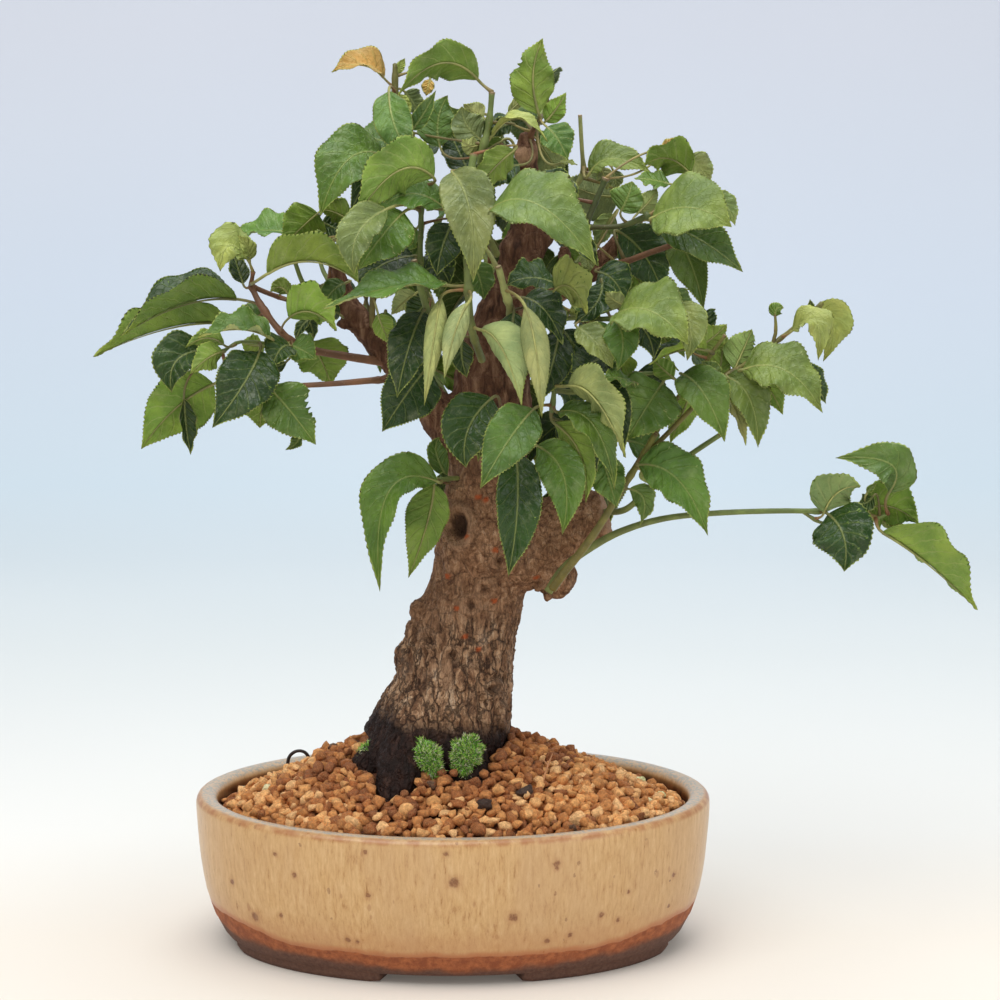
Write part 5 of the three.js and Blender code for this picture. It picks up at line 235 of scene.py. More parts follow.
    [14,111.7,-55,325.7,116.7,-49.8,324,121.7,-47.5,318.5,128.5,-46,314.9,0.38,-0.92,0.12,19.6,12,0],
    [14,82.7,-63.5,324.9,83.4,-68.5,331.3,77.6,-70.6,333.9,73.3,-70,338.1,0.06,0.95,0.3,10.2,15,4],
    [14,79.7,-63.7,324.6,77.1,-72,325.5,81.5,-82,316.3,78.7,-84,301.9,-0.24,-0.87,0.43,18.9,16,1],
    [14,74.7,-62.3,324.5,80.1,-66.6,325.4,91.8,-72.7,319.9,96.5,-75.3,306,0.1,-0.87,0.48,19.6,12,0],
    [14,89.6,-61.9,325.9,94.1,-62,320.6,100.3,-62,316.3,105.6,-62,310.1,0.31,0.89,0.34,12,12,1],
    [14,66.6,-60,324.2,60.3,-67.1,320.7,69.5,-75.1,313.6,77,-80.2,302.4,0.1,-0.76,0.64,18,22,3],
    [14,62.8,-56.7,325,64.8,-57.3,318.2,68.6,-59.3,312.6,73.4,-59.4,307.4,0.22,-0.91,0.35,10.2,12,1],
    [15,49,-68,293.1,55.8,-80,294.3,69,-96.4,289.4,82.5,-102,263.4,0.76,0.61,0.22,28.1,26,4],
    [15,48.7,-68,285.6,51.3,-71.8,280.7,67.9,-87.6,276.3,77.8,-92.1,246.6,0.27,-0.72,0.64,21.6,20,1],
    [15,48.6,-68,282.4,49.5,-68.7,275,61.7,-78.2,261.6,64.5,-81.7,238.6,0.54,0.84,-0.07,16.4,20,1],
    [15,48.5,-68,280.2,51.6,-55.8,274.6,62,-61.5,267.7,70.7,-62,250.3,0.28,-0.86,0.44,23,12,0],
    [15,48.6,-68,283.4,39.8,-80,283.3,28,-98,271.3,14.5,-104,249.1,0.15,-0.86,0.49,25.2,14,1],
    [15,42.9,-56,307.4,52.4,-59.9,318.5,48.5,-68.4,302.8,43.7,-71.2,286.4,0.12,-0.95,0.3,19.6,12,0],
    [15,42.9,-56,307.4,53.9,-52,317.5,61.1,-56,307.4,66.9,-56,294.9,0.19,-0.94,0.27,18.2,12,0],
    [16,38.1,-64,266.1,41.4,-70,264.2,54.1,-82,250.7,53.1,-86,224,-0.04,-0.93,0.36,23.8,20,1],
    [16,33.4,-62.6,264.5,31.4,-72,261.6,31.8,-90,235.8,27.6,-92,205,0.11,-0.94,0.32,23.8,22,0],
    [16,23.8,-58,274.9,20,-70,287.2,8.7,-82,273.6,7.8,-84,255.8,0.03,-0.92,0.4,29.6,16,0],
    [16,23.8,-58,274.9,23.8,-62.6,280.4,17.1,-64.5,270.1,13.3,-64.4,255.6,-0.22,0.98,0.02,12,12,0],
    [17,76.4,-56,292,73.2,-64.6,306.6,65.4,-71.6,303.2,56.9,-75.3,300.3,0.07,-0.58,0.81,24.6,12,0],
    [17,103.1,-52.5,296.4,101.2,-57.8,292.3,93.2,-67.8,282.1,83.6,-71.9,266.8,0.13,-0.9,0.41,33.6,18,1],
    [17,74.5,-55.4,291.6,70.4,-64,295.5,77.3,-74,283,83,-76,262.2,-0.1,-0.95,0.3,19.6,14,0],
    [17,84.1,-54.9,294.5,86.6,-76.7,295.7,79.3,-82.6,298.4,71.7,-83.3,298.5,0.3,-0.31,0.9,19.7,12,1],
    [17,94.9,-53.5,296.5,89.1,-50,296.1,95.9,-50,291.2,104.7,-48,283.2,0.33,-0.9,0.26,22.4,12,0],
    [17,77.4,-55.9,292.3,85.6,-46.6,263,94,-44,260.2,101.3,-44.2,255.8,0.36,-0.78,0.51,23,12,1],
    [17,66,-52.7,289.5,72.8,-56,257.2,76.1,-60,246.1,80,-60,232.5,-0.2,-0.98,0.1,18.2,12,1],
    [17,102.1,-52.6,296.4,106.9,-57.9,295.2,101.1,-58.4,300,96.4,-56.1,304.6,0.28,0.95,0.13,12,12,1],
    [18,93.8,-55.8,257.9,90,-59.3,253.3,108.8,-66.7,247.2,123.3,-68.7,220.4,0.16,-0.89,0.42,27.2,16,1],
    [18,81.2,-55.1,238.7,86.1,-50.1,240.1,93.6,-46.1,234,91.8,-44.1,220.9,0.44,-0.89,-0.14,12.6,14,1],
    [18,86.4,-55.6,247.4,91.8,-52,249.7,95.3,-50,245.5,99.1,-50,243.5,0.02,0.94,0.33,7.3,12,4],
    [18,125.5,-54.4,306.6,121.9,-61.4,309.1,109,-69.3,310,93.8,-72.8,303.3,-0.18,-0.05,0.98,18,48,0],
    [18,123.8,-54.2,304,116.5,-55,308.3,125.3,-52,313.7,132.4,-51.6,320.4,-0.26,0.96,0.07,15.4,10,1],
    [18,134.4,-50.9,296.2,128.6,-48.2,293.9,130.7,-44.2,306,130.7,-42.2,317.4,-0.2,0.95,-0.23,12,12,1],
    [18,130.9,-51.5,294.1,136.2,-49.7,298,141.1,-45.8,308.1,145,-43.8,317.1,-0.24,0.95,-0.18,18.9,16,3],
    [18,132.7,-51.2,295.2,133.3,-43.8,292.8,130.9,-41.8,300.8,130.3,-41.8,309.1,0.27,-0.95,0.16,8,15,0],
    [18,114.4,-52.1,294.5,110.5,-62,297.6,120.8,-74,288.7,130.2,-78,267.3,0.14,-0.84,0.53,25.9,18,1],
    [18,124.1,-52.4,288.2,129.1,-56,291.1,135.5,-62,281.3,141.3,-64,263.2,0.49,0.87,-0.04,16.4,50,4],
    [18,136.9,-50.5,297.8,132.4,-55.4,295.3,142.9,-64.2,285.4,146.7,-68.5,263,0.17,-0.88,0.43,22.4,26,2],
    [18,131.8,-51.4,294.6,137.4,-46.8,295.7,142.9,-44.5,290.5,148.2,-44.6,289.1,0.35,-0.89,0.28,10.2,10,0],
    [18,137.8,-50.3,298.4,139.3,-58.9,299.1,159.4,-69.5,300,176.8,-73.4,280.5,0.07,-0.71,0.7,30.6,12,2],
    [18,134.4,-50.9,296.2,141.3,-51.5,297.7,151.5,-51.5,290.9,160.1,-49.1,276.1,0.13,0.97,0.22,18.9,10,1],
    [18,154.6,-46,309.6,162.5,-56,299.7,173.3,-54,292.7,180.4,-52,281.8,0.37,-0.91,0.17,15.4,10,0],
    [18,118.4,-53,282.4,115.4,-46,284.9,111.8,-42,275.5,106.4,-38,260.2,-0.06,0.94,0.33,16.8,12,1],
    [18,120.9,-53.3,289,125.7,-56,293.5,123.6,-58,299,120.2,-58,303.4,0.4,-0.92,0.03,11.7,10,1],
    [18,156.2,-45.1,315.7,156,-44,322.9,156.9,-44,326.8,160.2,-44,327.2,-0.33,-0.88,0.33,8,10,1],
    [18,159,-44.6,313,163.9,-48,316.6,174.5,-56,321.4,175.6,-58,303.4,0.19,-0.7,0.69,18,25,6],
    [18,168.6,-42.8,320.5,174.6,-40,323.4,184,-38,319.8,180.2,-36,300.1,0.23,-0.97,-0.11,21.1,22,6],
    [18,178.7,-42,329.4,174.7,-39.2,324.3,173.7,-39.2,327.7,173.1,-39.4,331.1,0.11,-0.99,0,3.7,10,0],
    [20,212,-46,227.1,211.5,-52,238.5,211.2,-56,253.3,184.5,-58,256.5,0.37,-0.89,0.26,23.4,14,1],
    [20,175.7,-50,225.5,180.1,-54,229,186.3,-58,240,197.3,-58,242.9,-0.18,0.86,0.48,26.2,14,3],
    [20,208.1,-46,225.8,204.1,-49.9,236.6,200.8,-49.3,233.1,196.5,-49.1,233.1,-0.3,-0.85,0.44,10.2,10,0],
    [20,207.2,-46,225.5,201.3,-45.5,229.5,213.9,-45.4,230.5,227.5,-43.4,221.7,0.05,0.92,0.39,27.9,10,1],
    [20,178.5,-49.9,229,181.8,-56,228.9,188.5,-68,219.3,188.3,-72,203.5,-0.26,-0.85,0.47,32,12,0],
    [20,206.2,-46,225.2,208.8,-50,219,231.4,-50,203.2,256.2,-50,180.4,0.54,0.52,0.66,42,30,1],
    [20,208.1,-46,225.8,209.2,-37.3,222.6,215.5,-38.2,220.8,221.8,-39,219.5,0.18,0.97,0.17,7.3,10,4],
    [20,205.2,-46,224.8,201.2,-49.2,238,203.1,-49.5,240.5,205.9,-50,243,-0.34,-0.92,0.17,3.7,10,1],
    [21,-5.2,-26.1,240.4,-6.5,-32.8,240.7,-30.5,-44.4,236.7,-34.6,-48.4,189,-0.37,-0.81,0.45,26.5,26,1],
    [21,-6,-26.9,240.4,-8.4,-33.2,239.8,-11.9,-35.6,220.4,-21.3,-33.6,193.1,-0.23,0.97,0.06,22.4,14,1],
    [21,-2.1,-23.1,240.6,-2.4,-16.4,240.5,-7.7,-17.2,253.1,-5.8,-15.6,260.3,0.38,-0.92,0.1,11.4,12,1],
    [21,-5.2,-26.1,240.4,-1.8,-19.8,238.6,-4.7,-21.2,240.3,-7.7,-21,238.7,0.17,-0.75,0.64,7.3,10,0],
    [22,13.3,18.3,248.5,6.1,29.1,242.6,1.1,36.6,219.5,1,36.7,194.7,-0.78,0.6,0.18,25.8,24,0],
    [22,12.1,24.8,250.9,16.2,37,244.9,18.5,44.1,225,17.8,42,203.9,0.87,0.49,0.09,22.9,21,1],
    [22,10.9,31.3,253.4,11.1,34.3,268.8,11.1,55.2,258.6,11.1,70.4,241,-0.04,0.61,0.79,22.7,20,0],
    [22,9.6,37.6,256.1,10.6,47.9,252,12.4,66.4,234.9,13.3,75,211,-0.24,0.82,0.52,23.4,10,1],
    [22,8.1,43.9,259,15.9,50.8,271.2,32.3,65.4,267.3,45.9,77.6,254.7,-0.12,0.61,0.78,24.3,19,1],
    [22,5.2,55.9,265.6,5.9,68.2,258.6,6.9,84.4,251.2,7.5,94.6,236.6,0.93,0.21,0.31,18.8,11,1],
    [23,26.3,16,285,38.3,16.6,297.2,55.3,17.6,281.3,63.5,18.1,259.6,0.69,-0.58,0.43,24.9,15,0],
    [23,28.7,21.5,288.2,23,29.6,297.8,10.5,47.5,290.8,0.2,62.1,276.4,0.17,0.62,0.76,22.3,20,1],
    [23,30.9,27,291.5,33.7,39.4,285.8,35.3,46.3,266.9,34.4,42.6,247.1,0.46,0.89,0.08,20.3,16,0],
    [23,33.3,32.4,294.8,39.3,34,302.5,56.7,38.5,294.3,70.6,42.1,280.9,0.39,0.51,0.77,21.1,24,1],
    [23,35.9,37.7,298.3,30.6,48.4,302.1,20.2,69.6,295.1,11.4,87.3,280.4,-0.1,0.45,0.89,23.4,26,1],
    [23,38,43.1,301.8,52.8,54.1,297.4,58,58,276.6,58.8,58.5,254.9,0.77,0.62,0.17,21.7,25,0],
    [23,39.9,48.6,305.3,34.5,50.1,321.1,19,54.5,312.6,6.9,58,299.2,-0.64,-0.27,0.72,18.3,18,0],
    [24,61,10.4,225.8,56.2,18.4,230.1,52.3,25.1,211.5,52.3,25,191.4,-0.25,0.95,0.19,20,12,0],
    [24,63.6,15.1,229.5,63.7,27.7,228.8,63.8,37.4,211.1,63.8,39.9,191,-0.6,0.77,0.24,21,15,1],
    [24,66,19.8,233.5,62.8,23,251.2,48.8,37.3,241.2,39.4,46.8,223.3,-0.79,-0.07,0.61,20.5,17,1],
    [24,67.4,24.4,237.9,62.2,39.3,237.7,60.8,43.4,217.6,61,42.7,197,-0.93,0.37,0.06,21.3,16,1],
    [24,68.1,29,242.6,71.5,40.4,238.8,78.1,62.6,225.2,81.5,74.1,201.2,0.57,0.53,0.63,27,22,0],
    [24,69.4,33.3,247.3,62.4,30.7,264.1,45.4,24.6,254,34.3,20.5,236.9,-0.4,-0.64,0.66,19.4,17,0],
    [24,71,37.6,252,63.7,45.6,253.8,51,59.5,246.5,42.5,68.8,230.7,-0.36,0.47,0.8,21.4,21,0],
    [25,-16.5,9.7,277.7,-9.8,20.9,277.5,-2.5,33.1,257.9,1.7,40.2,235.1,0.91,0.21,0.34,24.7,25,0],
    [25,-19.5,15.4,280.9,-15.2,16.3,292.3,1.5,19.9,283.8,15.7,23,271.5,0.16,0.85,0.5,19.7,24,1],
    [25,-21.5,21.2,284.7,-19,36.5,282.6,-15.3,58.8,274.6,-12.8,73.6,255.9,0.01,0.58,0.81,23.1,15,0],
    [25,-24,26.5,288.9,-16.5,33.3,294,-3.7,44.6,283.6,5.3,52.7,267.8,0.78,-0.02,0.63,21.6,19,0],
    [25,-30.4,36,297.8,-25.9,46.2,301.1,-17.9,64.5,296.9,-10.6,81,287.1,0.19,0.29,0.94,22.6,11,0],
    [25,-33.8,40.6,302.3,-34.3,37.2,316.2,-35.6,27.2,302.8,-36.4,21.5,287.1,-0.27,-0.84,0.47,18.9,23,1],
    [26,-40.5,28.1,311.6,-38.9,38.2,303.5,-35.7,58.9,293.6,-33.1,75.6,277.9,0.95,0.07,0.32,25.4,12,0],
    [26,-41.9,34.2,313.6,-48.8,41.1,326.8,-62.4,54.8,320.6,-73.8,66.2,308.3,-0.74,-0.3,0.6,19.1,22,0],
    [26,-44.9,46,318.5,-36,52.3,332.3,-21,62.8,324.3,-10.1,70.3,309.2,-0.15,0.85,0.5,19.7,25,1],
    [27,-58.8,5.5,332.3,-47.7,15.7,342.3,-28,33.7,339.2,-11.7,48.7,323.8,0,0.49,0.87,27.6,21,0],
    [27,-61,9.3,334.9,-59.3,8.8,352.7,-59.3,30.7,346.6,-59.3,47.1,330.7,0.15,0.49,0.86,24.2,25,1],
    [27,-67.7,23.6,348.4,-60.2,36,354.1,-49.3,53.7,347.2,-39.7,69.4,335.3,0.37,0.27,0.89,22.1,19,1],
    [27,-69.2,26.7,352.3,-62.2,27.9,363.7,-47.9,30.4,361.5,-36.1,32.4,352.9,0.41,-0.4,0.82,14.1,25,1],
    [28,21.7,12.3,337.7,12,21,333.1,-0.3,32.1,317.6,-6.2,37.4,296.4,-0.55,0.63,0.55,22.1,24,0],
    [28,18.8,17.1,341.9,20.8,18.9,354.1,31.6,29.1,338.3,38.8,36,319.1,0.05,0.89,0.46,20.5,26,0],
    [28,15.8,21.5,346.5,1.6,21.5,354.9,-12.1,21.6,333.8,-14.6,21.6,308.7,-0.92,0.23,0.32,27.3,17,0],
    [28,12.6,25.6,351.2,14.8,37,352.3,18.9,57.5,339.4,21.2,69.1,317.8,0.7,0.45,0.55,26.7,25,0],
    [28,9.3,29.6,355.9,11.3,29.8,367.5,11.3,53,362,11.3,72.9,348.8,0.34,0.37,0.86,22.5,24,1],
    [28,5.4,33.6,360.2,2.1,43.4,359,-1.5,53.9,336.1,-0.5,51,310.8,0.07,0.99,0.15,27.9,18,0],
    [28,1.3,37.6,364.3,6,48.7,375,12.8,65,373.1,18.4,78.3,362.8,0.23,0.28,0.93,19.1,25,0],
    [29,35.4,14.3,358,45.2,22.5,364,59.4,34.2,345.6,68.3,41.5,322.3,0.82,0.19,0.54,28.2,25,1],
    [29,35.4,20.4,360.4,34.3,24.5,370.9,29.3,42.5,365.8,25,57.9,354.9,-0.71,0.13,0.69,20.3,19,0],
    [29,35.6,26.5,363,40,42.3,357.3,42.3,50.3,334.1,41,45.6,309.9,0.66,0.75,0.07,22.6,13,0],
    [29,35.6,32.3,366.1,40.6,34.2,379,62.6,42.5,374.2,80.1,49.2,359.1,0.33,0.31,0.89,24.7,14,0],
    [29,35.6,37.8,369.6,34.9,52.2,363.5,33.9,74.2,348.5,33.3,85.5,324.4,0.63,0.61,0.49,24.6,10,1],
    [29,35.6,43.2,373.4,46.7,51.9,374.1,54.7,58.2,355.2,59.2,61.7,334.5,0.72,0.59,0.37,22.1,21,0],
    [29,35.6,48.5,377.2,35.9,51.2,390.2,37.2,64.7,379.3,37.7,70.3,362.9,0.83,0.43,0.36,16.2,14,0],
    [30,31.5,10,388.3,25.5,9.1,404.8,10.1,6.8,393.1,2.7,5.7,375.1,-0.74,0.43,0.52,20,25,1],
    [30,29.6,14.3,391.4,14.5,24,389.4,-2.4,34.8,371.2,-8.6,38.8,345.2,-0.89,-0.05,0.45,24.7,11,1],
    [30,27.8,18.2,395.2,35,25.9,401.6,48.1,40.1,395.2,58.6,51.4,381.9,0.09,0.55,0.83,19.7,10,0],
    [30,26.4,22.1,399,11.9,27.8,408.7,-5.7,34.8,401.3,-18.2,39.8,386.1,-0.63,-0.15,0.76,22,14,0],
    [30,25.4,26,403,22.4,39.6,402.2,18,59.9,392.3,14.2,77.2,377.5,-0.32,0.47,0.82,21.9,11,0],
    [30,23.9,33.2,411.6,11.8,43.7,415.6,-1.5,55,408.6,-12.3,64.3,396.4,-0.09,0.62,0.78,19.9,21,1],
    [31,58.4,6.4,340.9,53.3,16,347.7,50,22.3,327.4,50.2,21.8,305.8,-0.85,0.5,0.13,23.7,20,0],
    [31,61.7,11.8,343.8,71.9,19.1,337.4,84.9,28.3,322.9,90.3,32.2,302.3,0.84,0.19,0.51,20.6,21,0],
    [31,64.9,17.1,347.2,68.7,18.4,360.2,86.8,24.9,354.9,102.1,30.4,343.2,0.36,0.27,0.89,21.1,21,0],
    [32,82,-1.2,348.9,87.8,5.6,341.6,98.5,18.3,324.7,106.4,27.7,304.4,0.85,0.14,0.51,24.7,10,0],
    [32,91.4,10.1,354.1,100.8,11.1,368.3,124.2,13.4,357.6,144.1,15.3,341.1,0.53,-0.01,0.85,25.2,22,0],
    [32,99.5,22.3,359.6,102.1,23.7,369.9,112.9,29.8,360.1,118.4,32.9,345.6,0.78,-0.53,0.33,15.4,22,1],
    [33,39.6,13.2,408.1,32.1,16.4,414.8,14.4,24.1,406.4,3,29,389.2,-0.6,0.2,0.78,22.7,23,0],
    [33,40.6,16.7,410.9,42.5,25.5,408.2,47.2,47,403.7,51.3,65.9,392.3,0.28,0.3,0.91,21.3,12,1],
    [33,43.8,23,416.4,42.1,35.6,417,39,57.9,410.5,36.6,75.5,395.2,-0.37,0.41,0.84,26.1,21,0],
    [33,47.3,29.4,421.8,46.7,29.6,434.9,46.7,47.9,432,46.7,63.1,421.6,-0.28,0.35,0.89,18.9,15,0],
    [34,-6,10.6,282.7,-14.1,26.2,281.9,-22.3,42.1,273.7,-28.8,54.6,259.9,-0.17,0.55,0.82,21.1,23,0],
    [34,-11.4,18.3,294.2,-4,21.7,305.9,7.3,26.8,294.5,12.1,29,278.5,0.85,0.05,0.52,17.5,23,0],
    [35,54.5,-1.5,317.2,65.9,-11.1,320.8,75.9,-19.6,306.3,79.9,-22.9,287.4,0.85,-0.28,0.45,18.9,24,1],
    [35,60.3,0.6,317.7,62.9,14.2,321.9,66.1,30.7,310.5,68.2,41.4,293.4,0.72,0.43,0.54,19.8,22,0],
    [35,65.9,3,318.2,74.5,3.1,308.9,95.9,3.3,304.3,113,3.5,290.5,0.43,-0.03,0.9,21.9,15,0],
    [35,71.4,5.4,319.1,81.5,1.4,326.9,100.9,-6.2,316.9,114.7,-11.6,299.2,0.06,-0.87,0.49,25.2,14,1],
    [35,76.8,7.9,320.5,81.7,20.6,308.5,85.1,29.6,288.3,84.6,28.3,266,0.89,0.44,0.14,21,11,1],
    [35,82.2,10.4,322.1,95.6,7.3,313.2,117.1,2.3,302.7,130.1,-0.7,282.3,0.57,-0.37,0.73,22.2,13,0],
]

RNG = np.random.RandomState(20)
TONES = ["D", "M", "L", "G", "P", "Y", "Y2"]


# ------------------------------------------------------------------ small tools
def srgb(r, g, b):
    c = np.array([r, g, b], float) / 255
    return np.where(c <= 0.04045, c / 12.92, ((c + 0.055) / 1.055) ** 2.4)


def unit(v):
    return v / np.maximum(np.linalg.norm(v, axis=-1, keepdims=True), 1e-9)


_P = np.random.RandomState(5).permutation(512)
_G = unit(np.random.RandomState(6).normal(size=(512, 3)))


def perlin(p):
    """Gradient noise in about -1..1 at points (n, 3)."""
    p = np.asarray(p, float)
    i = np.floor(p).astype(np.int64)
    f = p - i
    u = f * f * f * (f * (f * 6 - 15) + 10)
    out = 0
    for a in (0, 1):
        for b in (0, 1):
            for c in (0, 1):
                k = _P[(_P[(_P[(i[:, 0] + a) & 511] + i[:, 1] + b) & 511] + i[:, 2] + c) & 511]
                d = (_G[k] * (f - np.array([a, b, c]))).sum(1)
                w = (u[:, 0] if a else 1 - u[:, 0]) * (u[:, 1] if b else 1 - u[:, 1]) * (u[:, 2] if c else 1 - u[:, 2])
                out = out + d * w
    return out * 1.6


def fbm(p, octaves=3, gain=0.5):
    p = np.asarray(p, float)
    s, a, t = 0, 1.0, 0
    for k in range(octaves):
        s = s + a * perlin(p * 2 ** k + 17.3 * k)
        t += a
        a *= gain
    return s / t


def smooth(x, a, b):
    t = np.clip((x - a) / (b - a), 0, 1)
    return t * t * (3 - 2 * t)


def make(name, verts_mm, polys, mats, midx=None, attrs=None, nodes=(), flat=False):
    """A piece from vertices in millimetres from the pot's middle."""
    me = bpy.data.meshes.new(name)
    co = (np.asarray(verts_mm, float) / 1000 + FROM_POT).astype(np.float32)
    polys = [np.asarray(p, np.int32) for p in polys if len(p)]
    me.vertices.add(len(co))
    me.vertices.foreach_set("co", co.ravel())
    loops = np.concatenate([p.ravel() for p in polys])
    counts = np.concatenate([np.full(len(p), p.shape[1]) for p in polys])
    me.loops.add(len(loops))
    me.loops.foreach_set("vertex_index", loops)
    me.polygons.add(len(counts))
    me.polygons.foreach_set("loop_start", np.concatenate([[0], np.cumsum(counts)[:-1]]).astype(np.int32))
    me.polygons.foreach_set("use_smooth", np.full(len(counts), not flat))
    if midx is not None:
        me.polygons.foreach_set("material_index", np.asarray(midx, np.int32))
    me.update(calc_edges=True)
    for key, arr in (attrs or {}).items():
        arr = np.asarray(arr, np.float32)
        if arr.ndim == 1:
            me.attributes.new(key, "FLOAT", "POINT").data.foreach_set("value", arr)
        elif arr.shape[1] == 4:
            me.attributes.new(key, "FLOAT_COLOR", "POINT").data.foreach_set("color", arr.ravel())
        else:
            me.attributes.new(key, "FLOAT_VECTOR", "POINT").data.foreach_set("vector", arr.ravel())
    for m in mats:
        me.materials.append(m)
    o = bpy.data.objects.new(name, me)
    bpy.context.scene.collection.objects.link(o)
    if nodes:
        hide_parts(*nodes)
    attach(o, "root")
    return o


def catmull(pts, step):
    """Points [.., r] resampled on a smooth curve about every step."""
    P = np.asarray(pts, float)
    if len(P) < 2:
        return P
    E = np.vstack([2 * P[0] - P[1], P, 2 * P[-1] - P[-2]])
    out = []
    for i in range(1, len(E) - 2):
        n = max(1, int(round(np.linalg.norm(E[i + 1, :3] - E[i, :3]) / step)))
        t = (np.arange(n) / n)[:, None]
        a, b, c, d = E[i - 1], E[i], E[i + 1], E[i + 2]
        out.append(0.5 * (2 * b + (c - a) * t + (2 * a - 5 * b + 4 * c - d) * t ** 2 + (3 * b - a - 3 * c + d) * t ** 3))
    out.append(P[-1:])
    return np.vstack(out)


def tube(line, sides, round_end=False, start_cap=True):
    """Closed tube: (verts, quads, tris). line is (n, 4): x, y, z, radius."""
    P, R = line[:, :3], line[:, 3]
    n = len(P)
    T = unit(np.gradient(P, axis=0))
    side = np.cross(T[0], [0, 0, 1.0])
    if np.linalg.norm(side) < 0.1:
        side = np.cross(T[0], [1.0, 0, 0])
    w = 2 * np.pi * np.arange(sides) / sides
    V = []
    for i in range(n):
        side = unit(side - T[i] * (side @ T[i]))
        up = np.cross(T[i], side)
        V.append(P[i] + R[i] * (np.cos(w)[:, None] * side + np.sin(w)[:, None] * up))
    V = np.vstack(V + [P[0] - T[0] * 0.1 * R[0], P[-1] + T[-1] * R[-1] * (0.6 if round_end else 0.12)])
    i, k = np.meshgrid(np.arange(n - 1), np.arange(sides), indexing="ij")
    a = i * sides + k
    b = i * sides + (k + 1) % sides
    Q = np.stack([a, b, b + sides, a + sides], -1).reshape(-1, 4)
    k = np.arange(sides)
    c0, c1 = n * sides, n * sides + 1
    o = (n - 1) * sides
    Tn = np.vstack([np.stack([np.full(sides, c0), (k + 1) % sides, k], -1), np.stack([np.full(sides, c1), o + k, o + (k + 1) % sides], -1)])
    return V, Q, Tn


# ------------------------------------------------------------------ materials
class Mat:
    def __init__(self, name, roughness=0.5, **values):
        self.m = bpy.data.materials.new(name)
        self.m.use_nodes = True
        self.t = self.m.node_tree
        self.t.nodes.clear()
        out = self.t.nodes.new("ShaderNodeOutputMaterial")
        self.p = self.t.nodes.new("ShaderNodeBsdfPrincipled")
        self.t.links.new(self.p.outputs[0], out.inputs[0])
        self.p.inputs["Roughness"].default_value = roughness
        for k, v in values.items():
            self.p.inputs[k.replace("_", " ")].default_value = v

    def put(self, sock, v):
        if isinstance(v, bpy.types.NodeSocket):
            self.t.links.new(v, sock)
        elif v is not None:
            if hasattr(sock.default_value, "__len__"):
                v = list(v) if hasattr(v, "__len__") else [v] * len(sock.default_value)
                while len(v) < len(sock.default_value):
                    v.append(1.0)
                sock.default_value = v[: len(sock.default_value)]
            else:
                sock.default_value = float(v)

    def node(self, kind, outs=0, ins=(), **props):
        n = self.t.nodes.new(kind)
        for k, v in props.items():
            setattr(n, k, v)
        for k, v in (ins.items() if isinstance(ins, dict) else enumerate(ins)):
            self.put(n.inputs[k], v)
        return n.outputs[outs]

    def math(self, op, a, b=0.0, c=None, clamp=False):
        return self.node("ShaderNodeMath", 0, [a, b] + ([c] if c is not None else []), operation=op, use_clamp=clamp)

    def add(self, a, b): return self.math("ADD", a, b)
    def sub(self, a, b): return self.math("SUBTRACT", a, b)
    def mul(self, a, b): return self.math("MULTIPLY", a, b)
    def max(self, a, b): return self.math("MAXIMUM", a, b)

    def vec(self, op, a, b=(0, 0, 0), out=0):
        return self.node("ShaderNodeVectorMath", out, [a, b], operation=op)

    def scale(self, v, s):
        """Vector v times the fixed numbers s."""
        return self.vec("MULTIPLY", v, s)

    def fit(self, v, a, b, c=0.0, d=1.0, kind="SMOOTHSTEP"):
        n = self.t.nodes.new("ShaderNodeMapRange")
        n.interpolation_type = kind
        for i, x in zip((0, 1, 2, 3, 4), (v, a, b, c, d)):
            self.put(n.inputs[i], x)
        return n.outputs[0]

    def mix(self, f, a, b, blend="MIX"):
        n = self.t.nodes.new("ShaderNodeMix")
        n.data_type = "RGBA"
        n.blend_type = blend
        n.clamp_result = False
        self.put(n.inputs[0], f)
        self.put(n.inputs[6], a)
        self.put(n.inputs[7], b)
        return n.outputs[2]

    def ramp(self, f, stops, kind="LINEAR"):
        n = self.t.nodes.new("ShaderNodeValToRGB")
        n.color_ramp.interpolation = kind
        while len(n.color_ramp.elements) < len(stops):
            n.color_ramp.elements.new(0.5)
        for e, (p, c) in zip(n.color_ramp.elements, stops):
            e.position = p
            e.color = (*c, 1)
        self.put(n.inputs[0], f)
        return n.outputs[0]

    def attr(self, name, out="Color"):
        n = self.t.nodes.new("ShaderNodeAttribute")
        n.attribute_name = name
        return n.outputs[out]

    def xyz(self, v):
        n = self.t.nodes.new("ShaderNodeSeparateXYZ")
        self.put(n.inputs[0], v)
        return n.outputs

    def obj(self):
        return self.t.nodes.new("ShaderNodeTexCoord").outputs["Object"]

    def noise(self, v, scale, detail=3.0, rough=0.5, dist=0.0):
        n = self.t.nodes.new("ShaderNodeTexNoise")
        for k, x in (("Vector", v), ("Scale", scale), ("Detail", detail), ("Roughness", rough), ("Distortion", dist)):
            self.put(n.inputs[k], x)
        return n.outputs[0]

    def voronoi(self, v, scale, feature="F1", rnd=1.0, out="Distance"):
        n = self.t.nodes.new("ShaderNodeTexVoronoi")
        n.feature = feature
        self.put(n.inputs["Vector"], v)
        self.put(n.inputs["Scale"], scale)
        self.put(n.inputs["Randomness"], rnd)
        return n.outputs[out]

    def bump(self, h, strength, mm, normal=None):
        return self.node("ShaderNodeBump", 0, {"Strength": strength, "Distance": mm / 1000, "Height": h, "Normal": normal})

    def done(self, color, roughness=None, normal=None):
        self.put(self.p.inputs["Base Color"], color)
        self.put(self.p.inputs["Roughness"], roughness)
        if normal is not None:
            self.put(self.p.inputs["Normal"], normal)
        return self.m


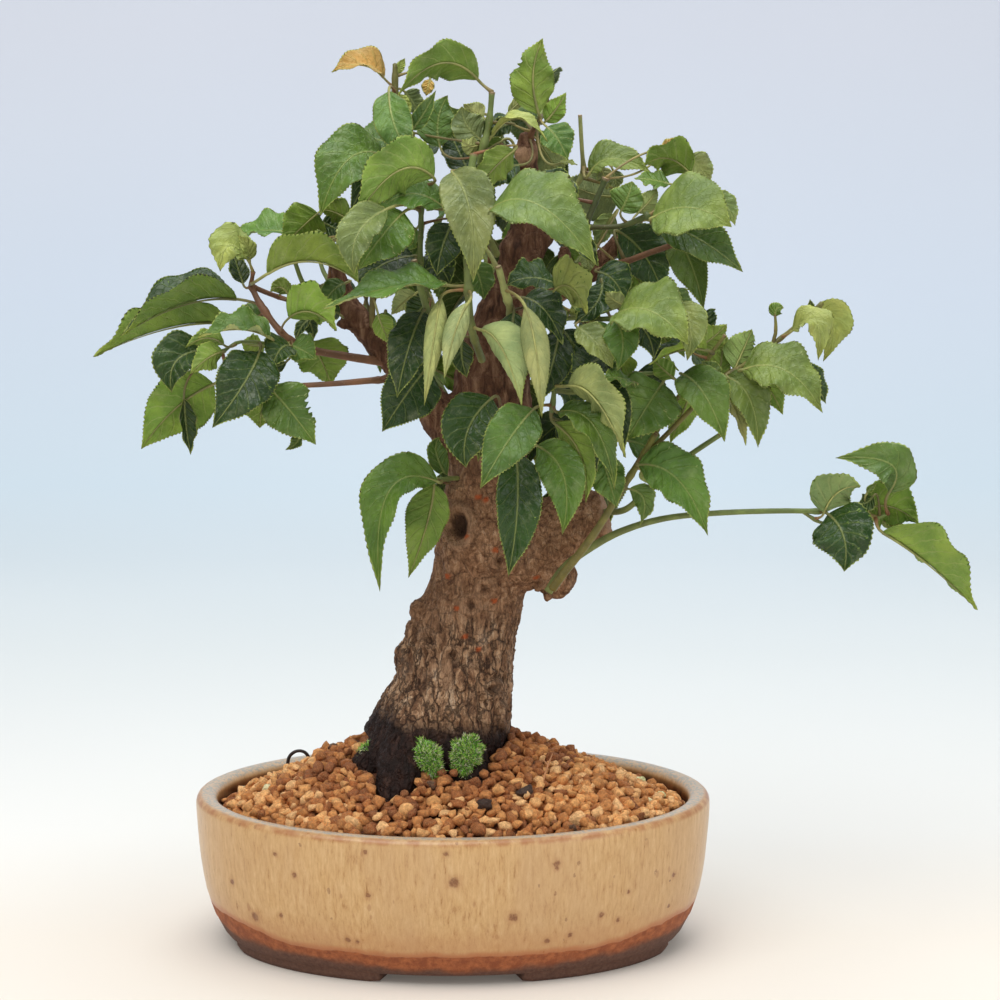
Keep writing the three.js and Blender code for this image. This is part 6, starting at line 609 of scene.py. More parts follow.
def leaf_material(name, under):
    g = Mat(name, 0.45, Specular_IOR_Level=0.42 if not under else 0.22)
    lc = g.xyz(g.attr("lc", "Vector"))          # s, q, random
    lm = g.xyz(g.attr("lm", "Vector"))          # half width mm, length mm, vein count
    s, q, rnd = lc[0], lc[1], lc[2]
    w, L, nv = lm[0], lm[1], lm[2]
    aq = g.math("ABSOLUTE", q)
    x = g.mul(aq, w)                            # mm from the midrib
    uv = g.node("ShaderNodeCombineXYZ", 0, [g.mul(s, L), g.mul(q, w), g.mul(rnd, 40)])
    wob = g.noise(uv, 0.16, 2.0)
    rib = g.math("SUBTRACT", 1.0, g.fit(x, g.fit(s, 0, 1, 0.32, 0.10, "LINEAR"), g.fit(s, 0, 1, 0.95, 0.4, "LINEAR")))
    lift = g.mul(g.math("POWER", aq, 0.85), 0.235)
    ph = g.mul(g.add(g.sub(s, lift), g.mul(g.sub(wob, 0.5), 0.05)), nv)
    side = g.add(ph, g.mul(g.math("GREATER_THAN", q, 0.0), 0.42))
    dv = g.math("ABSOLUTE", g.sub(side, g.math("ROUND", side)))
    dmm = g.mul(g.math("DIVIDE", dv, nv), L)
    veins = g.mul(g.math("SUBTRACT", 1.0, g.fit(dmm, 0.10, 0.62)), g.fit(aq, 0.93, 0.72))
    net = g.math("SUBTRACT", 1.0, g.fit(g.voronoi(uv, 0.42, "DISTANCE_TO_EDGE"), 0.0, 0.09))
    edge = g.fit(g.sub(w, x), 0.75, 0.10)
    tint = g.attr("tint2" if under else "tint")
    tone = g.noise(uv, 0.055, 3.0, 0.6)
    fine = g.noise(uv, 1.1, 2.0, 0.6)
    base = g.mix(g.fit(tone, 0.32, 0.7), g.mix(1.0, tint, (0.72, 0.78, 0.78), "MULTIPLY"), g.mix(1.0, tint, (1.36, 1.26, 1.22), "MULTIPLY"))
    dust = g.mul(g.fit(g.noise(uv, 0.13, 4.0, 0.7), 0.5, 0.72), g.fit(aq, 0.05, 0.35))
    base = g.mix(g.mul(dust, 0.30), base, g.mix(0.5, tint, srgb(186, 190, 150)))
    base = g.mix(g.fit(fine, 0.35, 0.7, 0.0, 0.22), base, g.mix(1.0, base, (1.25, 1.2, 1.15), "MULTIPLY"))
    pale = g.mix(0.42, tint, srgb(150, 166, 84) if not under else srgb(176, 182, 118))
    base = g.mix(g.mul(net, 0.12 if not under else 0.22), base, pale)
    base = g.mix(g.mul(veins, 0.36 if not under else 0.6), base, pale)
    base = g.mix(g.mul(rib, 0.62), base, g.mix(0.4, pale, srgb(178, 182, 112)))
    # a little yellow toward the tip and the thin pale margin
    base = g.mix(g.mul(g.fit(s, 0.80, 1.0), 0.35), base, g.mix(1.0, tint, (1.9, 1.5, 0.8), "MULTIPLY"))
    base = g.mix(g.mul(edge, 0.75), base, srgb(172, 184, 92))
    speck = g.math("LESS_THAN", g.voronoi(uv, 0.11), g.fit(g.noise(uv, 0.03), 0.5, 0.8, 0.0, 0.05))
    base = g.mix(g.mul(speck, 0.7), base, srgb(96, 70, 38))
    h = g.add(g.mul(veins, 0.55), g.add(g.mul(rib, 0.9), g.mul(net, 0.30)))
    if not under:
        h = g.mul(h, -1.0)
    h = g.add(h, g.mul(fine, 0.14))
    puff = g.math("SINE", g.mul(side, 6.2832))
    h = g.add(h, g.mul(g.mul(puff, -0.5), g.fit(aq, 0.05, 0.3)))
    nrm = g.bump(h, 0.8 if not under else 0.75, 0.55)
    rough = g.add(g.attr("tint2" if under else "tint", "Alpha"), g.mul(g.sub(tone, 0.5), 0.22))
    return g.done(base, rough, nrm)


def stem_material():
    g = Mat("stem", 0.55)
    tint = g.attr("tint")
    p = g.obj()
    n1 = g.noise(p, 90, 3, 0.6)
    n2 = g.noise(p, 900, 2, 0.6)
    base = g.mix(g.fit(n1, 0.35, 0.7), g.mix(1.0, tint, (0.72, 0.70, 0.66), "MULTIPLY"), g.mix(1.0, tint, (1.25, 1.2, 1.1), "MULTIPLY"))
    pores = g.fit(g.voronoi(p, 420), 0.16, 0.06)
    base = g.mix(g.mul(pores, 0.5), base, srgb(170, 140, 105))
    base = g.mix(g.fit(n2, 0.55, 0.75, 0.0, 0.35), base, srgb(92, 62, 42))
    return g.done(base, g.add(0.42, g.mul(n1, 0.3)), g.bump(g.add(g.mul(pores, 0.7), g.mul(n2, 0.5)), 0.5, 0.3))


def bark_material():
    g = Mat("bark", 0.8, Specular_IOR_Level=0.28)
    p = g.obj()
    z = g.xyz(p)[2]
    tall = g.scale(p, (1, 1, 0.28))
    mark = g.xyz(g.attr("mark", "Vector"))      # orange pore, hollow, bare patch
    mask2 = g.xyz(g.attr("zone", "Vector"))     # wet, fibrous, young
    wet, fib, young = mask2[0], mask2[1], mask2[2]
    big = g.noise(p, 34, 4, 0.6)
    mid = g.noise(tall, 230, 5, 0.65, 0.6)
    fine = g.noise(tall, 900, 4, 0.7, 0.4)
    crack = g.fit(g.voronoi(g.vec("ADD", tall, g.scale(g.node("ShaderNodeTexNoise", 1, {"Vector": p, "Scale": 160.0, "Detail": 3.0}), (0.006, 0.006, 0.006))), 190, "DISTANCE_TO_EDGE"), 0.0, 0.11)
    wrinkle = g.fit(g.voronoi(g.vec("ADD", g.scale(p, (0.8, 0.8, 1.0)), g.scale(g.node("ShaderNodeTexNoise", 1, {"Vector": p, "Scale": 110.0, "Detail": 4.0}), (0.014, 0.014, 0.014))), 105, "DISTANCE_TO_EDGE"), 0.0, 0.06)
    flake = g.noise(g.scale(p, (1, 1, 0.75)), 210, 6, 0.72, 1.4)
    plain = g.ramp(flake, [(0.30, srgb(74, 46, 30)), (0.42, srgb(134, 95, 66)), (0.55, srgb(174, 132, 98)), (0.72, srgb(214, 178, 144))])
    plain = g.mix(g.fit(fine, 0.42, 0.7, 0.0, 0.7), plain, srgb(78, 50, 34))
    plain = g.mix(g.mul(g.math("SUBTRACT", 1.0, wrinkle), 0.3), plain, srgb(76, 50, 36))
    rough_c = g.ramp(mid, [(0.28, srgb(74, 48, 32)), (0.42, srgb(142, 104, 76)), (0.55, srgb(194, 154, 118)), (0.75, srgb(232, 204, 174))])
    rough_c = g.mix(g.fit(fine, 0.4, 0.68, 0.0, 0.75), rough_c, srgb(62, 42, 32))
    rough_c = g.mix(g.mul(g.math("SUBTRACT", 1.0, crack), 0.75), rough_c, srgb(44, 29, 22))
    base = g.mix(fib, plain, rough_c)
    base = g.mix(g.fit(big, 0.35, 0.7, 0.0, 0.55), base, g.mix(1.0, base, (0.62, 0.58, 0.55), "MULTIPLY"))
    grey = g.fit(g.noise(p, 60, 3), 0.5, 0.75, 0.0, 0.5)
    base = g.mix(g.mul(grey, g.mul(fib, 0.7)), base, srgb(148, 126, 108))
    ycol = g.ramp(mid, [(0.3, srgb(56, 34, 24)), (0.48, srgb(104, 70, 50)), (0.7, srgb(158, 122, 96))])
    base = g.mix(young, base, ycol)
    wcol = g.ramp(mid, [(0.3, srgb(20, 10, 7)), (0.55, srgb(44, 24, 17)), (0.8, srgb(84, 56, 42))])
    base = g.mix(wet, base, wcol)
    base = g.mix(mark[2], base, g.mix(g.fit(fine, 0.42, 0.7, 0.0, 0.7), srgb(168, 132, 102), srgb(108, 76, 52)))
    base = g.mix(g.mul(mark[1], 0.9), base, g.mix(fine, srgb(26, 15, 10), srgb(84, 56, 38)))
    base = g.mix(g.mul(mark[0], 0.95), base, g.mix(fine, srgb(134, 52, 20), srgb(206, 104, 52)))
    h = g.add(g.mul(mid, g.fit(fib, 0, 1, 0.6, 1.1)), g.add(g.mul(fine, 0.4), g.mul(wrinkle, 0.3)))
    h = g.add(h, g.mul(crack, g.mul(fib, 0.5)))
    rough = g.sub(g.fit(mid, 0.3, 0.7, 0.86, 0.7), g.mul(wet, 0.22))
    return g.done(base, rough, g.bump(g.add(h, g.mul(flake, g.fit(fib, 0, 1, 0.8, 0.2))), 0.9, 2.2))


def tinted_material(name, scale, depth, rough, spread=0.35, dusty=None):
    """Colour from the piece's own tint, with two scales of mottling."""
    g = Mat(name, rough)
    p = g.obj()
    tint = g.attr("tint")
    a = g.noise(p, scale, 4, 0.65)
    b = g.noise(p, scale * 3.3, 3, 0.7)
    dark = g.mix(1.0, tint, (1 - spread, 1 - spread * 1.1, 1 - spread * 1.2), "MULTIPLY")
    light = g.mix(1.0, tint, (1 + spread, 1 + spread * 0.95, 1 + spread * 0.9), "MULTIPLY")
    base = g.mix(g.fit(a, 0.35, 0.68), dark, light)
    base = g.mix(g.fit(b, 0.5, 0.72, 0.0, 0.4), base, g.mix(1.0, dark, (0.7, 0.66, 0.62), "MULTIPLY"))
    if dusty is not None:
        base = g.mix(g.fit(b, 0.52, 0.38, 0.0, 0.35), base, dusty)
    return g.done(base, g.add(rough - 0.08, g.mul(a, 0.16)), g.bump(g.add(g.mul(a, 0.6), g.mul(b, 0.6)), 0.8, depth))


def pot_material(spots):
    g = Mat("pot_glaze", 0.3)
    p = g.obj()
    x, y, z = g.xyz(p)
    zmm = g.mul(z, 1000.0)
    ring = g.attr("ring", "Fac")                # 0 base .. 1 wall .. 2 rim top .. 3 inside
    down = g.scale(p, (1, 1, 0.09))
    streak = g.noise(g.scale(p, (1, 1, 0.16)), 520, 5, 0.75, 0.25)
    fine = g.noise(g.scale(p, (1, 1, 0.35)), 1500, 3, 0.7)
    broad = g.noise(g.scale(p, (1, 1, 0.3)), 40, 3, 0.6)
    glaze = g.ramp(streak, [(0.28, srgb(166, 116, 66)), (0.43, srgb(200, 158, 104)), (0.6, srgb(214, 176, 124)), (0.8, srgb(226, 196, 150))])
    glaze = g.mix(g.fit(broad, 0.3, 0.75, 0.0, 0.5), glaze, srgb(196, 158, 116))
    glaze = g.mix(g.fit(fine, 0.55, 0.8, 0.0, 0.45), glaze, srgb(168, 118, 72))
    fleck = g.fit(g.sub(g.fit(g.noise(p, 55), 0.42, 0.72, 0.0, 0.30), g.voronoi(g.scale(p, (1, 1, 0.5)), 210)), 0.0, 0.10)
    glaze = g.mix(g.mul(fleck, 0.42), glaze, srgb(158, 104, 62))
    # warmer toward the base, where the glaze thins
    glaze = g.mix(g.mul(g.fit(zmm, 36.0, 21.0), 0.45), glaze, srgb(190, 136, 88))
    # iron spots
    wob = g.scale(g.vec("SUBTRACT", g.node("ShaderNodeTexNoise", 1, {"Vector": p, "Scale": 480.0, "Detail": 3.0}), (0.5, 0.5, 0.5)), (0.0022, 0.0022, 0.0022))
    pw = g.vec("ADD", p, wob)
    core = halo = None
    for (sx, sy, sz, r) in [(a, b_, c_, r_ * 1.4) for a, b_, c_, r_ in spots]:
        c = (sx / 1000 + FROM_POT[0], sy / 1000 + FROM_POT[1], sz / 1000)
        d = g.mul(g.vec("DISTANCE", pw, c, 1), 1000.0)
        a, b = g.fit(d, r * 1.0, r * 0.45), g.fit(d, r * 2.1, r * 0.6)
        core = a if core is None else g.max(core, a)
        halo = b if halo is None else g.max(halo, b)
    back = g.voronoi(g.vec("ADD", p, wob), 46)
    rare = g.fit(back, 0.055, 0.035)
    tiny = g.math("LESS_THAN", g.voronoi(g.scale(g.vec("ADD", pw, (0.3, 0.1, 0.2)), (1, 1, 0.6)), 120), g.fit(g.noise(p, 30, 2), 0.45, 0.7, 0.0, 0.13))
    core = g.max(g.max(core, rare), g.mul(tiny, 0.6))
    core = g.mul(core, g.fit(g.noise(p, 900, 3, 0.7), 0.25, 0.6, 0.45, 1.0))
    glaze = g.mix(g.mul(halo, 0.35), glaze, srgb(168, 112, 66))
    glaze = g.mix(g.mul(core, 0.82), glaze, srgb(116, 64, 36))
    # rim: pale bluish grey speckle on top, rust where it breaks over the corners
    rimtop = g.mix(g.fit(g.noise(p, 620, 3, 0.7), 0.42, 0.62), srgb(204, 176, 142), srgb(158, 158, 150))
    glaze = g.mix(g.mul(g.fit(ring, 1.45, 1.75), g.fit(ring, 2.62, 2.3)), glaze, rimtop)
    line = g.mul(g.fit(ring, 0.98, 1.25), g.fit(ring, 1.72, 1.42))
    glaze = g.mix(g.mul(line, g.fit(g.noise(p, 160, 3), 0.3, 0.65, 0.1, 0.72)), glaze, srgb(162, 100, 60))
    inner = g.mix(g.fit(g.noise(g.scale(p, (1, 1, 0.2)), 200, 3), 0.35, 0.7), srgb(74, 42, 24), srgb(124, 76, 44))
    glaze = g.mix(g.fit(ring, 2.5, 2.75), glaze, inner)
    # bare clay band at the foot of the wall, with painted shade: the clay is darker toward the bottom and on the feet,
    # where the wall turns under toward the floor
    ax = g.math("ABSOLUTE", g.sub(x, float(FROM_POT[0])))
    clay = g.mix(g.fit(g.noise(p, 260, 4, 0.65), 0.35, 0.7), srgb(140, 74, 40), srgb(178, 104, 60))
    clay = g.mix(g.fit(g.noise(p, 1400, 3, 0.7), 0.55, 0.75, 0.0, 0.7), clay, srgb(70, 48, 40))
    # painted shade: darker clay low on the wall and on the feet
    dark = g.mix(g.fit(g.noise(p, 500, 3, 0.7), 0.3, 0.75), srgb(80, 54, 44), srgb(108, 78, 64))
    clay = g.mix(g.fit(g.add(g.sub(zmm, g.mul(ax, 55.0)), g.mul(g.noise(p, 60, 3), 9.0)), 14.5, 9.5, 0.0, 0.94), clay, dark)
    lip = g.add(g.sub(zmm, g.fit(ax, 0.068, 0.118, 0.0, 6.5)), g.mul(g.sub(g.noise(p, 60, 3), 0.5), 5.0))
    isclay = g.mul(g.fit(lip, 17.0, 16.0), g.fit(ring, 2.2, 1.9))
    brow = g.mul(g.fit(lip, 20.5, 17.0), g.fit(ring, 2.2, 1.9))
    glaze = g.mix(g.mul(brow, 0.75), glaze, srgb(178, 104, 58))
    base = g.mix(isclay, glaze, clay)
    rough = g.add(g.fit(isclay, 0.0, 1.0, 0.30, 0.78), g.mul(g.sub(streak, 0.5), 0.16))
    h = g.add(g.mul(streak, 0.25), g.add(g.mul(fine, 0.12), g.mul(core, -0.3)))
    h = g.add(h, g.mul(isclay, g.mul(g.noise(p, 1600, 3, 0.7), 0.7)))
    h = g.add(h, g.mul(isclay, -0.8))
    return g.done(base, rough, g.bump(h, 0.5, 0.5))


# ------------------------------------------------------------------ pot
# height, distance in from the rim size, and a running number for the materials
OUTER = [(5.0, 19.0, 0.0), (5.0, 15.6, 0.05), (5.5, 15.0, 0.1), (8.0, 13.0, 0.2), (10.5, 11.7, 0.3), (15.0, 9.4, 0.4),
         (16.0, 8.9, 0.42), (16.6, 8.4, 0.45), (20.0, 7.2, 0.5), (24.0, 5.9, 0.55), (29.0, 4.5, 0.6), (36.0, 3.1, 0.65), (44.0, 2.0, 0.7), (52.0, 1.2, 0.75), (60.0, 0.55, 0.8),
         (66.0, 0.15, 0.85), (70.0, 0.0, 0.9), (73.2, 0.0, 1.0), (74.4, 0.25, 1.15), (75.5, 0.85, 1.3), (76.3, 1.7, 1.45), (76.8, 2.8, 1.6),
         (77.0, 4.2, 1.8), (76.95, 6.4, 2.0), (76.6, 8.2, 2.2), (75.9, 9.5, 2.35), (74.8, 10.4, 2.5), (73.2, 10.9, 2.65), (70.0, 11.0, 2.8),
         (58.0, 10.7, 2.9), (44.0, 10.2, 3.0), (30.0, 12.2, 3.0), (22.0, 15.0, 3.0), (16.0, 19.0, 3.0), (14.0, 24.0, 3.0)]
SEG = 288
HA, HB = POT_L / 2, POT_D / 2


def ring_pts(z, d, n=SEG, wob=True):
    t = 2 * np.pi * np.arange(n) / n
    P = np.stack([(HA - d) * np.cos(t), (HB - d) * np.sin(t), np.full(n, float(z))], -1)
    return P


def make_pot(mat):
    rings, val = [], []
    prof = np.array(OUTER)
    for (z, d, r) in prof:
        rings.append(ring_pts(z, d))
        val.append(np.full(SEG, r))
    V = np.vstack(rings)
    W = np.concatenate(val)
    # a hand-made unevenness of a few tenths of a millimetre
    n = unit(np.stack([V[:, 0] / HA ** 2, V[:, 1] / HB ** 2, 0 * V[:, 0]], -1))
    amt = 0.22 * perlin(V * [0.03, 0.03, 0.06]) + 0.08 * perlin(V * [0.12, 0.12, 0.25] + 9)
    V = V - n * np.abs(amt)[:, None] * smooth(V[:, 2], 6, 16)[:, None]
    m = len(prof)
    i, k = np.meshgrid(np.arange(m - 1), np.arange(SEG), indexing="ij")
    a, b = i * SEG + k, i * SEG + (k + 1) % SEG
    Q = np.stack([a, b, b + SEG, a + SEG], -1).reshape(-1, 4)
    c0, c1 = len(V), len(V) + 1
    V = np.vstack([V, [0, 0, 5.0], [0, 0, 14.0]])
    W = np.concatenate([W, [0, 3.0]])
    k = np.arange(SEG)
    o = (m - 1) * SEG
    T = np.vstack([np.stack([np.full(SEG, c0), (k + 1) % SEG, k], -1), np.stack([np.full(SEG, c1), o + k, o + (k + 1) % SEG], -1)])
    pot = make("pot_body", V, [Q, T], [mat], attrs={"ring": W}, nodes=[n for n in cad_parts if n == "pot" or n.startswith("pot_foot")])
    # feet and drain holes are joined and cut as solids
    tools = []
    for sx in (1, -1):
        for sy in (1, -1):
            t0, t1 = math.acos(35 / (HA - 17)), math.acos(107 / (HA - 17))
            ts = np.linspace(t0, t1, 41)
            sec = [(16.9, 0.9), (17.6, 0.0), (29.2, 0.0), (30.0, 0.9), (31.0, 7.2), (15.4, 7.2), (15.6, 3.0)]
            F = []
            for j, t in enumerate(ts):
                e = min(j, 40 - j)
                lift = 0.7 * (1 - smooth(np.array(float(e)), 0, 2.0))
                for (d, z) in sec:
                    F.append([(HA - d) * math.cos(t) * sx, (HB - d) * math.sin(t) * sy, z + (lift if z < 5 else 0)])
            F = np.array(F)
            ns = len(sec)
            i, k = np.meshgrid(np.arange(40), np.arange(ns), indexing="ij")
            a, b = i * ns + k, i * ns + (k + 1) % ns
            Qf = np.stack([a, b, b + ns, a + ns], -1).reshape(-1, 4)
            Tf = [[0, k + 1, k] for k in range(1, ns - 1)] + [[40 * ns, 40 * ns + k, 40 * ns + k + 1] for k in range(1, ns - 1)]
            if sx * sy > 0:
                Qf = Qf[:, ::-1]
                Tf = np.array(Tf)[:, ::-1]
            tools.append(("UNION", F, Qf, np.array(Tf)))
    for sx in (1, -1):
        t = 2 * np.pi * np.arange(40) / 40
        H = np.vstack([np.stack([sx * 52 + 9 * np.cos(t), 9 * np.sin(t), np.full(40, z)], -1) for z in (-3.0, 18.0)])
        k = np.arange(40)
        Qh = np.stack([k, (k + 1) % 40, (k + 1) % 40 + 40, k + 40], -1)
        Th = np.array([[0, k + 1, k] for k in range(1, 39)] + [[40, 40 + k, 41 + k] for k in range(1, 39)])
        tools.append(("DIFFERENCE", H, Qh, Th))
    for op, F, Qf, Tf in tools:
        me = bpy.data.meshes.new("tool")
        me.from_pydata([tuple(v) for v in (F / 1000 + FROM_POT)], [], [tuple(int(x) for x in q) for q in Qf] + [tuple(int(x) for x in q) for q in Tf])
        bm = bmesh.new()
        bm.from_mesh(me)
        bmesh.ops.recalc_face_normals(bm, faces=bm.faces)
        bm.to_mesh(me)
        bm.free()
        tool = bpy.data.objects.new("tool", me)
        bpy.context.scene.collection.objects.link(tool)
        mod = pot.modifiers.new("join", "BOOLEAN")
        mod.operation = op
        mod.solver = "EXACT"
        mod.object = tool
        bpy.context.view_layer.objects.active = pot
        bpy.ops.object.modifier_apply(modifier=mod.name)
        bpy.data.objects.remove(tool)
    me = pot.data
    me.polygons.foreach_set("use_smooth", np.ones(len(me.polygons), bool))
    return pot


# ------------------------------------------------------------------ soil
SOIL_EDGE, SOIL_CREST = 73.0, 106.0
SA, SB = HA - 11.4, HB - 11.4


def soil_height(x, y):
    e = np.minimum(1, np.hypot(x / SA, y / SB))
    shoulder = 3.5 * np.exp(-((x + 60) ** 2 + (y - 4) ** 2) / 900)
    return SOIL_EDGE + (SOIL_CREST - SOIL_EDGE) * (1 - e ** 1.7) + shoulder * (1 - e ** 4)


def grain_shapes(count, sub, seed):
    bm = bmesh.new()
    bmesh.ops.create_icosphere(bm, subdivisions=sub, radius=1.0)
    base = np.array([v.co[:] for v in bm.verts])
    faces = np.array([[v.index for v in f.verts] for f in bm.faces])
    bm.free()
    rng = np.random.RandomState(seed)
    out = []
    for i in range(count):
        v = base * (1 + 0.75 * fbm(base * 1.15 + i * 7.7, 4, 0.62)[:, None])
        for _ in range(7):
            n = unit(rng.normal(size=3))
            d = v @ n
            cut = rng.uniform(0.42, 0.8)
            v = v - np.maximum(d - cut, 0)[:, None] * n * 0.95
        v = v * rng.uniform([0.82, 0.75, 0.62], [1.12, 1.0, 0.92])
        v = v + 0.10 * unit(v) * perlin(v * 3.1 + i)[:, None]
        v = v - v.mean(0)
        v /= np.abs(v).max() * 0.94
        out.append(v)
    return out, faces


def rotations(n, rng):
    q = unit(rng.normal(size=(n, 4)))
    w, x, y, z = q.T
    return np.stack([1 - 2 * (y * y + z * z), 2 * (x * y - z * w), 2 * (x * z + y * w), 2 * (x * y + z * w), 1 - 2 * (x * x + z * z), 2 * (y * z - x * w),
                     2 * (x * z - y * w), 2 * (y * z + x * w), 1 - 2 * (x * x + y * y)], -1).reshape(n, 3, 3)


def back_dip(e, y):
    # the heap falls away toward the back wall and leaves the wall bare there
    return 6.5 * smooth(np.asarray(e, float), 0.25, 0.8) * smooth(np.asarray(y, float), -30, 26)


def make_soil(mat_grain, mat_bed, trunk_tree):
    # bed under the grains, dark brown: partly painted shade seen in the gaps between them
    n, rows = 96, 26
    V, t = [], 2 * np.pi * np.arange(n) / n
    for z, d in ((14.4, 24.3), (16.4, 19.4), (22, 15.4), (30, 12.6), (44, 10.6), (58, 11.1), (69.0, 11.5)):
        V.append(ring_pts(z, d, n))
    for r in range(rows):
        f = 1 - r / rows
        x, y = SA * f * np.cos(t) * 0.995, SB * f * np.sin(t) * 0.995
        h = soil_height(x, y) - 3.4 + 0.9 * fbm(np.stack([x, y, 0 * x], -1) * 0.22, 2) - back_dip(np.full(n, f), y)
        V.append(np.stack([x, y, h], -1))
    m = len(V)
    V = np.vstack(V + [[[0, 0, 14.4], [0, 0, SOIL_CREST - 3.4]]])
    i, k = np.meshgrid(np.arange(m - 1), np.arange(n), indexing="ij")
    a, b = i * n + k, i * n + (k + 1) % n
    Q = np.stack([a, b, b + n, a + n], -1).reshape(-1, 4)
    k = np.arange(n)
    o = (m - 1) * n
    T = np.vstack([np.stack([np.full(n, m * n), (k + 1) % n, k], -1), np.stack([np.full(n, m * n + 1), o + k, o + (k + 1) % n], -1)])
    tint = np.tile([*srgb(84, 46, 24), 1], (len(V), 1))
    make("soil_bed_mass", V, [Q, T], [mat_bed], attrs={"tint": tint}, nodes=["soil_bed"])
    # grains in three loose layers
    rng = np.random.RandomState(31)
    cand = []
    for layer, (sp, dz, keep, r0, r1) in enumerate([(5.6, -3.2, 1.0, 3.0, 3.8), (5.5, -0.2, 1.0, 2.6, 3.7), (7.2, 2.5, 0.62, 2.2, 3.5)]):
        for iy, yy in enumerate(np.arange(-SB, SB, sp * 0.866)):
            for xx in np.arange(-SA, SA, sp):
                x = xx + (iy % 2) * sp / 2 + layer * 2.3 + rng.uniform(-1.25, 1.25)
                y = yy + layer * 1.7 + rng.uniform(-1.25, 1.25)
                r = rng.uniform(r0, r1) * (1.0 if rng.rand() > 0.12 else 0.72)
                e = math.hypot(x / (SA - r * 0.9), y / (SB - r * 0.9))
                if e > 0.995 or rng.rand() > keep:
                    continue
                z = float(soil_height(np.array(x), np.array(y))) + dz + rng.uniform(-1.1, 1.1) - float(back_dip(e, y))
                if layer == 2 and e > 0.93:
                    z -= 2.2
                if layer == 2:
                    z -= 0.7
                c = Vector(((x / 1000 + FROM_POT[0]), (y / 1000 + FROM_POT[1]), z / 1000))
                loc, nor, _, dist = trunk_tree.find_nearest(c)
                if loc is not None and (dist * 1000 < r * 0.55 or (c - loc).dot(nor) < 0):
                    continue
                near = dist * 1000 if loc is not None else 99
                cand.append((x, y, z, r, layer, near))
    C = np.array(cand)
    shapes, faces = grain_shapes(40, 2, 3)
    R = rotations(len(C), rng)
    which = rng.randint(0, len(shapes), len(C))
    # colours: tan and orange, rust near the trunk and in drifts, a few pale or dark
    pal = np.array([srgb(186, 136, 88), srgb(174, 122, 74), srgb(162, 108, 62), srgb(198, 152, 106), srgb(150, 96, 52)])
    rust = np.array([srgb(132, 78, 40), srgb(118, 66, 32), srgb(146, 92, 50), srgb(106, 58, 30)])
    drift = fbm(np.stack([C[:, 0] * 0.022, C[:, 1] * 0.035, 0 * C[:, 0] + 3], -1), 2)
    pr = 0.05 + 0.72 * np.exp(-(np.maximum(C[:, 5] - 3, 0) / 20) ** 2) + 0.9 * smooth(drift, 0.12, 0.5)
    is_rust = rng.rand(len(C)) < pr
    col = np.where(is_rust[:, None], rust[rng.randint(0, 4, len(C))], pal[rng.randint(0, 5, len(C))])
    odd = rng.rand(len(C))
    far = (np.abs(C[:, 0]) > 88)
    col[odd < 0.006] = srgb(70, 48, 38)
    col[(odd > 0.985) & far] = srgb(206, 196, 158)
    col[(odd > 0.972) & (odd <= 0.985) & far] = srgb(160, 160, 118)
    col = 1.95 * col * rng.uniform(0.84, 1.08, (len(C), 1)) * np.array([0.97, 1.03, 1.0])
    col = col * np.minimum(1, 0.88 / col.max(1, keepdims=True))
    ang = np.arctan2(C[:, 1] / SB, C[:, 0] / SA)
    part = ((ang + np.pi) / (2 * np.pi) * 4).astype(int) % 4
    for pi in range(4):
        idx = np.where(part == pi)[0]
        Vs, Fs, Cs = [], [], []
        off = 0
        for i in idx:
            v = shapes[which[i]] @ R[i].T
            if C[i, 4] > 0:
                v[:, 2] *= 0.9
            Vs.append(v * C[i, 3] * 1.16 + C[i, :3])
            Fs.append(faces + off)
            Cs.append(np.tile([*col[i], 1], (len(v), 1)))
            off += len(v)
        V = np.vstack(Vs)
        # nothing pokes through the pot's inner wall
        e = np.hypot(V[:, 0] / (HA - 11.15), V[:, 1] / (HB - 11.15))
        f = np.where(e > 1, 1 / np.maximum(e, 1e-6), 1)
        V[:, 0] *= f
        V[:, 1] *= f
        make("soil_grains_%d" % pi, V, [np.vstack(Fs)], [mat_grain], attrs={"tint": np.vstack(Cs)}, nodes=["soil_bed"])
    return len(C)


# ------------------------------------------------------------------ trunk
ROOTS = [
    [[-16, -6, 118, 21], [-30, -16, 103, 13], [-44, -22, 90, 9], [-58, -30, 70, 5]],
    [[-14, -12, 116, 20], [-24, -34, 98, 13], [-28, -46, 84, 9], [-28, -58, 66, 5]],
    [[-4, -10, 116, 20], [6, -30, 98, 12], [12, -40, 86, 8], [18, -52, 68, 5]],
    [[4, 0, 116, 20], [20, -4, 98, 9], [34, -6, 84, 7], [48, -10, 68, 5]],
    [[-2, 12, 114, 19], [10, 30, 98, 12], [22, 44, 82, 8], [34, 58, 64, 5]],
    [[-16, 12, 114, 19], [-32, 28, 98, 12], [-48, 42, 82, 8], [-60, 54, 64, 5]],
    [[-8, 2, 96, 30], [-8, 2, 74, 26], [-6, 2, 52, 18], [-4, 0, 34, 9]],
]
BURRS = [
    [-13, -4, 171, 8.5, 9, 7], [-19, -5, 145, 10.5, 9, 14], [-15, -4, 159, 9.5, 9, 9], [2, -22, 140, 10, 8, 14],
    [15, -19, 166, 9, 7, 12], [-3, 14, 172, 10, 14, 14], [10, 16, 150, 12, 14, 18], [34, -18, 196, 10, 8, 9],
    [62, -8, 228, 10, 10, 8], [31, -8, 350, 8, 7, 10], [4, -12, 232, 7, 7, 9], [25, -20, 242, 8, 5, 8],
]
EYE = np.array([23.8, -1575.0, 494.0])       # the camera's place, mm from the pot's middle


def tree_of(obj):
    me = obj.data
    co = np.zeros(len(me.vertices) * 3, np.float32)
    me.vertices.foreach_get("co", co)
    return BVHTree.FromPolygons([Vector(c) for c in co.reshape(-1, 3)], [tuple(p.vertices) for p in me.polygons])


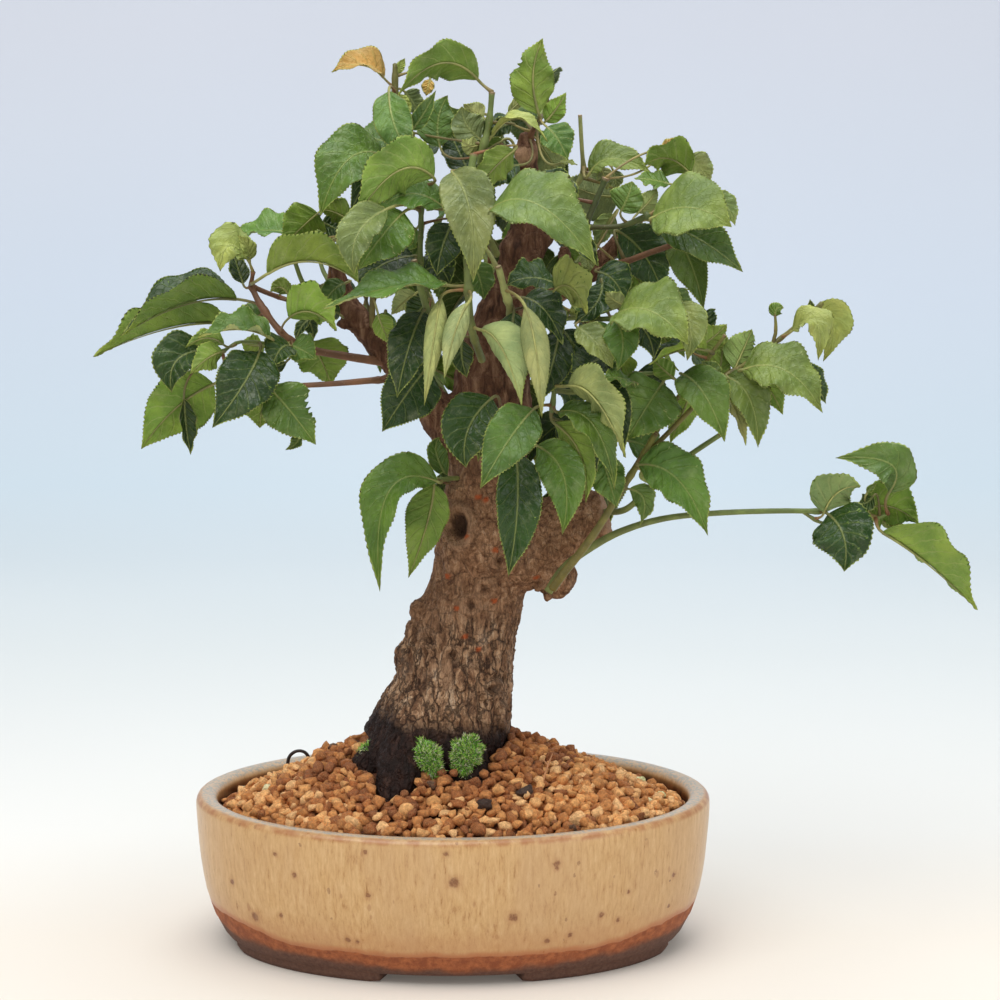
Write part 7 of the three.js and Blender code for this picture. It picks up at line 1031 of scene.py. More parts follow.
def make_trunk(mat):
    Vs, Qs, Ts, off = [], [], [], 0
    for line in [*WOOD, *ROOTS]:
        L = catmull(line, 4.0)
        v, q, t = tube(L, 28, round_end=False)
        Vs.append(v); Qs.append(q + off); Ts.append(t + off); off += len(v)
    bm = bmesh.new()
    bmesh.ops.create_icosphere(bm, subdivisions=3, radius=1.0)
    ball = np.array([v.co[:] for v in bm.verts])
    bf = np.array([[v.index for v in f.verts] for f in bm.faces])
    bm.free()
    for (x, y, z, a, b, c) in BURRS:
        Vs.append(ball * [a, b, c] + [x, y, z]); Ts.append(bf + off); off += len(ball)
    o = make("trunk_bark", np.vstack(Vs), [np.vstack(Qs), np.vstack(Ts)], [mat], nodes=["trunk"])
    bpy.context.view_layer.objects.active = o
    mod = o.modifiers.new("skin", "REMESH")
    mod.mode = "VOXEL"
    mod.voxel_size = 0.00115
    mod.adaptivity = 0
    bpy.ops.object.modifier_apply(modifier=mod.name)
    mod = o.modifiers.new("ease", "SMOOTH")
    mod.factor = 0.5
    mod.iterations = 9
    bpy.ops.object.modifier_apply(modifier=mod.name)
    me = o.data
    n = len(me.vertices)
    co = np.zeros(n * 3, np.float32)
    me.vertices.foreach_get("co", co)
    P = (co.reshape(-1, 3).astype(float) - FROM_POT) * 1000
    no = np.zeros(n * 3, np.float32)
    me.vertices.foreach_get("normal", no)
    N = no.reshape(-1, 3).astype(float)
    z, x, y = P[:, 2], P[:, 0], P[:, 1]
    bvh = tree_of(o)
    thin = smooth(z, 262, 300)                  # limbs and leader are finer
    wig = fbm(P * 0.035, 2)
    low = z + 0.26 * np.minimum(y, 10) + 7 * wig
    wet = smooth(low, 115, 103)
    wet = np.clip(wet + smooth(-x + 8 * wig, 22, 34) * smooth(low, 130, 112) * (y < 10), 0, 1)
    fib = smooth(z + 16 * fbm(P * 0.03 + 5, 2), 182, 150)
    fib = np.clip(fib + 0.5 * smooth(fbm(P * 0.028 + 11, 2), 0.1, 0.4), 0, 1)
    young = smooth(z + 12 * wig + 0.25 * np.maximum(x - 10, 0), 232, 262)
    q = P * [0.30, 0.30, 0.075] + fbm(P * 0.06, 2)[:, None] * 1.4
    ridge = 1 - np.abs(fbm(q, 3)) * 2.0
    crease = 1 - np.abs(fbm(P * [0.13, 0.13, 0.16] + 31 + 1.5 * fbm(P * 0.05 + 8, 2)[:, None], 3)) * 3.2
    fine = fbm(P * [0.75, 0.75, 0.34], 3)
    lump = fbm(P * 0.045 + 3, 3)
    d = 2.0 * lump * (1 - 0.6 * thin) + (0.35 + 0.95 * fib + 0.3 * young) * (ridge - 0.45) + (0.34 + 0.55 * fib) * fine - 0.75 * np.clip(crease, 0, 1) ** 2 * (1 - 0.5 * young)
    # rounded ring scars round the leader and limbs
    d += 0.35 * young * np.sin(z * 0.55 + 6 * lump)
    mark = np.zeros((n, 3))

    def place(px, pz):
        """A point seen at (px, pz) in the plane y = -28, carried on to the bark."""
        a = EYE
        b = np.array([px, -28.0, pz])
        r = unit(b - a)
        hit = bvh.ray_cast(Vector(a / 1000 + FROM_POT), Vector(r))
        return (np.array(hit[0]) - FROM_POT) * 1000 if hit[0] is not None else b

    for (px, pz, a, b, kind) in MARKS:
        c = place(px, pz)
        rx = P - c
        near = np.abs(rx[:, 1]) < 16
        r = np.sqrt((rx[:, 0] / a) ** 2 + (rx[:, 2] / b) ** 2) + 0.10 * perlin(P * 0.4)
        if kind == "hollow":
            d += near * (-4.6 * np.maximum(1 - r ** 2, 0) + 2.6 * np.exp(-((r - 1.55) / 0.36) ** 2) - 0.8 * np.exp(-((r - 2.1) / 0.15) ** 2))
            mark[:, 1] = np.maximum(mark[:, 1], near * smooth(r, 1.12, 0.72))
            mark[:, 2] = np.maximum(mark[:, 2], near * 0.8 * np.exp(-((r - 1.5) / 0.4) ** 2))
        elif kind == "knot":
            d += near * (-2.2 * np.maximum(1 - (r / 0.5) ** 2, 0) + 1.9 * np.exp(-((r - 1.0) / 0.32) ** 2) - 0.6 * np.exp(-((r - 1.7) / 0.15) ** 2))
            mark[:, 1] = np.maximum(mark[:, 1], near * 0.6 * smooth(r, 0.5, 0.25))
            mark[:, 2] = np.maximum(mark[:, 2], near * 0.45 * np.exp(-((r - 1.0) / 0.3) ** 2))
        elif kind == "bare":
            d = np.where(near, d * (1 - 0.8 * smooth(r, 1.2, 0.8)) - 0.9 * smooth(r, 1.1, 0.7), d)
            mark[:, 2] = np.maximum(mark[:, 2], near * smooth(r, 1.1, 0.75))
        elif kind == "pore":
            d += near * 0.8 * smooth(r, 1.1, 0.4)
            mark[:, 0] = np.maximum(mark[:, 0], near * smooth(r, 1.15, 0.7))
        elif kind == "scar":
            mark[:, 2] = np.maximum(mark[:, 2], near * smooth(r, 1.1, 0.85))
            d += near * 0.7 * np.exp(-((r - 1.0) / 0.2) ** 2)
    P2 = P + N * d[:, None]
    me.vertices.foreach_set("co", (P2 / 1000 + FROM_POT).astype(np.float32).ravel())
    me.attributes.new("mark", "FLOAT_VECTOR", "POINT").data.foreach_set("vector", mark.astype(np.float32).ravel())
    zone = np.stack([wet, fib * (1 - 0.5 * young), young], -1)
    me.attributes.new("zone", "FLOAT_VECTOR", "POINT").data.foreach_set("vector", zone.astype(np.float32).ravel())
    me.polygons.foreach_set("use_smooth", np.ones(len(me.polygons), bool))
    me.update()
    return o


# ------------------------------------------------------------------ leaves
PROF = np.array([[0, 0], [0.02, 0.16], [0.06, 0.38], [0.13, 0.66], [0.22, 0.88], [0.32, 0.98], [0.42, 1], [0.52, 0.95], [0.62, 0.83], [0.72, 0.64], [0.81, 0.42], [0.89, 0.22], [0.95, 0.09], [1, 0]])
_fs = np.linspace(0, 1, 401)
_fw = np.interp(_fs, PROF[:, 0], PROF[:, 1])
for _ in range(3):
    _fw[1:-1] = (_fw[:-2] + _fw[1:-1] * 2 + _fw[2:]) / 4


def width_at(s):
    return np.interp(s, _fs, _fw)


# Leaf tones, colour and roughness, partly real leaf colour and partly painted light: D is darkened as painted shade for
# leaves deep in the canopy, L is painted lighter for lit glossy faces, G is a painted grey-blue sheen; M, P, Y and Y2
# are the leaves' own greens, pales and yellows
TOP = {"D": (srgb(36, 64, 14), 0.34), "M": (srgb(84, 116, 42), 0.40), "L": (srgb(108, 128, 54), 0.48), "G": (srgb(122, 136, 78), 0.36),
       "P": (srgb(130, 142, 80), 0.6), "Y": (srgb(206, 160, 84), 0.5), "Y2": (srgb(158, 172, 84), 0.48)}
# Undersides: paler as real undersides are, and brightened further as painted light shining through the blade
UNDER = {"D": (srgb(72, 94, 36), 0.55), "M": (srgb(122, 150, 62), 0.58), "L": (srgb(160, 174, 98), 0.6), "G": (srgb(138, 158, 92), 0.55),
         "P": (srgb(162, 172, 112), 0.62), "Y": (srgb(200, 158, 88), 0.6), "Y2": (srgb(164, 176, 92), 0.6)}
QS = np.array([-1, -0.9, -0.68, -0.42, -0.16, 0, 0.16, 0.42, 0.68, 0.9, 1])


def leaf_mesh(row, k, rng):
    """Closed thin blade. Returns verts, quads, tris, and per-vertex data; faces of the upper side come first."""
    b, m, t = np.array(row[4:7]), np.array(row[7:10]), np.array(row[10:13])
    N0, W, fold, tone = np.array(row[13:16]), row[16], math.radians(row[17]), TONES[int(row[18])]
    L = np.linalg.norm(t - b) * 1.04
    nu = 66 if L > 40 else 46 if L > 24 else 28
    c = 2 * m - 0.5 * (b + t)
    s = np.linspace(0, 1, nu + 1)
    S = s[:, None]
    p = (1 - S) ** 2 * b + 2 * S * (1 - S) * c + S * S * t
    T = unit(2 * (1 - S) * (c - b) + 2 * S * (t - c))
    N = unit(N0 - T * (T @ N0)[:, None])
    A = np.cross(N, T)
    w = width_at(s) * W / 2
    q = QS[None, :]
    aq = np.abs(q)
    uneven = 1 + 0.05 * np.sign(q) * rng.uniform(-1, 1)
    half = w[:, None] * aq * uneven
    roll = ROLLED.get(k)
    arch = rng.uniform(0.10, 0.20)
    curl = rng.uniform(-0.02, 0.14)
    if roll:
        rho = roll * (0.75 + 0.25 * np.sin(np.pi * S))
        R = w[:, None] * math.cos(fold) * 1.02 / max(math.sin(min(roll, math.pi / 2)), 0.6) + 0 * aq
        th = aq * rho
        out = R * np.sin(th)
        up = R * (1 - np.cos(th))
    else:
        out = half * math.cos(fold)
        up = half * math.sin(fold) + w[:, None] * arch * (aq - aq ** 2) * 2.0 * (1 - 0.3 * S) - w[:, None] * curl * aq ** 3 * 0.5
        # soft groove at the midrib instead of a sharp fold
        up = up + w[:, None] * 0.05 * np.exp(-(aq / 0.12) ** 2) * math.sin(fold)
    # waves along the margin
    f1, f2 = rng.uniform(2.2, 3.6), rng.uniform(2.2, 3.6)
    ph = rng.uniform(0, 6.28, 2)
    wave = np.where(q > 0, np.sin(2 * np.pi * f1 * S + ph[0]), np.sin(2 * np.pi * f2 * S + ph[1]))
    amp = rng.uniform(0.05, 0.115) * min(W, 26) * (0.35 if roll else 1.0)
    up = up + amp * wave * aq ** 2.2 * np.sin(np.pi * np.clip(S, 0, 1)) ** 0.7
    # quilting between the side veins
    nv = 6.0 + (L > 45) * 1.5 + rng.uniform(-0.6, 0.8)
    vph = (S - 0.235 * aq ** 0.85) * nv + 0.42 * (q > 0)
    fr = np.abs(vph - np.round(vph))
    up = up - 0.030 * min(W, 28) * np.exp(-(fr / 0.15) ** 2) * np.clip(aq * 6, 0, 1) * np.clip((1 - aq) * 5, 0, 1) * (0.6 if roll else 1.0)
    # teeth
    tooth = ((np.arange(nu + 1) % 2) == 0).astype(float)[:, None]
    tw = (0.017 * min(W, 30) + 0.14) * rng.uniform(0.55, 1.35, (nu + 1, 1))
    shape = np.clip(w[:, None] / (W / 2) * 3, 0, 1)
    out = out + np.where(aq > 0.99, (tooth - 0.55) * tw * shape, 0)
    fwd = np.where(aq > 0.99, tooth * L / nu * 0.55 * shape, 0)
    for (kk, side, s0, s1, depth) in BITES:
        if kk == k:
            mid, hw = (s0 + s1) / 2, (s1 - s0) / 2
            e = np.clip(1 - ((S - mid) / hw) ** 2, 0, 1) ** 0.5 * depth * (0.85 + 0.3 * np.sin(S * 90))
            limit = w[:, None] * (1 - e)
            over = (np.sign(q) == side) & (out > limit)
            out = np.where(over, limit + (out - limit) * 0.03, out)
    sgn = np.sign(q)
    grid = p[:, None, :] + A[:, None, :] * (sgn * out)[..., None] + N[:, None, :] * up[..., None] + T[:, None, :] * fwd[..., None]
    thick = 0.30 * np.clip(np.minimum(1.0, (1 - aq) * 6 + 0.0), 0.0, 1) + 0.0 * S
    low = grid - N[:, None, :] * thick[..., None]
    nq = len(QS)
    # vertex numbers: base, tip, then upper rows, then lower rows without the margins
    up_id = np.zeros((nu + 1, nq), int)
    lo_id = np.zeros((nu + 1, nq), int)
    verts = [p[0], p[-1]]
    up_id[0, :] = lo_id[0, :] = 0
    up_id[-1, :] = lo_id[-1, :] = 1
    up_id[1:-1] = 2 + np.arange((nu - 1) * nq).reshape(nu - 1, nq)
    o = 2 + (nu - 1) * nq
    lo_id[1:-1, 1:-1] = o + np.arange((nu - 1) * (nq - 2)).reshape(nu - 1, nq - 2)
    lo_id[1:-1, 0] = up_id[1:-1, 0]
    lo_id[1:-1, -1] = up_id[1:-1, -1]
    V = np.vstack([p[:1], p[-1:], grid[1:-1].reshape(-1, 3), low[1:-1, 1:-1].reshape(-1, 3)])

    def faces(ids, flip):
        a, bb, cc, dd = ids[1:-2, :-1], ids[1:-2, 1:], ids[2:-1, 1:], ids[2:-1, :-1]
        Q = np.stack([a, bb, cc, dd], -1).reshape(-1, 4)
        t0 = np.stack([np.zeros(nq - 1, int), ids[1, 1:], ids[1, :-1]], -1)
        t1 = np.stack([np.ones(nq - 1, int), ids[-2, :-1], ids[-2, 1:]], -1)
        Tt = np.vstack([t0, t1])
        return (Q[:, ::-1], Tt[:, ::-1]) if flip else (Q, Tt)
    Qu, Tu = faces(up_id, False)
    Ql, Tl = faces(lo_id, True)
    sm = np.broadcast_to(S, (nu + 1, nq))
    qm = np.broadcast_to(q, (nu + 1, nq))
    wm = np.broadcast_to(w[:, None], (nu + 1, nq))
    def per(a):
        return np.concatenate([[a[0, nq // 2]], [a[-1, nq // 2]], a[1:-1].ravel(), a[1:-1, 1:-1].ravel()])
    rnd = rng.rand()
    lc = np.stack([per(sm), per(qm), np.full(len(V), rnd)], -1)
    lm = np.stack([per(wm), np.full(len(V), L), np.full(len(V), nv)], -1)
    seen_top = N0 @ (EYE - m) > 0
    tt, tu = (tone, "P" if tone not in ("D",) else "M") if seen_top else ("M" if tone in ("P", "M", "L", "G") else tone, tone)
    if tone in ("Y", "Y2"):
        tt = tu = tone
    def col(table, key):
        c0, r0 = table[key]
        c1 = c0 * rng.uniform(0.76, 1.16) * np.array([rng.uniform(0.90, 1.07), 1.0, rng.uniform(0.85, 1.15)])
        return np.tile([*c1, r0 + rng.uniform(-0.04, 0.05)], (len(V), 1))
    return V, Qu, Tu, Ql, Tl, lc, lm, col(TOP, tt), col(UNDER, tu), (p, T, N, w, L)


def stalk_line(row, frame_):
    p, T, N, w, L = frame_
    q, b = np.array(row[1:4]), np.array(row[4:7])
    d = np.linalg.norm(b - q)
    c = b - T[0] * 0.45 * d
    s = np.linspace(0, 1, max(5, int(d / 1.6)))[:, None]
    P = (1 - s) ** 2 * q + 2 * s * (1 - s) * c + s * s * b
    big = 1.0 if L > 30 else 0.75
    r = big * (0.72 + 0.5 * np.exp(-(s[:, 0] * d / 2.2) ** 2) + 0.06 * s[:, 0])
    # on along the underside of the blade, as the raised midrib
    idx = np.linspace(1, len(p) - 4, 22).astype(int)
    f = idx / (len(p) - 1)
    M = p[idx] - N[idx] * (0.26 + 0.10 * (1 - f))[:, None]
    rm = big * (0.62 * (1 - f) ** 1.1 + 0.10)
    return np.hstack([np.vstack([P, M]), np.concatenate([r, rm])[:, None]]), len(P)


STEM_TINT = {
    "green": srgb(112, 132, 70), "dark": srgb(72, 88, 44), "olive": srgb(112, 112, 52), "brown": srgb(120, 84, 60), "pale": srgb(158, 166, 104), "red": srgb(140, 92, 66),
}
STEM_OF = {"left_outer": "brown", "left_side": "green", "left_lower": "brown", "top_left": "olive", "top_cut": "green", "cut_left": "green", "cut_mid": "pale", "leader": "brown",
           "upper_right_b": "pale", "upper_right_d": "dark", "upper_right_e": "brown", "right_inner": "green", "right_olive": "olive", "right_cut": "green", "far_right": "green",
           "front_mid": "green", "front_left": "green"}


def make_shoot(si, name, mats):
    rng = np.random.RandomState(100 + si)
    rows = [(k, r) for k, r in enumerate(LEAVES) if int(r[0]) == si]
    starts = np.array([r[1:4] for _, r in rows]) if rows else np.zeros((0, 3))
    Vs, quads, tris, qm, tm = [], [], [], [], []
    at = {"tint": [], "tint2": [], "lc": [], "lm": []}
    off = 0

    def put(V, Q, T, mi, tint, tint2=None, lc=None, lm=None):
        nonlocal off
        Vs.append(V)
        if len(Q):
            quads.append(Q + off); qm.append(np.full(len(Q), mi))
        if len(T):
            tris.append(T + off); tm.append(np.full(len(T), mi))
        at["tint"].append(tint)
        at["tint2"].append(tint if tint2 is None else tint2)
        at["lc"].append(np.zeros((len(V), 3)) if lc is None else lc)
        at["lm"].append(np.ones((len(V), 3)) if lm is None else lm)

    key = STEM_OF.get(name, "green")
    cut = "cut" in name or name in ("upper_right_b", "upper_right_d", "upper_right_e", "front_mid", "front_left")
    for li, line in enumerate(SHOOTS[name]):
        Lr = catmull(line, 1.8)
        arc = np.concatenate([[0], np.cumsum(np.linalg.norm(np.diff(Lr[:, :3], axis=0), axis=1))])
        r = Lr[:, 3].copy()
        for qp in starts:
            dd = np.linalg.norm(Lr[:, :3] - qp, axis=1)
            j = int(dd.argmin())
            if dd[j] < 5:
                r *= 1 + 0.22 * np.exp(-((arc - arc[j]) / 1.8) ** 2)
        r *= 1 + 0.05 * fbm(Lr[:, :3] * 0.25, 2)
        Lr[:, 3] = r * (0.74 if key != "brown" else 0.86)
        end = Lr[-1, :3]
        free = (not len(starts)) or np.linalg.norm(starts - end, axis=1).min() > 7 or (cut and li == 0)
        V, Q, T = tube(Lr, 12, round_end=not free)
        c0 = STEM_TINT[key] * rng.uniform(0.9, 1.1)
        f = arc / max(arc[-1], 1e-6)
        colr = np.repeat(np.array([c0 * (1 - 0.25 * (1 - ff)) + STEM_TINT["brown"] * 0.25 * (1 - ff) for ff in f]), 12, axis=0)
        colr = np.vstack([colr, colr[:1], colr[-1:]])
        if free:
            colr[-1] = srgb(214, 196, 160)
            colr[-14:-2] = srgb(112, 84, 58)
            # flat pale cut face with a dark rim
            ringp = V[-14:-2]
            mid = ringp.mean(0)
            inner = mid + (ringp - mid) * 0.72
            nV = np.vstack([V[:-2], inner, V[-2:]])
            nC = np.vstack([colr[:-2], np.tile(srgb(206, 186, 150), (12, 1)), colr[-2:]])
            o = len(V) - 14
            k = np.arange(12)
            Q = np.vstack([Q, np.stack([o + k, o + (k + 1) % 12, o + 12 + (k + 1) % 12, o + 12 + k], -1)])
            T2 = T.copy()
            T2[:12, 0] = len(nV) - 2
            T2[12:] = np.stack([np.full(12, len(nV) - 1), o + 12 + k, o + 12 + (k + 1) % 12], -1)
            V, colr, T = nV, nC, T2
        put(V, Q, T, 0, np.hstack([colr, np.ones((len(colr), 1))]))
        off += len(V)
    for k, row in rows:
        V, Qu, Tu, Ql, Tl, lc, lm, tint, tint2, fr = leaf_mesh(row, k, rng)
        Vs.append(V)
        quads += [Qu + off, Ql + off]; qm += [np.full(len(Qu), 1), np.full(len(Ql), 2)]
        tris += [Tu + off, Tl + off]; tm += [np.full(len(Tu), 1), np.full(len(Tl), 2)]
        at["tint"].append(tint); at["tint2"].append(tint2); at["lc"].append(lc); at["lm"].append(lm)
        off += len(V)
        line, ns = stalk_line(row, fr)
        V, Q, T = tube(line, 7, round_end=True)
        u = np.clip(np.arange(len(line)) / max(ns - 1, 1), 0, 1)
        red = srgb(168, 110, 78) if rng.rand() < 0.45 else srgb(150, 132, 82)
        pale = srgb(166, 170, 104)
        cc = red * (1 - u[:, None]) * 0.9 + pale * u[:, None]
        # painted shade: stalks of the darker-toned leaves are dimmed with them
        cc = cc * (0.5 if TONES[int(row[18])] == "D" else 0.72 if TONES[int(row[18])] == "M" else 0.9)
        cc = np.repeat(cc, 7, axis=0)
        cc = np.vstack([cc, cc[:1], cc[-1:]])
        put(V, Q, T, 0, np.hstack([cc, np.ones((len(cc), 1))]))
        off += len(V)
    V = np.vstack(Vs)
    return make("foliage_" + name, V, [np.vstack(quads), np.vstack(tris)], mats, midx=np.concatenate(qm + tm),
                attrs={k: np.vstack(v) for k, v in at.items()}, nodes=["shoot_" + name])


# ------------------------------------------------------------------ moss and small things
def make_moss(name, node, c, r, lean, count, seed, mat, trunk_tree):
    rng = np.random.RandomState(seed)
    bm = bmesh.new()
    bmesh.ops.create_icosphere(bm, subdivisions=4, radius=1.0)
    ball = np.array([v.co[:] for v in bm.verts])
    bf = np.array([[v.index for v in f.verts] for f in bm.faces])
    bm.free()
    c, r = np.array(c, float), np.array(r, float)

    def bend(d):
        P = d * r
        return c + P + np.array(lean) * (P[:, 2:3] / r[2])
    def lump(d):
        return (0.78 + 0.62 * fbm(d * 1.9 + seed, 3))[:, None] * np.where(d[:, 2:3] < 0, 1 - 0.25 * d[:, 2:3], 1 - 0.1 * d[:, 2:3])
    body = bend(ball * lump(ball))
    Vs, Fs, Cs = [body], [bf], [np.tile([*srgb(76, 108, 40), 1], (len(body), 1))]
    off = len(body)
    d = unit(rng.normal(size=(count, 3)))
    root = bend(d * (lump(d) - 0.03))
    out = unit(unit(d / r) + rng.normal(size=(count, 3)) * 0.55 + np.array([0, -0.12, 0.28]))
    ln = rng.uniform(0.9, 2.9, count) * (1 + 0.5 * (rng.rand(count) > 0.93))
    wd = rng.uniform(0.16, 0.30, count)
    side = unit(np.cross(out, rng.normal(size=(count, 3))))
    up = np.cross(out, side)
    pal = 2.6 * np.array([srgb(122, 176, 58), srgb(96, 150, 46), srgb(146, 192, 92), srgb(70, 118, 36), srgb(178, 206, 136)])
    pick = pal[rng.randint(0, 5, count)] * rng.uniform(0.85, 1.15, (count, 1))
    for j, a in enumerate((0, 2.094, 4.189)):
        Vs.append(root + side * (np.cos(a) * wd)[:, None] + up * (np.sin(a) * wd)[:, None])
    Vs.append(root + out * ln[:, None])
    i = np.arange(count)
    A, B, Cc, D = off + i, off + count + i, off + 2 * count + i, off + 3 * count + i
    Fs += [np.stack([A, B, D], -1), np.stack([B, Cc, D], -1), np.stack([Cc, A, D], -1), np.stack([A, Cc, B], -1)]
    pick = np.minimum(pick, 0.9)
    low = np.hstack([pick * 0.55, np.ones((count, 1))])
    tip = np.hstack([pick, np.ones((count, 1))])
    Cs += [low, low, low, tip]
    return make(name, np.vstack(Vs), [np.vstack(Fs)], [mat], attrs={"tint": np.vstack(Cs)}, nodes=[node])


def make_stone(name, node, x, y, lift, r, seed, colour, mat):
    shapes, faces = grain_shapes(1, 4, seed)
    v = shapes[0] * r + [x, y, float(soil_height(np.array(x), np.array(y))) + lift]
    v = v + 0.25 * perlin(v * 0.9)[:, None]
    return make(name, v, [faces], [mat], attrs={"tint": np.tile([*colour, 1], (len(v), 1))}, nodes=[node])


# ------------------------------------------------------------------ stage
def make_stage():
    ox, oy = FROM_POT[0], FROM_POT[1]
    # one sheet: floor, then a wide curve up into the backdrop
    prof = [(-2.6, 0.0), (1.05, 0.0)]
    for k in range(1, 13):
        a = k / 12 * math.pi / 2
        prof.append((1.05 + 0.75 * math.sin(a), 0.75 * (1 - math.cos(a))))
    prof += [(1.8, 1.2), (1.8, 2.6)]
    V, F = [], []
    for (yy, zz) in prof:
        V += [(ox - 2.6, oy + yy, zz - 0.0002), (ox + 2.6, oy + yy, zz - 0.0002)]
    for i in range(len(prof) - 1):
        F.append((2 * i, 2 * i + 1, 2 * i + 3, 2 * i + 2))
    me = bpy.data.meshes.new("backdrop")
    me.from_pydata(V, [], F)
    me.polygons.foreach_set("use_smooth", np.ones(len(F), bool))
    g = Mat("backdrop_paper", 0.95)
    p = g.obj()
    x, y, z = g.xyz(p)
    h = g.add(z, g.mul(g.fit(g.sub(y, float(FROM_POT[1])), 0.0, 1.8, 0.0, 1.8, "LINEAR"), 0.25))
    col = g.ramp(h, BACK_RAMP)
    col = g.mix(g.fit(g.noise(p, 1.4, 2), 0.3, 0.7, 0.0, 0.05), col, (1, 1, 1))
    g.done(col, None, None)
    g.put(g.p.inputs["Emission Color"], col)
    g.p.inputs["Emission Strength"].default_value = BACK_GLOW
    g.p.inputs["Specular IOR Level"].default_value = 0.1
    me.materials.append(g.m)
    o = bpy.data.objects.new("backdrop", me)
    bpy.context.scene.collection.objects.link(o)

    w = bpy.data.worlds.new("studio")
    bpy.context.scene.world = w
    w.use_nodes = True
    bg = w.node_tree.nodes["Background"]
    bg.inputs[0].default_value = (0.93, 0.96, 1.0, 1)
    bg.inputs[1].default_value = WORLD

    def area(name, at, to, size, power, color=(1, 1, 1)):
        d = bpy.data.lights.new(name, "AREA")
        d.shape = "RECTANGLE"
        d.size, d.size_y = size
        d.energy = power
        d.color = color
        ob = bpy.data.objects.new(name, d)
        bpy.context.scene.collection.objects.link(ob)
        at = Vector((at[0] + ox, at[1] + oy, at[2]))
        to = Vector((to[0] + ox, to[1] + oy, to[2]))
        ob.matrix_world = Matrix.Translation(at) @ (to - at).to_track_quat("-Z", "Y").to_matrix().to_4x4()
        return ob
    for args in LIGHTS:
        area(*args)


def make_camera():
    d = bpy.data.cameras.new("camera")
    d.sensor_width = 36
    d.lens = 115.2
    d.clip_start, d.clip_end = 0.05, 20
    o = bpy.data.objects.new("camera", d)
    bpy.context.scene.collection.objects.link(o)
    o.location = Vector(EYE / 1000 + FROM_POT)
    o.rotation_euler = (math.radians(90 - 9.65), 0, 0)
    bpy.context.scene.camera = o


# ------------------------------------------------------------------ features
# Marks on the bark: x, z in the plane y = -28, half sizes, kind.
MARKS = [
    (3.7, 218.0, 4.2, 6.4, 'hollow'), (16.4, 186.5, 4.2, 4.0, 'knot'), (9.5, 178.4, 4.6, 4.4, 'knot'), (-10.8, 160.8, 4.5, 4.0, 'knot'), (23.8, 201.0, 3.8, 4.2, 'knot'), (0.1, 153.2, 4.0, 3.6, 'knot'),
    (19.8, 135.5, 4.4, 4.0, 'knot'), (28.8, 118.7, 5.0, 5.5, 'knot'), (-2.9, 143.1, 3.2, 9.0, 'bare'), (13.0, 232.4, 1.7, 1.25, 'pore'), (16.9, 231.0, 1.7, 1.25, 'pore'), (7.6, 213.0, 1.7, 1.25, 'pore'),
    (21.3, 206.0, 1.7, 1.25, 'pore'), (-2.3, 193.0, 1.7, 1.25, 'pore'), (2.6, 176.9, 1.7, 1.25, 'pore'), (21.3, 180.4, 1.7, 1.25, 'pore'), (6.5, 162.3, 1.7, 1.25, 'pore'), (13.4, 156.2, 1.7, 1.25, 'pore'),
    (41.5, 192.5, 1.7, 1.25, 'pore'), (76.3, 224.5, 4.0, 12.5, 'scar'), (35.4, 398.5, 5.5, 4.5, 'scar'), (45.5, 182.5, 3.6, 3.6, 'knot'),
]
# Iron spots in the glaze: x, y, z, radius.
SPOTS = [
    (1.8, -94.6, 56.2, 2.3), (30.1, -89.8, 37.8, 2.0), (-96.7, -57.6, 27.9, 2.2), (51.2, -87.5, 63.6, 1.6), (51.2, -87.4, 61.5, 1.0), (-2.0, -95.5, 70.8, 1.2),
    (-39.7, -89.3, 48.6, 1.2), (-108.5, -49.5, 43.3, 1.4), (-76.1, -76.3, 54.8, 1.1), (-85.5, -71.7, 64.0, 1.0), (-40.9, -90.6, 70.4, 0.9), (57.8, -79.7, 25.7, 1.3),
    (72.9, -75.1, 34.3, 1.3), (81.4, -69.5, 30.1, 1.1), (86.7, -68.8, 44.0, 1.0), (109.7, -48.5, 46.7, 1.3), (46.6, -82.8, 23.6, 1.2), (-49.9, -81.9, 23.8, 1.3),
    (-45.5, -83.0, 23.2, 1.0), (-83.1, -68.8, 32.4, 1.0),
]
# Bites out of a leaf's margin: leaf number, side, from, to, depth.
BITES = [(21, 1, 0.45, 0.75, 0.45), (81, -1, 0.5, 0.72, 0.4), (73, 1, 0.3, 0.5, 0.35), (147, 1, 0.55, 0.8, 0.5)]
# Leaves rolled lengthwise: leaf number: how far each side turns, in radians.
ROLLED = {61: 1.9, 62: 1.7, 63: 1.8, 78: 1.6}

BACK_GLOW = 0.10
WORLD = 0.42
BACK_RAMP = [(t, srgb(*c) * k) for t, c, k in (
    (0.0, (252, 244, 232), 0.76), (0.05, (251, 250, 245), 0.74), (0.17, (240, 246, 246), 0.72), (0.34, (220, 235, 244), 0.80),
    (0.55, (218, 228, 240), 0.84), (0.85, (221, 225, 235), 0.84), (1.0, (221, 225, 235), 0.84))]
LIGHTS = [
    ("key", (-0.55, -0.9, 1.75), (0.0, 0.0, 0.22), (1.5, 1.2), 19.0, (1.0, 0.985, 0.96)),
    ("top", (0.25, 0.15, 1.9), (0.0, 0.0, 0.2), (1.6, 1.4), 20.0, (0.97, 0.985, 1.0)),
    ("fill", (1.3, -1.1, 0.7), (0.0, 0.0, 0.2), (1.2, 1.2), 4.0, (1.0, 1.0, 1.0)),
]

# ------------------------------------------------------------------ build
make_camera()
make_stage()
M_TOP, M_UNDER, M_STEM = leaf_material("leaf_upper", False), leaf_material("leaf_under", True), stem_material()
M_BARK = bark_material()
M_POT = pot_material(SPOTS)
M_GRAIN = tinted_material("soil_grain", 620, 0.9, 0.92, 0.30, srgb(206, 164, 116))
# the soil bed's dark brown is partly painted shade in the gaps between the grains
M_BED = tinted_material("soil_bed_gap_shade", 500, 0.5, 0.95, 0.3)
M_MOSS = tinted_material("moss", 700, 0.2, 0.75, 0.25)
M_STONE = tinted_material("dark_stone", 600, 0.6, 0.8, 0.35)
M_WIRE = tinted_material("wire_coat", 800, 0.2, 0.5, 0.3)

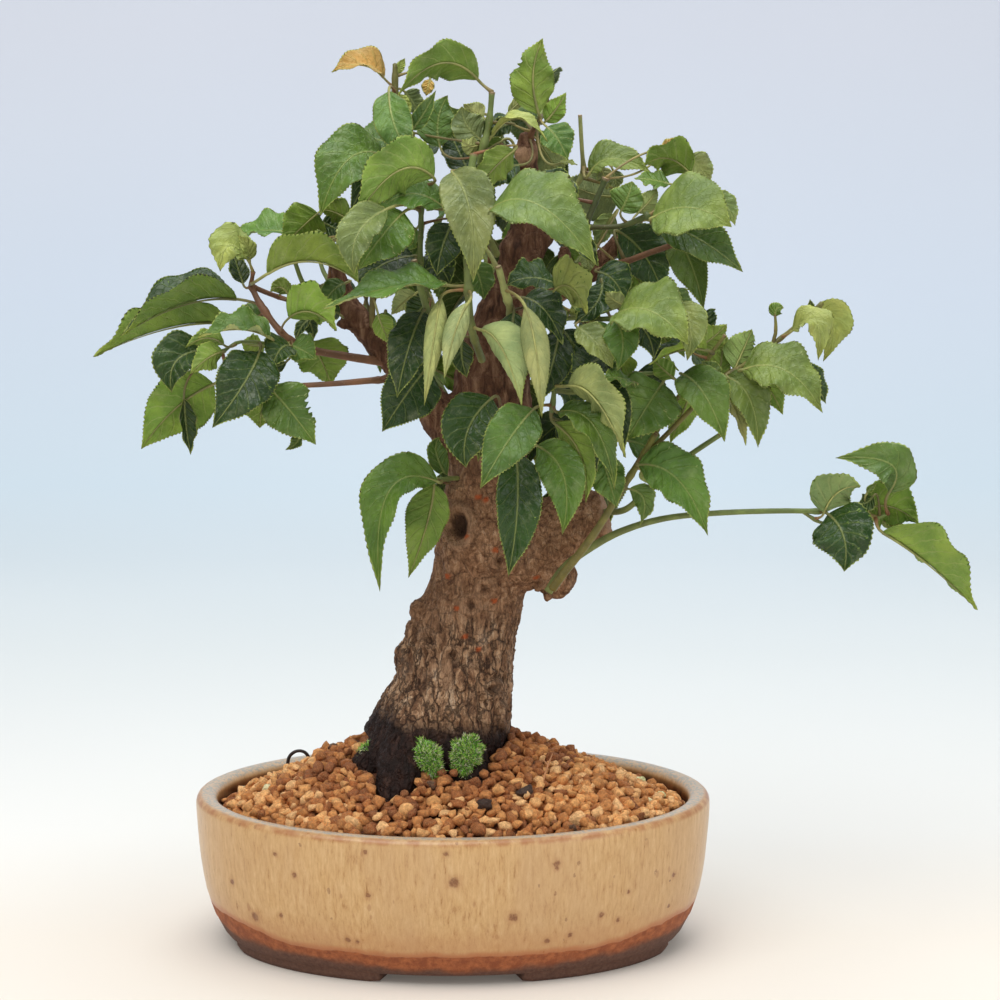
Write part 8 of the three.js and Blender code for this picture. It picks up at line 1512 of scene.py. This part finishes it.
make_pot(M_POT)
trunk = make_trunk(M_BARK)
TRUNK = tree_of(trunk)
grains = make_soil(M_GRAIN, M_BED, TRUNK)
for si, nm in enumerate(SHOOTS):
    make_shoot(si, nm, [M_STEM, M_TOP, M_UNDER])
make_moss("moss_tuft_middle", "moss_middle", (-12, -40.5, 105), (7.2, 4.6, 9.2), (-2.2, 2.6, 0), 2600, 3, M_MOSS, TRUNK)
make_moss("moss_tuft_right", "moss_right", (7.5, -38.5, 106), (8.2, 5.2, 9.4), (1.0, 2.6, 0), 3000, 4, M_MOSS, TRUNK)
make_moss("moss_tuft_left", "moss_left", (-41.5, -19, 101.5), (5.0, 5.2, 5.6), (1.0, 1.0, 0), 1500, 5, M_MOSS, TRUNK)
make_stone("dark_grain_front", "dark_stone_front", 16, -66, 3.4, [4.6, 4.0, 6.0], 21, srgb(62, 44, 36), M_STONE)
make_stone("dark_grain_side", "dark_stone_side", 36, -53, 2.4, [5.0, 4.2, 4.4], 22, srgb(66, 50, 42), M_STONE)

twig = [[45, -44, -0.5, 0.45], [45.6, -39, 1.8, 0.55], [47.5, -31, 3.4, 0.5], [49.0, -26, 4.9, 0.42], [50, -24, 6.6, 0.25]]
tw = np.array([[x, y, float(soil_height(np.array(float(x)), np.array(float(y))) - back_dip(math.hypot(x / SA, y / SB), y)) + dz, r] for x, y, dz, r in twig])
tw2 = np.array([[47.5, -31, tw[2, 2], 0.4], [46.0, -29, tw[2, 2] + 1.6, 0.3], [44.5, -28.5, tw[2, 2] + 2.2, 0.18]])
parts = [tube(catmull(t, 1.0), 8, True) for t in (tw, tw2)]
nv0 = len(parts[0][0])
make("root_bit", np.vstack([parts[0][0], parts[1][0]]), [np.vstack([parts[0][1], parts[1][1] + nv0]), np.vstack([parts[0][2], parts[1][2] + nv0])], [M_WIRE],
     attrs={"tint": np.tile([*srgb(196, 138, 92), 1], (nv0 + len(parts[1][0]), 1))}, nodes=["loose_root_bit"])
wl = catmull(np.array([[-86, 40, 70, 0.9], [-86.3, 40, 81.5, 0.9], [-84, 40, 86, 0.9], [-80, 40, 87.4, 0.85], [-76.5, 40.3, 85.6, 0.9], [-75.4, 40.6, 81, 0.9], [-75.6, 41, 70, 0.9]]), 0.8)
wv, wq, wt = tube(wl, 12, False)
make("wire_loop", wv, [wq, wt], [M_WIRE], attrs={"tint": np.tile([*srgb(48, 38, 36), 1], (len(wv), 1))}, nodes=["anchor_wire"])

for nm in ("drain_screen_right", "drain_screen_left"):
    g = Mat(nm + "_mesh", 0.7)
    p = g.obj()
    n1 = g.noise(p, 300, 3)
    m = g.done(g.mix(g.fit(n1, 0.35, 0.7), srgb(24, 24, 26), srgb(58, 56, 54)), g.add(0.55, g.mul(n1, 0.3)), g.bump(g.noise(p, 1500, 2), 0.4, 0.2))
    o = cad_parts[nm]
    if len(o.material_slots):
        o.material_slots[0].material = m
    else:
        o.data.materials.append(m)

# ------------------------------------------------------------------ look and finish
sc = bpy.context.scene
sc.view_settings.view_transform = "Standard"
sc.view_settings.look = "None"
sc.view_settings.exposure = 0.14
bpy.context.view_layer.update()
